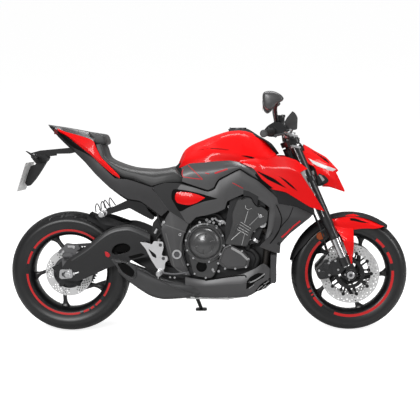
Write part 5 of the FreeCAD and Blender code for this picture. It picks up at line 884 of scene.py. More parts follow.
def screws(places, radius, height, way=outward):
    """Socket-head screws at points of (x, y, z)."""
    profile = [(0, 0), (radius, 0), (radius, height * 0.8), (radius * 0.85, height),
               (radius * 0.5, height), (radius * 0.45, height * 0.4), (0, height * 0.4)]
    return joined(*[spun(profile, place, way, 10) for place in places])


def beside(points, out):
    """Points of (x, z) as points in space on the right side."""
    return [(x, -out, z) for x, z in points]


steel_bright = finish("bright_steel", (0.66, 0.66, 0.67), (0.76, 0.76, 0.77), (0.26, 0.38),
                      grain=1400, depth=0.00002, metal=0.9)
steel_dark = finish("dark_steel", (0.10, 0.10, 0.105), (0.15, 0.15, 0.155),
                    (0.34, 0.48), depth=0.00003, metal=0.85)
lens_white = finish("lens_white", (0.72, 0.72, 0.71), (0.80, 0.80, 0.79), (0.16, 0.24),
                    grain=500, coat=0.6)
lens_dark = finish("lens_dark", (0.012, 0.012, 0.013), (0.02, 0.02, 0.021), (0.08, 0.16),
                   grain=300, coat=0.8)

mask_rails = [
    [(1228, 970, 0), (1256, 954, 0), (1281, 938, 0), (1346, 900, 0), (1408, 833, 0)],
    [(1227, 965, 40), (1255, 949, 42), (1286, 931, 40), (1347, 895, 30), (1407, 833, 12)],
    [(1226, 940, 84), (1258, 921, 84), (1293, 900, 76), (1352, 869, 56), (1405, 833, 24)],
    [(1198, 922, 108), (1225, 891, 108), (1255, 868, 104), (1325, 840, 78), (1387, 819, 40)]]
mask_surface = skin(mask_rails, smooth_along=0.3, smooth_across=0.2)
build("nose_beak", roof_panel(mask_rails, smooth_along=0.3, smooth_across=0.2), red_lacquer,
      "steering", ["headlight_mask"], crease=30, bevel=1)
build("nose_chin", side_panel([
    [(1263, 871, 98), (1312, 850, 86), (1354, 834, 72), (1393, 823, 46), (1413, 783, 34),
     (1441, 725, 20)],
    [(1285, 843, 96), (1324, 823, 88), (1356, 806, 78), (1386, 784, 60), (1405, 757, 44),
     (1435, 727, 24)],
    [(1311, 761, 84), (1331, 759, 80), (1350, 756, 74), (1373, 747, 62), (1400, 738, 44),
     (1437, 724, 24)]], smooth_along=0.2, smooth_across=0.2),
      red_lacquer, "steering", crease=30, bevel=1)
build("nose_chin_floor", roof_panel([
    [(1326, 756, 0), (1360, 750, 0), (1395, 742, 0), (1440, 725, 0)],
    [(1320, 755, 78), (1352, 753, 70), (1380, 745, 52), (1437, 724, 20)]], along=4, across=4),
      red_lacquer, "steering", crease=30)
build("nose_inner", both_sides(plate([
    (1215, 940), (1265, 914), (1319, 856), (1296, 826), (1247, 840), (1219, 889)], 0, 66,
    radius=8)), moulded_black, "steering", crease=34)
build("nose_slash", laid(mask_surface, [
    [(1265, 939), (1300, 913), (1332, 887), (1360, 869)],
    [(1269, 939), (1307, 921), (1342, 892), (1361, 869)]], 1.2),
      gap_black_and_painted_shade, "steering")
build("day_strips", laid(mask_surface, [
    [(1248, 899), (1282, 882), (1333, 862), (1395, 838)],
    [(1268, 875), (1295, 857), (1327, 842), (1374, 827)]], 2.5, crown=2),
      lens_white, "steering", crease=40)
build("lamp_shell", cushion([
    (1232, 824), (1264, 845), (1295, 836), (1318, 823), (1353, 786), (1335, 763), (1295, 753),
    (1257, 779)], 88, 9, 21), moulded_black, "steering", ["headlight_unit"],
      crease=30)
build("lamp_glass", both_sides(plate([
    (1288, 823), (1314, 817), (1343, 786), (1330, 769), (1298, 763)], 86, 91, radius=6)),
      lens_dark, "steering", bevel=1.5)
build("lamp_ribs", both_sides(joined(
    plate([(1256, 826), (1275, 836), (1285, 793), (1269, 786)], 88, 93, radius=4),
    plate([(1299, 815), (1314, 810), (1332, 788), (1321, 778)], 90, 92.5,
          radius=3))), accent_silver, "steering", bevel=1)

# Front fork: turned outer tubes in satin black with seals at their lower ends, clamped in the
# yokes, hard-chromed steel sliders in them, and cast feet that hold the axle and the calipers.
rake = math.radians(23)
fork_way = (-math.sin(rake), 0, math.cos(rake))
leg_out = 105
foot_height = 330


def leg(z, out=leg_out):
    """A point on a fork leg's axis at a height."""
    return (wheelbase - (z - front_radius) * math.tan(rake), -out, z)


def up(z):
    """The distance along a leg from its foot to a height."""
    return (z - foot_height) / math.cos(rake)


black_satin = finish("satin_black", (0.010, 0.010, 0.011), (0.015, 0.015, 0.016), (0.3, 0.42),
                     grain=1300, depth=0.00002, coat=0.25)
chrome = finish("hard_chrome", (0.62, 0.62, 0.63), (0.7, 0.7, 0.71), (0.1, 0.18), grain=700,
                metal=1)
build("fork_outer_tubes", both_sides(spun([
    (0, up(1012)), (20, up(1012)), (24, up(1008)), (24, up(1002)), (27, up(1000)),
    (27, up(560)), (24.5, up(548)), (24.5, up(512)), (26, up(508)), (26, up(490)),
    (23, up(486)), (0, up(486))], leg(foot_height), fork_way, 32)), black_satin,
      "steering", ["fork_uppers"])
build("fork_caps", both_sides(joined(
    spun([(19, up(1012)), (19, up(1017)), (16, up(1019)), (0, up(1019))], leg(foot_height),
         fork_way),
    spun([(9, up(1019)), (9, up(1026)), (0, up(1026))], leg(foot_height), fork_way, 6))),
      steel_dark, "steering")
build("fork_sliders", both_sides(spun([
    (0, up(344)), (20.5, up(344)), (20.5, up(492)), (0, up(492))], leg(foot_height), fork_way,
    32)), chrome, "steering", ["fork_lowers"])
fork_foot = [
    (1419, 383), (1445, 394), (1471, 363), (1491, 312), (1487, 281), (1461, 268), (1437, 281),
    (1442, 318), (1426, 351)]
build("fork_feet", both_sides(joined(
    plate(fork_foot, 90, 122, radius=12),
    spun([(0, -15), (24, -15), (27, -12), (27, 30), (24, 33), (0, 33)], leg(362), fork_way, 24),
    spun([(0, 0), (30, 0), (30, 34), (27, 37), (0, 37)], (wheelbase, -88, front_radius),
         outward, 28))), black_satin, "steering", bevel=2, crease=35)
build("front_axle_ends", both_sides(joined(
    spun([(0, 0), (19, 0), (19, 5), (16, 7), (9, 7), (9, -6), (0, -6)],
         (wheelbase, -125, front_radius), outward, 24),
    screws([(1431, -123, 303), (1452, -123, 276)], 5, 5))), steel_bright, "steering")

# Front brakes: cast four-piston calipers in two bolted halves that straddle the discs behind
# the fork's feet, each on a bracket that two screws hold to its foot.
caliper_dark = finish("caliper_black", (0.014, 0.014, 0.015), (0.024, 0.024, 0.026),
                      (0.36, 0.5), depth=0.00005, coat=0.2)
front_body = [(1287, 300), (1300, 276), (1352, 282), (1364, 300), (1364, 372), (1334, 380),
              (1310, 352), (1288, 328)]
build("front_caliper_halves", both_sides(joined(
    plate(front_body, 76, 112, radius=12), plate(front_body, 46, 60, radius=12),
    plate([(1288, 300), (1302, 282), (1322, 350), (1310, 352), (1288, 328)], 50, 110),
    plate([(1350, 296), (1366, 372), (1424, 404), (1446, 340), (1404, 300)], 88, 106,
          radius=12),
    *[spun([(0, 0), (17, 0), (17, 5), (14, 8), (0, 8)], (x, -111, z), outward, 20)
      for x, z in ((1318, 304), (1336, 346))])),
      caliper_dark, "steering", ["front_calipers"], bevel=2.5, crease=35)
build("front_caliper_screws", both_sides(joined(
    screws([(1300, -112, 322), (1352, -112, 300), (1350, -112, 362), (1384, -106, 372),
            (1398, -106, 326)], 6, 5),
    spun([(0, 0), (7, 0), (7, 8), (4, 8), (4, 13), (0, 13)], (1356, -112, 376), outward,
         10))), steel_bright, "steering")

# Front fender: red lacquered sides that run down the fork, with a dark moulded top and rear
# guard between them, screwed to the fork's feet, and an amber reflector on each side.
def around(centre, radius, angles):
    """Points of (x, z) round a centre, at angles in degrees."""
    return [(centre[0] + radius * math.cos(math.radians(a)),
             centre[1] + radius * math.sin(math.radians(a))) for a in angles]


def arc_rail(radius, out, angles, centre=front_centre):
    """A rail around an axle, at angles in degrees."""
    return rail_at(around(centre, radius, angles), out)


crown_angles = (115, 106, 96, 86, 76, 66, 56, 51)
build("fender_crown", roof_panel([
    arc_rail(radius, out, crown_angles)
    for radius, out in ((317, 0), (315, 26), (308, 50), (298, 66))], 3, along=5, across=4),
      moulded_black, "steering", crease=40)
fender_top = [
    (1358, 586), (1411, 590), (1449, 604), (1481, 608), (1513, 597), (1545, 585), (1593, 566),
    (1641, 547)]
fender_low = [
    (1359, 583), (1388, 537), (1420, 519), (1477, 528), (1509, 533), (1550, 535), (1582, 533),
    (1614, 537)]
fender_middle = (np.array(fender_top, float) + fender_low) / 2
fender_surface = skin([
    rail_at(fender_top, (60, 62, 62, 60, 60, 58, 56, 50)), rail_at(fender_middle, 78),
    rail_at(fender_low, 80)], smooth_along=0.4, smooth_across=0.3)
build("fender_sides", side_sheet(fender_surface), red_lacquer, "steering",
      ["front_fender"], crease=34, bevel=1)
build("fender_slots", laid(fender_surface, [
    [(1461, 588), (1487, 586), (1519, 575), (1562, 561)],
    [(1464, 576), (1487, 573), (1519, 566), (1562, 561)]], 1),
      gap_black_and_painted_shade, "steering")
build("fender_spears", side_panel([
    [(1376, 552, 84), (1393, 527, 98), (1416, 491, 128), (1435, 433, 132), (1453, 391, 130),
     (1461, 361, 126)],
    [(1427, 539, 84), (1427, 513, 104), (1448, 478, 136), (1456, 433, 138), (1463, 394, 134),
     (1466, 359, 128)],
    [(1478, 536, 82), (1478, 507, 96), (1478, 471, 112), (1475, 426, 118), (1470, 391, 120),
     (1468, 359, 124)]], across=5, smooth_along=0.6, smooth_across=0.3),
      red_lacquer, "steering", crease=34, bevel=1)
guard_angles = (114, 122, 130, 138, 146, 154, 161, 167)
build("fender_rear_guard", roof_panel([
    arc_rail(315, 0, guard_angles), arc_rail(312, 30, guard_angles),
    arc_rail(302, 56, guard_angles),
    arc_rail(276, (73, 73, 72, 71, 70), guard_angles[:-3]) + arc_rail(286, 66, (154,))
    + arc_rail(296, 58, (162.5,)) + arc_rail(306, 46, (168.5,))],
    3, along=5, across=5), moulded_black, "steering", ["fender_guard"],
      crease=40)
reflector_amber = finish("reflector_amber", (0.30, 0.055, 0.01), (0.42, 0.085, 0.016),
                         (0.2, 0.3), grain=300, coat=0.6)
build("fender_reflectors", both_sides(spun([
    (0, 0), (20, 0), (20, 5), (17, 8), (0, 9)], (1309, -72, 497), outward, 28)),
      reflector_amber, "steering")

# Engine: a cast crankcase with a cylinder row under a ribbed side cover, a round clutch cover
# and a pointed cover ahead of it, and an alternator cap on the left. All are cast alloy in black,
# and bright screws round their rims hold the covers on.
def stepped(outline, steps, radius=8):
    """A raised cover: an outline with rounded corners repeated at steps of (distance out, share
    of its size) and closed flat on top."""
    ring = rounded(outline, radius)
    middle = ring.mean(0)
    rings = [stood(middle + (ring - middle) * share, out) for out, share in steps]
    caps = np.array(tessellate_polygon([[Vector((x, z, 0)) for x, z in ring]]))
    last = (len(steps) - 1) * len(ring)
    return np.concatenate(rings), [grid_faces(len(steps), len(ring), False, True),
                                   caps, caps[:, ::-1] + last]


def drum(centre, profile, steps=48):
    """A round cover on the right side from a profile of (radius, distance out)."""
    return spun(profile, (centre[0], 0, centre[1]), outward, steps)


cast_black = finish("cast_black", (0.022, 0.022, 0.023), (0.034, 0.034, 0.036), (0.38, 0.52),
                    grain=700, depth=0.00012, metal=0.3)
cover_black = finish("cover_black", (0.082, 0.082, 0.083), (0.102, 0.102, 0.103),
                     (0.26, 0.36), grain=1000, depth=0.00004, metal=0.55, coat=0.5,
                     coat_rough=0.16)
coat_node(cast_black, "black_paint", "crankcase", "left_covers")
build("cylinder_row", both_sides(plate([
    (822, 447), (985, 470), (1034, 600), (1022, 709), (852, 709), (822, 560)], 0, 146,
    radius=14)), cast_black, "root", ["cylinders"], bevel=4, crease=34)

clutch = (718, 473)
build("clutch_case", joined(
    drum(clutch, [(0, 112), (104, 112), (104, 150), (101, 153), (95, 154), (93, 164), (90, 171),
                  (86, 173), (82, 171), (80, 168), (77, 170), (73, 176), (66, 181), (54, 185),
                  (50, 183), (30, 185), (26, 187), (0, 188)], 64),
    stepped([(641, 555), (720, 545), (800, 470), (786, 395), (784, 342), (753, 285), (660, 300),
             (634, 400), (634, 480)], [(112, 1), (140, 1), (144, 0.97)], 20)),
      cover_black, "root", ["clutch_cover"], crease=30)
clutch_rim = around(clutch, 98, (-78, -38, -8, 22, 52, 82, 112, 142, 172, 202, 232))
build("clutch_spokes", joined(*[
    tube(beside([around(clutch, r, (a,))[0] for r in (30, 42, 54)], 184), 3, 8, 2)
    for a in range(20, 380, 60)]), cover_black, "root", crease=60)
build("oil_window", drum((699, 351), [
    (0, 140), (27, 140), (27, 149), (23, 151), (22, 147), (0, 146)], 28),
      gap_black_and_painted_shade, "root")
build("engine_ribs", both_sides(joined(*[
    tube(beside(line, 175.5), 2.2, 6, 1, 0) for line in (
        [(902, 581), (953, 548)], [(896, 569), (949, 536)],
        [(890, 555), (944, 524)], [(885, 544), (939, 513)],
        [(940, 636), (922, 577)], [(992, 608), (947, 564)],
        [(901, 532), (853, 490)], [(921, 519), (907, 463)],
        [(926, 664), (928, 652), (942, 642), (959, 650)],
        [(992, 625), (993, 614), (1004, 604), (1019, 610)])])),
      accent_silver, "root", crease=60)
side_outline = [
    (888, 698), (912, 696), (941, 706), (962, 698), (975, 665), (1008, 660), (1043, 636),
    (1037, 581), (1000, 557), (965, 530), (932, 454), (878, 462), (819, 467), (847, 526),
    (861, 577), (858, 622)]
build("engine_side_cover", both_sides(joined(
    stepped(side_outline, [(100, 1), (170, 1), (174, 0.975)], 10),
    plate([(879, 563), (891, 569), (863, 512), (854, 514)], 170, 180, radius=3),
    plate([(959, 556), (970, 549), (941, 495), (932, 500)], 170, 180, radius=3))),
      cover_black, "root", crease=30)
build("head_cover_seam", both_sides(tube(beside([
    (907, 697), (926, 710), (955, 704), (969, 678), (990, 658), (1012, 661), (1040, 637)],
    174), 2.4, 6, 5)), gap_black_and_painted_shade, "root", crease=60)
pointed = [
    (781, 373), (800, 422), (813, 452), (844, 468), (911, 432), (948, 392), (937, 346),
    (871, 340), (817, 343)]
build("pointed_cover", stepped(pointed, [
    (112, 1), (158, 1), (162, 0.96), (163, 0.86), (172, 0.80)], 10),
      panel_grey, "root", ["generator_cover"], crease=28)
# A silver strip on the cover's chamfered edge: partly its silver edging, partly a painted
# highlight on the chamfer.
build("pointed_cover_silver_edge_and_highlight", plate([
    (856, 455), (905, 428), (940, 391), (934, 383), (901, 415), (850, 445)], 170, 174.5,
    radius=4), accent_silver, "root", bevel=1)
alternator = (868, 392)
leftward = (0, 1, 0)
build("alternator_cap", spun([
    (0, 150), (48, 150), (51, 156), (47, 159), (40, 159), (36, 156), (20, 156), (16, 160),
    (0, 161)], (alternator[0], 0, alternator[1]), leftward, 48),
      cover_black, "root", crease=30)
build("alternator_screws", screws(
    beside(around(alternator, 66, range(10, 360, 50)), -145), 5.5, 5, leftward),
      steel_bright, "root")
engine_screws = (  # places, distance out, radius, height
    (clutch_rim, 153, 5.5, 5),
    ([(846, 464), (907, 432), (940, 390), (926, 350), (872, 342), (820, 342), (798, 418),
      (785, 370), (803, 453)], 160, 6, 6),
    ([(629, 362), (620, 318), (663, 314), (720, 293), (536, 297), (560, 295), (761, 326)],
     143, 5.5, 5),
    ([(757, 337), (787, 328)], 152, 7, 6),
    ([(728, 589), (757, 593), (794, 568), (808, 574), (841, 656), (861, 670), (737, 575),
      (776, 555)], 118, 8, 14),
    ([(692, 578), (712, 564), (744, 581), (763, 575)], 128, 7, 10))
build("engine_screws", joined(*[screws(beside(places, out), radius, height)
                                for places, out, radius, height in engine_screws]),
      steel_bright, "root")
build("head_bolts", joined(
    screws([(1002, -173, 610)], 9, 6),
    spun([(0, 0), (21, 0), (21, 6), (17, 8), (9, 8), (8, 4), (0, 4)], (1012, -150, 571),
         outward, 28)), steel_bright, "root")

# Coolant and breather hoses: black rubber bends in front of and behind the engine, pushed on to
# its stubs and held there by steel clamps.
hose_rubber = finish("hose_rubber", (0.009, 0.009, 0.0095), (0.015, 0.015, 0.016), (0.5, 0.64),
                     grain=600, depth=0.00008)
hoses = (  # radius, sides, route
    (18, 16, [(992, -136, 570), (968, -140, 548), (948, -138, 520), (930, -130, 478),
                (935, -120, 440)]),
    (14, 14, [(1060, -120, 600), (1010, -128, 560), (985, -132, 520), (980, -130, 470)]),
    (13, 12, [(930, -112, 440), (965, -120, 425), (985, -118, 390), (975, -112, 345)]),
    (9, 10, [(800, -100, 590), (770, -112, 570), (742, -116, 584), (700, -112, 596),
               (660, -106, 588)]),
    (7, 10, [(830, -112, 560), (800, -118, 600), (764, -116, 620), (720, -110, 612)]),
    (6, 8, [(650, -100, 600), (640, -120, 560), (664, -118, 540), (700, -114, 556)]),
    (8, 10, [(470, -96, 640), (480, -104, 590), (500, -100, 540), (470, -98, 500),
               (462, -100, 470)]),
    (5, 8, [(520, -92, 590), (500, -96, 560), (512, -100, 520), (490, -96, 490)]))
build("engine_hoses", joined(*[tube(route, radius, sides) for radius, sides, route in hoses]),
      hose_rubber, "root", crease=60)
clamps = (  # inner radius, outer radius, width, place, way it faces, sides
    (12, 20, 14, (982, -146, 491), (-0.6, 0, -0.8), 20),
    (18.2, 20.2, 12, (964, -139.5, 543), (-0.5, 0, -0.86), 20),
    (18.2, 20.2, 9, (940, -135, 500), (-0.4, 0.1, -0.9), 20),
    (0, 9, 22, (476, -108, 470), (0.2, 0, 1), 12),
    (0, 11, 14, (500, -112, 560), (0.3, -0.2, 1), 12),
    (0, 7, 26, (458, -110, 520), (0.5, 0, 1), 12))
build("hose_clamps", joined(
    tube(beside([(768, 599), (785, 583), (814, 581), (827, 561)], 120), 6.5, 10, 5),
    *[spun([(near, 0), (far, 0), (far, width), (near, width)], place, way, sides)
      for near, far, width, place, way, sides in clamps]),
      steel_bright, "root", crease=40)

# Intake and engine room: a moulded air box between the spars under the tank, bolted to the
# throttle bodies, and the dark castings that close the view in front of and behind the engine.
build("air_box", both_sides(plate([
    (590, 590), (640, 560), (800, 560), (860, 640), (1030, 640), (1050, 720), (1010, 770),
    (880, 800), (700, 770), (600, 700)], 0, 104, radius=20)), moulded_black, "root",
      bevel=6, crease=34)
build("neck_fill", both_sides(joined(
    plate([(1060, 806), (1090, 800), (1130, 790), (1150, 830), (1096, 866), (1066, 862)],
          0, 58, radius=6),
    plate([(568, 863), (589, 882), (615, 863), (614, 791), (575, 792)], 0, 84, radius=5))),
      moulded_black, "root", crease=34)
build("engine_front", joined(
    both_sides(plate([(960, 300), (1000, 300), (1030, 420), (1052, 600), (1010, 640), (960, 600)],
                     0, 88, radius=12)),
    spun([(0, 0), (34, 0), (36, 6), (36, 60), (32, 70), (0, 70)], (985, -40, 392), (0.7, 0, -0.5),
         24)), cast_black, "root", bevel=3, crease=34)
build("engine_rear", joined(
    both_sides(plate([
        (444, 572), (494, 628), (548, 631), (563, 453), (490, 349), (588, 348), (659, 263),
        (534, 278), (470, 349), (430, 461), (433, 507)], 0, 62, radius=8)),
    both_sides(plate([(740, 540), (800, 540), (850, 620), (790, 690), (740, 640)], 0, 96,
                     radius=8)),
    plate([(466, 352), (661, 318), (660, 246), (568, 246), (491, 286)], 0, 84, radius=6),
    plate([(327, 422), (380, 428), (445, 415), (490, 375), (496, 316), (450, 310), (372, 349),
           (326, 376)], 10, 60, radius=8),
    both_sides(plate([(782, 656), (892, 681), (903, 545), (857, 429), (774, 494)], 0, 98,
                     radius=8))), cast_black, "root", bevel=3, crease=34)

# Exhaust: four bent steel headers that join under the engine, clamped to its front, and a short
# silencer of black-coated sheet on the right, welded from two shells, with a mouth at its end.
header_steel = finish("header_steel", (0.030, 0.028, 0.027), (0.065, 0.058, 0.052), (0.34, 0.5),
                      grain=60, depth=0.00003, metal=0.8)
coat_node(header_steel, "steel", "exhaust_headers")
muffler_black = finish("muffler_black", (0.056, 0.056, 0.057), (0.072, 0.072, 0.074),
                       (0.30, 0.42), depth=0.00005, metal=0.3)


def boxy_tunnel(rows, count=28, power=3.6):
    """A closed skin through sections given as x, two distances out and two heights. Each is a
    superellipse between them, whose cosines and sines are raised to 2 / power."""
    a = 2 * math.pi * (np.arange(count) + 0.5) / count
    y, z = (np.sign(v) * np.abs(v) ** (2 / power) for v in (np.cos(a), np.sin(a)))
    x, y0, y1, z0, z1 = rows.T[..., None]
    grid = np.stack([x + 0 * y, -((y0 + y1) + y * (y1 - y0)) / 2,
                     ((z0 + z1) + z * (z1 - z0)) / 2], -1)
    ends = [np.repeat(ring.mean(0)[None], count, 0) for ring in (grid[0], grid[-1])]
    grid = np.concatenate([ends[0][None], grid, ends[1][None]])
    return grid.reshape(-1, 3), [grid_faces(len(grid), count, False, True)]


muffler_rows = np.array([
    (716, -40, 120, 204, 262), (668, -20, 146, 194, 266), (620, 10, 154, 184, 272),
    (560, 20, 158, 180, 282), (498, 36, 161, 179, 298), (440, 52, 163, 194, 322),
    (392, 66, 164, 222, 344), (350, 84, 166, 254, 362), (318, 96, 168, 278, 376),
    (292, 104, 170, 304, 383), (270, 110, 170, 328, 388)], float)
build("silencer_shell", boxy_tunnel(refined(muffler_rows, 3, 1)), muffler_black, "root",
      ["silencer"], crease=40)
build("silencer_end_cap", plate([
    (235, 397), (325, 379), (363, 359), (367, 326), (343, 295), (292, 321)], 150, 174,
    radius=10), muffler_black, "root", bevel=4, crease=30)
# A near-black plate in the mouth: painted shade for the dark inside of the outlet.
build("silencer_mouth_painted_shade", plate([
    (266, 377), (322, 368), (359, 333), (352, 308), (339, 302), (297, 327)], 160, 175,
    radius=14), gap_black_and_painted_shade, "root", bevel=1)
mouth = [
    (262, 383), (291, 381), (325, 371), (354, 347), (364, 322), (353, 299), (334, 297),
    (307, 312), (288, 330), (270, 360)]
build("silencer_lip", tube(beside(mouth + mouth[:2], 175), 3.2, 8, 5), muffler_black, "root",
      crease=60)
build("silencer_crease", tube(beside([
    (359, 357), (423, 325), (499, 276), (576, 240), (665, 207)], 160), 3, 8, 6),
      muffler_black, "root", crease=60)

# Radiator: an alloy core of thin fins in a black frame, bolted to the frame's front, between
# two satin grey shrouds that are clipped to it and have a dark lining inside.
coat_node(moulded_black, "black_paint", "radiator")
shroud_surface = skin([
    rail_at([(1076, 673), (1126, 667), (1183, 655), (1265, 616)], 178),
    rail_at([(1076, 604), (1126, 599), (1189, 602), (1251, 601)], 186),
    rail_at([(1062, 522), (1094, 520), (1132, 517), (1152, 522)], 184),
    rail_at([(996, 456), (1031, 461), (1075, 465), (1104, 470)], 178),
    rail_at([(1075, 421), (1084, 420), (1095, 419), (1100, 421)], 160)],
    smooth_along=0.3, smooth_across=0.2)
build("radiator_side_shrouds", side_sheet(shroud_surface), panel_dark, "root",
      ["radiator_shrouds"], crease=32, bevel=1)
build("shroud_red_lines", joined(
    line_on(shroud_surface, [(1202, 585), (1171, 560), (1157, 546)], 8, 1.4, 0.3),
    line_on(shroud_surface, [(1154, 545), (1132, 522), (1108, 502)], 9, 1.4, 0.3)),
      accent_red, "root")
# Near-black lines along the shroud's folds: painted shade in the creases.
build("shroud_folds_painted_shade", joined(
    line_on(shroud_surface, [(1167, 654), (1144, 602), (1108, 559), (1065, 490)], 3, 1.6),
    line_on(shroud_surface, [(1084, 667), (1105, 616), (1108, 578), (1088, 521), (1050, 471)],
            5, 1.2)), gap_black_and_painted_shade, "root")
build("radiator_fins", both_sides(joined(*[
    plate([(x, 262 + 2 * k), (x + 5, 262 + 2 * k), (x + 6, 410), (x + 1, 410)], 60, 149)
    for k, x in enumerate(range(1052, 1080, 6))])), steel_dark, "root")
build("shroud_inner", both_sides(plate([
    (1077, 767), (1165, 753), (1228, 709), (1273, 645), (1277, 613), (1202, 620), (1101, 615)],
    166, 174, radius=10)), moulded_black, "root", bevel=3, crease=34)

# Belly pan: a satin grey moulding that closes the engine's underside, screwed to lugs on the
# crankcase, with a recess on each side that has silver louvres clipped into it.
belly_rails = [
    [(614, 298, 150), (717, 282, 154), (813, 299, 158), (909, 314, 160), (973, 342, 160),
     (1017, 367, 156), (1083, 308, 130)],
    [(614, 260, 152), (717, 251, 160), (813, 259, 166), (902, 265, 170), (953, 277, 170),
     (998, 289, 166), (1061, 277, 134)],
    [(612, 192, 110), (715, 188, 118), (830, 188, 124), (930, 196, 128), (968, 213, 132),
     (997, 233, 134), (1035, 255, 128)]]
belly_surface = skin(belly_rails, smooth_along=0.3, smooth_across=0.2)
build("belly_pan_sides", side_sheet(belly_surface), panel_grey, "root",
      ["belly_pan"], crease=30, bevel=1)
build("belly_pan_floor", roof_panel([
    moved(belly_rails[2], 0, 0), moved(belly_rails[2], 0, 0.8), belly_rails[2]], 3, along=4,
    across=3), panel_grey, "root", crease=30)
# The near-black patches on each side are painted shade for the recess round the louvres; the strip
# along the top is the seam.
build("belly_recess_shade_and_seam", joined(
    laid(belly_surface, [[(929, 276), (950, 300), (988, 319), (1024, 314)],
                         [(927, 234), (954, 250), (975, 274), (1017, 295)]], 1.2),
    laid(belly_surface, [[(997, 255), (1023, 274), (1048, 290), (1066, 281)],
                         [(970, 217), (1003, 226), (1035, 242), (1061, 265)]], 1.2),
    line_on(belly_surface, [(717, 281), (813, 296), (912, 308), (928, 296)], 6, 1.2)),
      gap_black_and_painted_shade, "root")
build("belly_louvres", joined(*[
    line_on(belly_surface, points, width, 2.6) for points, width in (
        ([(947, 271), (966, 279), (991, 293), (1022, 314)], 6),
        ([(941, 239), (954, 248), (967, 258)], 4),
        ([(984, 226), (997, 240), (1011, 250)], 4),
        ([(1003, 226), (1016, 240), (1029, 254)], 4),
        ([(1016, 258), (1029, 264), (1045, 276)], 4),
        ([(1022, 232), (1035, 246), (1048, 258)], 3))]),
      accent_silver, "root")
build("belly_lower_strips", both_sides(joined(
    tube(beside([(616, 184), (713, 181), (829, 179)], 116), 4, 8),
    tube(beside([(829, 179), (881, 188), (936, 194)], 116), 5, 8))),
      accent_silver, "root", crease=60)

# Swingarm: two broad arms of pressed alloy with an arched brace, welded to a housing that turns
# on the pivot bolt, with bright blocks at their ends that set the chain's tension.
satin_dark = finish("satin_dark", (0.026, 0.026, 0.027), (0.036, 0.036, 0.037),
                    (0.28, 0.4), depth=0.00003, metal=0.3)
arm_outline = [
    (-22, 353), (11, 393), (97, 451), (190, 527), (249, 559), (320, 570), (368, 558),
    (435, 528), (437, 469), (440, 410), (407, 401), (316, 380), (225, 350), (120, 302),
    (54, 275), (2, 284), (-37, 295)]
arm_window = [
    (233, 431), (253, 465), (300, 477), (337, 459), (330, 431), (285, 417), (246, 414)]
build("swingarm_arms", both_sides(plate(arm_outline, 117, 146, [arm_window], 24)),
      satin_dark, "root", ["swingarm"], bevel=12, crease=30)
build("swingarm_housing", joined(
    both_sides(plate([(376, 392), (598, 392), (598, 444), (376, 444)], 0, 110, radius=14)),
    both_sides(drum((572, 409), [(0, 0), (27, 0), (27, 110), (0, 110)], 32))),
      satin_dark, "root", bevel=2, crease=30)
brace_top = [(21, 395), (100, 445), (192, 520), (251, 550), (322, 561), (370, 549), (436, 519)]
brace_low = [(40, 373), (125, 424), (207, 484), (256, 509), (308, 516), (359, 503), (436, 464)]
brace_middle = (np.array(brace_top, float) + brace_low) / 2
build("swingarm_braces", side_panel([
    rail_at(brace_top, 145), rail_at(brace_middle, 151), rail_at(brace_low, 145)],
    along=8, across=8, smooth_across=0.8), satin_dark, "root", crease=40)
# Near-black plates at the bottom of the arm's window and in the recess on its upper face: painted
# shade.
build("swingarm_wells_painted_shade", both_sides(joined(
    plate([(239, 433), (259, 461), (302, 474), (334, 458), (327, 435), (287, 422)],
          119, 122, radius=8),
    plate([(322, 405), (390, 422), (409, 415), (383, 403), (335, 392)],
          144, 147.5, radius=4))), gap_black_and_painted_shade, "root")
build("swingarm_caps", both_sides(plate([
    (201, 433), (218, 429), (230, 414), (222, 400), (206, 408)], 142, 150, radius=6)),
      accent_red, "root", bevel=2)
build("chain_adjusters", both_sides(joined(
    plate([(-33, 335), (-24, 340), (30, 339), (34, 302), (25, 295), (-25, 291), (-36, 299)],
          144, 154, [[(-23, 323), (-7, 325), (-6, 307), (-22, 305)]], 4),
    tube(beside([(34, 316), (66, 325)], 149), 4, 8, 1, 0),
    spun([(0, 0), (9, 0), (9, 8), (0, 8)], (36, -149, 317), (1, 0, 0.2), 6))),
      steel_bright, "root", bevel=1)
coat_node(steel_dark, "steel", "rear_axle", "chain", "rear_sprocket", "front_axle")
build("rear_axle_nuts", both_sides(spun([
    (0, 0), (17, 0), (17, 10), (14, 12), (9, 12), (9, 16), (0, 16)], (8, -153, 315), outward,
    6)), steel_bright, "root")

# Rear arch: a black moulding over the front of the rear tyre that keeps spray off the shock,
# screwed to the arms, with a raised wing on each side.
hug_angles = (70, 62, 54, 46, 38, 30)
build("rear_arch", roof_panel([
    arc_rail(radius, out, hug_angles, rear_centre)
    for radius, out in ((332, 0), (328, 40), (314, 70), (292, 80))],
    3, along=5, across=5), moulded_black, "root", ["rear_hugger"],
      crease=40)
build("rear_arch_wings", side_panel([
    rail_at([(133, 636), (173, 613), (224, 601), (315, 568)], 96),
    rail_at([(154, 603), (187, 577), (216, 565), (304, 558)], 112),
    rail_at([(200, 539), (209, 544), (232, 549), (290, 551)], 108)],
    across=5, smooth_across=0.4), moulded_black, "root",
      crease=30, bevel=1)

# Brake discs: drilled steel rings on black alloy carriers that are screwed to the hubs, the
# front ones held by round buttons so that they can float.
disc_steel = finish("disc_steel", (0.72, 0.72, 0.72), (0.85, 0.85, 0.85), (0.30, 0.42),
                    grain=500, depth=0.00003, metal=0.55)
drill_radius = 3.6
cluster_turn = 360 / spoke_count


def disc_ring(centre, outer, inner, y0, y1, radii, count, cluster=(0, cluster_turn)):
    """A drilled ring: rows of holes at radii, each row half a step from the last one, all round
    or only from a first to a last angle of each cluster's turn, in degrees."""
    holes = [circle(centre, inner, 72)]
    for k, radius in enumerate(radii):
        turns = [360 * (i + 0.5 * (k % 2)) / count for i in range(count)]
        holes += [circle(place, drill_radius, 8) for place in around(centre, radius, [
            a for a in turns if cluster[0] <= a % cluster_turn <= cluster[1]])]
    return plate(circle(centre, outer, 96), y0, y1, holes)


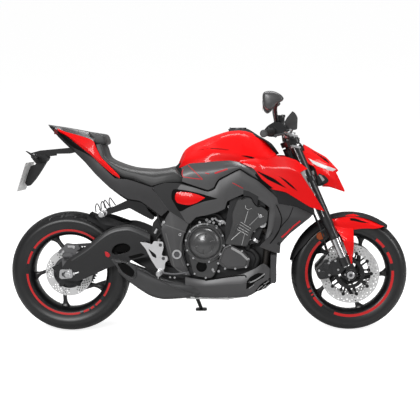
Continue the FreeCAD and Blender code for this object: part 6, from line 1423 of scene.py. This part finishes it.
def carrier(centre, outer, inner, y0, y1, arms, width, start=0):
    """A ring round the hub with arms that taper to a point under the disc's inner edge."""
    pieces = [plate(circle(centre, inner + 16, 48), y0, y1, [circle(centre, inner, 48)])]
    for a in np.radians(start + 360 * np.arange(arms) / arms):
        out, side = np.array([math.cos(a), math.sin(a)]), np.array([-math.sin(a), math.cos(a)])
        pieces.append(plate([centre + out * reach + side * width * share for reach, share in (
            (inner + 4, 1), (outer - 8, 0.7), (outer, 0), (outer - 8, -0.7), (inner + 4, -1))],
            y0, y1))
    return joined(*pieces)


build("front_disc_rings", both_sides(disc_ring(
    front_centre, 152, 108, 66, 71, (116, 125, 134, 143), 30)), disc_steel, "front_wheel",
      ["front_discs"])
build("front_disc_carriers", both_sides(joined(
    carrier(front_centre, 116, 60, 66.5, 72, 10, 5.5),
    plate(circle(front_centre, 76, 48), 66, 73, [circle(front_centre, 58, 48)]),
    *[drum(place, [(0, 66), (9, 66), (9, 74), (5, 74), (5, 72), (0, 72)], 14)
      for place in around(front_centre, 110, range(0, 360, 36))])), black_satin, "front_wheel",
      crease=30)
build("rear_disc_ring", disc_ring(
    rear_centre, 124, 84, 62, 67, (92, 100, 108, 116), 35, (4, 56)), disc_steel, "rear_wheel",
      ["rear_disc"])
build("rear_disc_carrier", joined(
    carrier(rear_centre, 94, 48, 62.5, 68, 5, 14, 20),
    plate(circle(rear_centre, 70, 48), 62, 69, [circle(rear_centre, 40, 48)])),
      black_satin, "rear_wheel", crease=30)
build("wheel_valves", tube([(1379, 0, 118), (1372, -20, 108), (1368, -34, 98)], 3, 8, 3),
      steel_bright, "front_wheel")

# Rear brake: a cast two-piston caliper above the disc in two bolted halves, on a bracket round
# the axle, with its line run along the arm.
caliper_grey = finish("caliper_grey", (0.13, 0.13, 0.135), (0.18, 0.18, 0.185),
                      (0.36, 0.46), depth=0.00006, metal=0.5)
rear_body = [
    (-48, 434), (-3, 461), (35, 461), (64, 448), (62, 410), (28, 386), (-5, 388), (-46, 408)]
build("rear_caliper_halves", joined(
    plate(rear_body, 70, 88, radius=8), plate(rear_body, 42, 58, radius=8),
    plate([(-16, 466), (56, 458), (59, 440), (-23, 443)], 44, 86, radius=4),
    plate([(-24, 300), (24, 300), (34, 396), (20, 418), (-24, 414), (-30, 380)], 98, 105,
          radius=10),
    plate([(-22, 378), (22, 378), (22, 402), (-22, 402)], 84, 105)),
      caliper_grey, "root", ["rear_caliper"], bevel=2, crease=35)
build("rear_caliper_pins", joined(
    screws(beside([(-35, 413), (-26, 424), (50, 417), (31, 447), (-22, 382)], 88), 7, 6),
    plate([(-2, 458), (33, 457), (37, 447), (0, 447)], 86, 92, radius=3)),
      steel_bright, "root")
build("rear_brake_line", tube([
    (50, -94, 430), (90, -112, 448), (140, -116, 470), (200, -114, 482), (260, -114, 470)],
    3, 8), hose_rubber, "root", crease=60)

# Foot rests: bright forged plates bolted to the pivot plates, with ribbed steel pegs and pedals,
# and bars behind them for the passenger's pegs and the luggage hooks.
plate_alloy = finish("forged_alloy", (0.66, 0.66, 0.67), (0.76, 0.76, 0.77),
                     (0.3, 0.42), depth=0.00004, metal=0.5)
hanger_bolts = [(492, 466), (506, 397)]
build("foot_plates", both_sides(joined(
    plate([
        (386, 482), (419, 478), (449, 468), (458, 486), (505, 482), (507, 450), (497, 417),
        (504, 407), (526, 408), (528, 388), (514, 374), (511, 343), (488, 331), (469, 349),
        (444, 389), (416, 446)], 160, 170,
          [[(427, 450), (468, 417), (471, 396), (450, 407)],
           *[circle(place, 8, 14) for place in hanger_bolts]], 6),
    *[drum(place, [(0, 138), (10, 138), (10, 162), (0, 162)], 14) for place in hanger_bolts])),
      plate_alloy, "root", ["foot_hangers"], bevel=1.5, crease=30)
build("foot_plate_bolts", both_sides(screws(beside(hanger_bolts, 166), 9, 6)),
      steel_dark, "root")
build("foot_pegs", both_sides(joined(
    spun([(0, 0), (13, 0)] + [(r, 6 + 8 * k + d) for k in range(10) for r, d in (
        (13, 0), (13, 4), (10.5, 5), (10.5, 8))] + [(13, 88), (11, 92), (0, 92)],
         (488, -170, 328), outward, 16),
    plate([(476, 316), (502, 316), (502, 342), (476, 342)], 166, 182, radius=6))),
      steel_bright, "root", ["footpegs"], crease=30)
build("foot_pedals", both_sides(joined(
    tube([(490, -178, 326), (560, -180, 318), (630, -180, 326)], 6, 10, 6),
    tube([(630, -174, 326), (632, -214, 328)], 8, 12, 2))), steel_dark, "root",
      crease=40)
build("foot_links", both_sides(joined(
    tube([(478, -168, 308), (478, -168, 292)], 3, 8, 2),
    screws(beside([(481, 332), (488, 315), (502, 331)], 170), 7, 8))),
      steel_bright, "root")
coat_node(moulded_black, "black_paint", "pillion_pegs")
build("pillion_hooks", both_sides(joined(*[
    tube(beside(line, 88), 3, 8, 5) for line in (
        [(151, 630), (149, 658), (156, 674), (167, 661), (179, 630)],
        [(199, 650), (193, 674), (198, 693), (210, 679), (228, 653)])])),
      steel_dark, "root", crease=60)
build("pillion_peg_ends", both_sides(joined(
    drum((194, 626), [(0, 92), (16, 92), (16, 97), (13, 99), (0, 99)], 20),
    drum((194, 626), [(11.4, 99), (11.4, 190), (15, 190), (15, 195), (12, 198), (0, 198)], 20))),
      steel_bright, "root")
build("pivot_nuts", both_sides(drum((574, 416), [
    (0, 148), (16, 148), (16, 162), (13, 165), (0, 165)], 6)), steel_dark, "root")
build("pivot_washers", both_sides(drum((574, 416), [
    (15, 150), (24, 150), (24, 160), (15, 160)], 24)), steel_bright, "root")

# Frame trim: satin grey moulded covers that carry the panels' line down over the pivot plates,
# with raised lines in a lighter grey along them as painted highlights, each held by three screws.
pivot_painted_highlight_grey = finish("pivot_edge_painted_highlight", (0.15, 0.15, 0.15), (0.19, 0.19, 0.19), (0.3, 0.4), metal=0.5)
pivot_surface = skin([
    [(508, 584, 144), (496, 547, 146), (511, 483, 146), (530, 412, 144), (543, 360, 142),
     (594, 313, 138)],
    [(542, 635, 152), (554, 547, 156), (565, 483, 156), (577, 412, 152), (589, 360, 148),
     (609, 307, 142)],
    [(642, 585, 152), (611, 514, 152), (601, 469, 150), (602, 411, 146), (622, 347, 144),
     (642, 303, 140)]], smooth_along=0.4, smooth_across=0.3)
build("pivot_plate_covers", side_sheet(pivot_surface, 2.5), panel_grey, "root",
      crease=30, bevel=1)
# Lighter grey lines along the covers' edges: painted highlights.
build("pivot_plate_painted_highlights", joined(
    line_on(pivot_surface, [(515, 568), (555, 554), (620, 529)], 5, 1.4, 0),
    line_on(pivot_surface, [(518, 523), (528, 483), (550, 393), (564, 345), (618, 311)], 5, 1.4),
    line_on(pivot_surface, [(607, 508), (592, 463), (593, 399), (608, 354)], 4, 1.4)),
      pivot_painted_highlight_grey, "root")
build("pivot_plate_screws", both_sides(screws(beside(
    [(591, 517), (622, 320), (509, 581)], 150), 8, 6)), steel_bright, "root")

# Handlebar: a bent steel tube clamped to the top yoke, with ribbed rubber grips pushed on to it,
# moulded switch pods, levers, a fluid pot and end weights, and bright bolts round the yokes.
bar = [(1126, -6, 1054), (1118, -120, 1056), (1084, -205, 1042), (1020, -386, 1026)]
bar_bend = np.array(bar[2], float)
bar_run = bar[3] - bar_bend
bar_way = bar_run / np.linalg.norm(bar_run)


def along_bar(share):
    """A point at a share of the straight outer run of the bar."""
    return bar_bend + bar_run * share


build("bar_tube", both_sides(tube(bar, 11.2, 14, 8)), black_satin, "steering",
      ["handlebar"], crease=60)
rib_pitch = 5.4
ribs = [(radius, 4 + rib_pitch * k + step) for k in range(20)
        for radius, step in ((17, 0), (17, 3), (15.6, 3.6), (15.6, 4.8))]
build("grip_rubbers", both_sides(spun([(0, 0), (20, 0), (20, 4), *ribs, (18, 116), (0, 116)],
                                      along_bar(0.36), bar_way, 20)),
      hose_rubber, "steering", ["grips"], crease=40)
build("bar_weights", both_sides(spun([(0, 0), (16, 0), (19, 4), (19, 8), (13, 13), (0, 13)],
                                     along_bar(0.975) - bar_way * 6, bar_way, 20)),
      steel_dark, "steering")
pod, pod_at = along_bar(0.1), along_bar(0.22)
build("switch_pods", both_sides(joined(
    spun([(0, 0), (19, 0), (24, 5), (25, 34), (21, 42), (0, 42)], pod, bar_way, 20),
    spun([(0, 0), (10, 0), (12, 18), (0, 18)], pod_at + (-18, 0, 6), (-1, 0, 0.2), 12),
    spun([(0, 0), (15, 0), (15, 10), (0, 10)], along_bar(0.34), bar_way, 16),
    plate([(1009, 1026), (1041, 1065), (1078, 1086), (1116, 1076), (1135, 1044), (1106, 1014),
           (1053, 1008)], 214, 262, radius=12))),
      moulded_black, "steering", ["controls"], bevel=2, crease=34)
lever = [(*(along_bar(share) + ahead), radius) for share, ahead, radius in (
    (0.20, (26, 0, -4), 8), (0.34, (58, 0, -10), 7), (0.60, (56, 0, -12), 6),
    (0.85, (50, 0, -12), 6), (0.96, (56, 0, -13), 8))]
build("hand_levers", both_sides(joined(
    tube(lever, 6, 10, 5),
    spun([(0, -9), (13, -9), (13, 9), (0, 9)], along_bar(0.22) + (30, 0, -4), (0, 0, 1), 16),
    screws([along_bar(share) + (-17, 0, 16) for share in (0.12, 0.3)], 4, 4,
           (-0.4, 0, 1)))), steel_dark, "steering", crease=50)
build("bar_knobs", both_sides(joined(
    spun([(0, 0), (9, 0), (10, 7), (7, 10), (0, 10)], pod_at + (-22, -4, 14), (-1, -0.4, 0.3), 14),
    spun([(0, 0), (7, 0), (7, 5), (0, 5)], pod_at + (8, -8, 24), (0.2, 0, 1), 12))),
      steel_bright, "steering")
build("fluid_pots", joined(
    spun([(0, 0), (21, 0), (24, 5), (24, 42), (27, 43), (27, 53), (24, 56), (0, 56)],
         (1102, -196, 1064), (0.04, 0, 1), 28),
    tube([(1092, -190, 1068), (1082, -198, 1052), (1078, -206, 1046)], 5, 8, 4)),
      lens_dark, "steering", crease=40)
build("bar_clamps", both_sides(joined(
    plate([(1102, 1030), (1148, 1030), (1152, 1052), (1140, 1070), (1108, 1070), (1098, 1052)],
          34, 66, radius=6),
    screws([(1108, -40, 1068), (1142, -40, 1068), (1108, -60, 1068), (1142, -60, 1068)], 5,
           6, (0, 0, 1)))), steel_dark, "steering", bevel=2)
build("yoke_rings", both_sides(joined(
    spun([(26, 0), (33, 0), (33, 7), (26, 7)], leg(958, 106), fork_way, 24),
    spun([(24, 0), (30, 0), (30, 9), (24, 9)], leg(1012, 106), fork_way, 24),
    tube([(1118, -96, 1036), (1142, -112, 1030), (1166, -122, 1020), (1180, -126, 1004)], 3.5, 8,
         6),
    tube([(1122, -110, 1020), (1150, -124, 1006), (1176, -130, 1000)], 3, 8, 6),
    screws([(1130, -126, 1022), (1156, -130, 1012), (1170, -132, 976), (1142, -120, 992)], 6,
           7))), steel_bright, "steering", crease=40)
build("yoke_bolts", both_sides(joined(
    screws([(1126, -70, 1004), (1126, -84, 1006), (1160, -98, 1000), (1176, -100, 992)], 7, 8,
           (0.3, 0, 1)),
    tube([(1180, -92, 990), (1196, -88, 1000), (1204, -70, 998)], 4, 8, 4),
    plate([(1136, 1018), (1192, 1006), (1196, 1016), (1140, 1028)], 118, 134, radius=3),
    plate([(1150, 962), (1206, 948), (1210, 958), (1154, 972)], 128, 136, radius=3),
    spun([(0, 0), (6, 0), (6, 10), (0, 10)], (1158, -132, 1040), (0, -1, 0.3), 10),
    spun([(0, 0), (6, 0), (6, 10), (0, 10)], (1180, -134, 986), outward, 10))),
      steel_bright, "steering")
coat_node(black_satin, "dark_alloy", "yokes")
# Thin bright lines down the fork legs: painted highlights.
build("fork_painted_highlight_lines", both_sides(tube([np.add(leg(z, 130), (-8, 0, 0)) for z in (
    960, 860, 760, 600)], 2.2, 8, 2)), steel_bright, "steering", crease=60)
build("switch_lock", spun([(0, 0), (17, 0), (17, 14), (14, 17), (0, 17)], (1150, 0, 1010),
                          (-0.3, 0, 1), 20), steel_bright, "steering")

# Mirrors: a swept moulded head with its glass facing the rider, on a black steel stem on each
# side that is screwed into the bracket of the lever.
mirror_side = [
    (1019, 1223), (1044, 1230), (1075, 1227), (1103, 1213), (1121, 1193), (1111, 1178),
    (1084, 1170), (1063, 1146), (1045, 1134), (1025, 1150), (1016, 1192)]


def lobed(outline, near, far):
    """A shell over an outline of (x, z) from a near to a far distance out. It shrinks towards
    both ends as a superellipse does."""
    roundness = 2.6
    ring = rounded(outline, 14, 5)
    t = np.linspace(-1, 1, 15)
    size = 0.22 + 0.78 * (1 - np.abs(t) ** roundness).clip(0, 1) ** (1 / roundness)
    middle = ring.mean(0)
    out = near + (far - near) * (np.sin(t * math.pi / 2) + 1) / 2
    return capped(stood(middle + (ring - middle) * size[:, None, None], out[:, None]))


build("mirror_heads", both_sides(lobed(mirror_side, 352, 452)), panel_grey, "steering",
      ["mirrors"], crease=40)
stem_top = (1088, 1175)
build("mirror_stems", both_sides(joined(
    tube([(1092, -186, 1052, 11), (1090, -200, 1064, 10), (1086, -250, 1100, 8.5),
          (1080, -320, 1146, 8.5), (stem_top[0], -366, stem_top[1], 8),
          (stem_top[0] - 6, -384, stem_top[1] + 14, 10)], 6, 12, 6),
    spun([(0, 0), (12, 0), (12, 16), (9, 20), (0, 20)], (1092, -186, 1040), (0, -0.2, 1), 6))),
      black_satin, "steering", crease=50)
build("mirror_glasses", both_sides(spun([(0, 0), (30, 0), (30, 2), (0, 2)], (
    1021, -402, 1183), (-1, 0, 0.05), 28)), chrome, "steering")

# Instrument: a flat display under dark glass in a sloping moulded housing, held above the top
# yoke by two bent rods.
screen_side = [
    (1132, 1079), (1146, 1107), (1174, 1138), (1186, 1127), (1197, 1106), (1194, 1045),
    (1170, 1041), (1137, 1048)]
build("display_housing", both_sides(plate(screen_side, 0, 66, radius=8)), panel_grey,
      "steering", ["instrument"], bevel=4, crease=34)
build("display_screen", both_sides(plate([
    (1129, 1082), (1145, 1109), (1172, 1140), (1176, 1136), (1150, 1107), (1135, 1079)],
    0, 58)), lens_dark, "steering", bevel=1)
build("display_stay", both_sides(joined(
    tube([(1150, -30, 1000), (1160, -34, 1024), (1170, -36, 1046)], 6, 10, 4),
    tube([(1120, -60, 1046), (1140, -66, 1040), (1170, -60, 1050)], 4, 8, 4))),
      black_satin, "steering", crease=60)

# Cables and brake hoses: black rubber. The cables leave the switch pods and run down past the
# neck, the hoses keep the CAD solid's shape.
coat_node(hose_rubber, "rubber", "brake_hoses")
build("bar_cables", joined(
    tube([(1090, -190, 1040), (1144, -168, 1012), (1192, -134, 985), (1222, -92, 950),
          (1236, -56, 905)], 4.5, 8, 8),
    tube([(1092, 190, 1040), (1146, 168, 1010), (1194, 134, 982), (1222, 92, 946),
          (1236, 56, 900)], 4.5, 8, 8)), hose_rubber, "steering", crease=60)

# Fuel filler: a cast cap with a key cover, hinged on a ring that is screwed into the tank. It
# keeps the CAD solid's shape and gets its metal here.
coat_node(steel_dark, "cast_alloy", "fuel_cap")

# Plate hanger: a black moulded arm screwed under the tail, with the blank plate bolted to it, a
# lamp and two indicators on rubber stalks, and the red lens of the tail lamp above it.
hanger_side = [
    (-230, 951), (-204, 938), (-150, 952), (9, 965), (56, 946), (8, 934), (-70, 933),
    (-66, 924), (-118, 919), (-111, 904), (-126, 881), (-153, 839), (-181, 800), (-211, 767),
    (-223, 765), (-235, 781), (-223, 819), (-214, 844), (-202, 871), (-172, 881), (-192, 906),
    (-200, 926)]
build("hanger_arm", both_sides(plate(hanger_side, 0, 17, radius=4)), moulded_black, "root",
      ["plate_hanger"], bevel=2, crease=34)
build("hanger_lamp", both_sides(joined(
    plate([(-197, 924), (-171, 934), (-120, 929), (-104, 916), (-115, 895), (-149, 888),
           (-181, 896)], 0, 30, radius=5),
    spun([(0, 0), (7, 0), (7, 6), (0, 6)], (-146, -30, 902), outward, 12))),
      moulded_black, "root", bevel=1.5)
build("indicator_stalks", both_sides(joined(
    tube([(-160, -16, 916), (-162, -60, 918), (-160, -82, 920)], 6, 10, 4),
    tube([(-162, -78, 920, 8), (-162, -90, 922, 15), (-162, -112, 924, 16),
          (-160, -118, 926, 10)], 6, 14, 4))), black_satin, "root", crease=50)
build("indicator_lenses", both_sides(spun([(0, 0), (12, 0), (11, 4), (0, 6)], (-172, -100, 924),
                                          (-1, 0, 0), 16)), reflector_amber, "root")
build("plate_bolts", both_sides(screws([(-216, -60, 866)], 5, 4, (-0.95, 0, 0.3))),
      steel_bright, "root")
plate_white = finish("plate_blank", (0.88, 0.88, 0.87), (0.94, 0.94, 0.93), (0.34, 0.44),
                     grain=500, coat=0.2)
coat_node(plate_white, "plate", "number_plate")
tail_red = finish("tail_red", (0.10, 0.004, 0.005), (0.16, 0.006, 0.008), (0.12, 0.2),
                  grain=300, coat=0.8)
coat_node(tail_red, "red_lens", "tail_lamp")

# Side stand and shock: a bent steel leg that turns on its bolt, and a damper inside its spring,
# both painted black. They keep the CAD solids' shapes.
coat_node(black_satin, "black_paint", "side_stand", "shock_absorber")
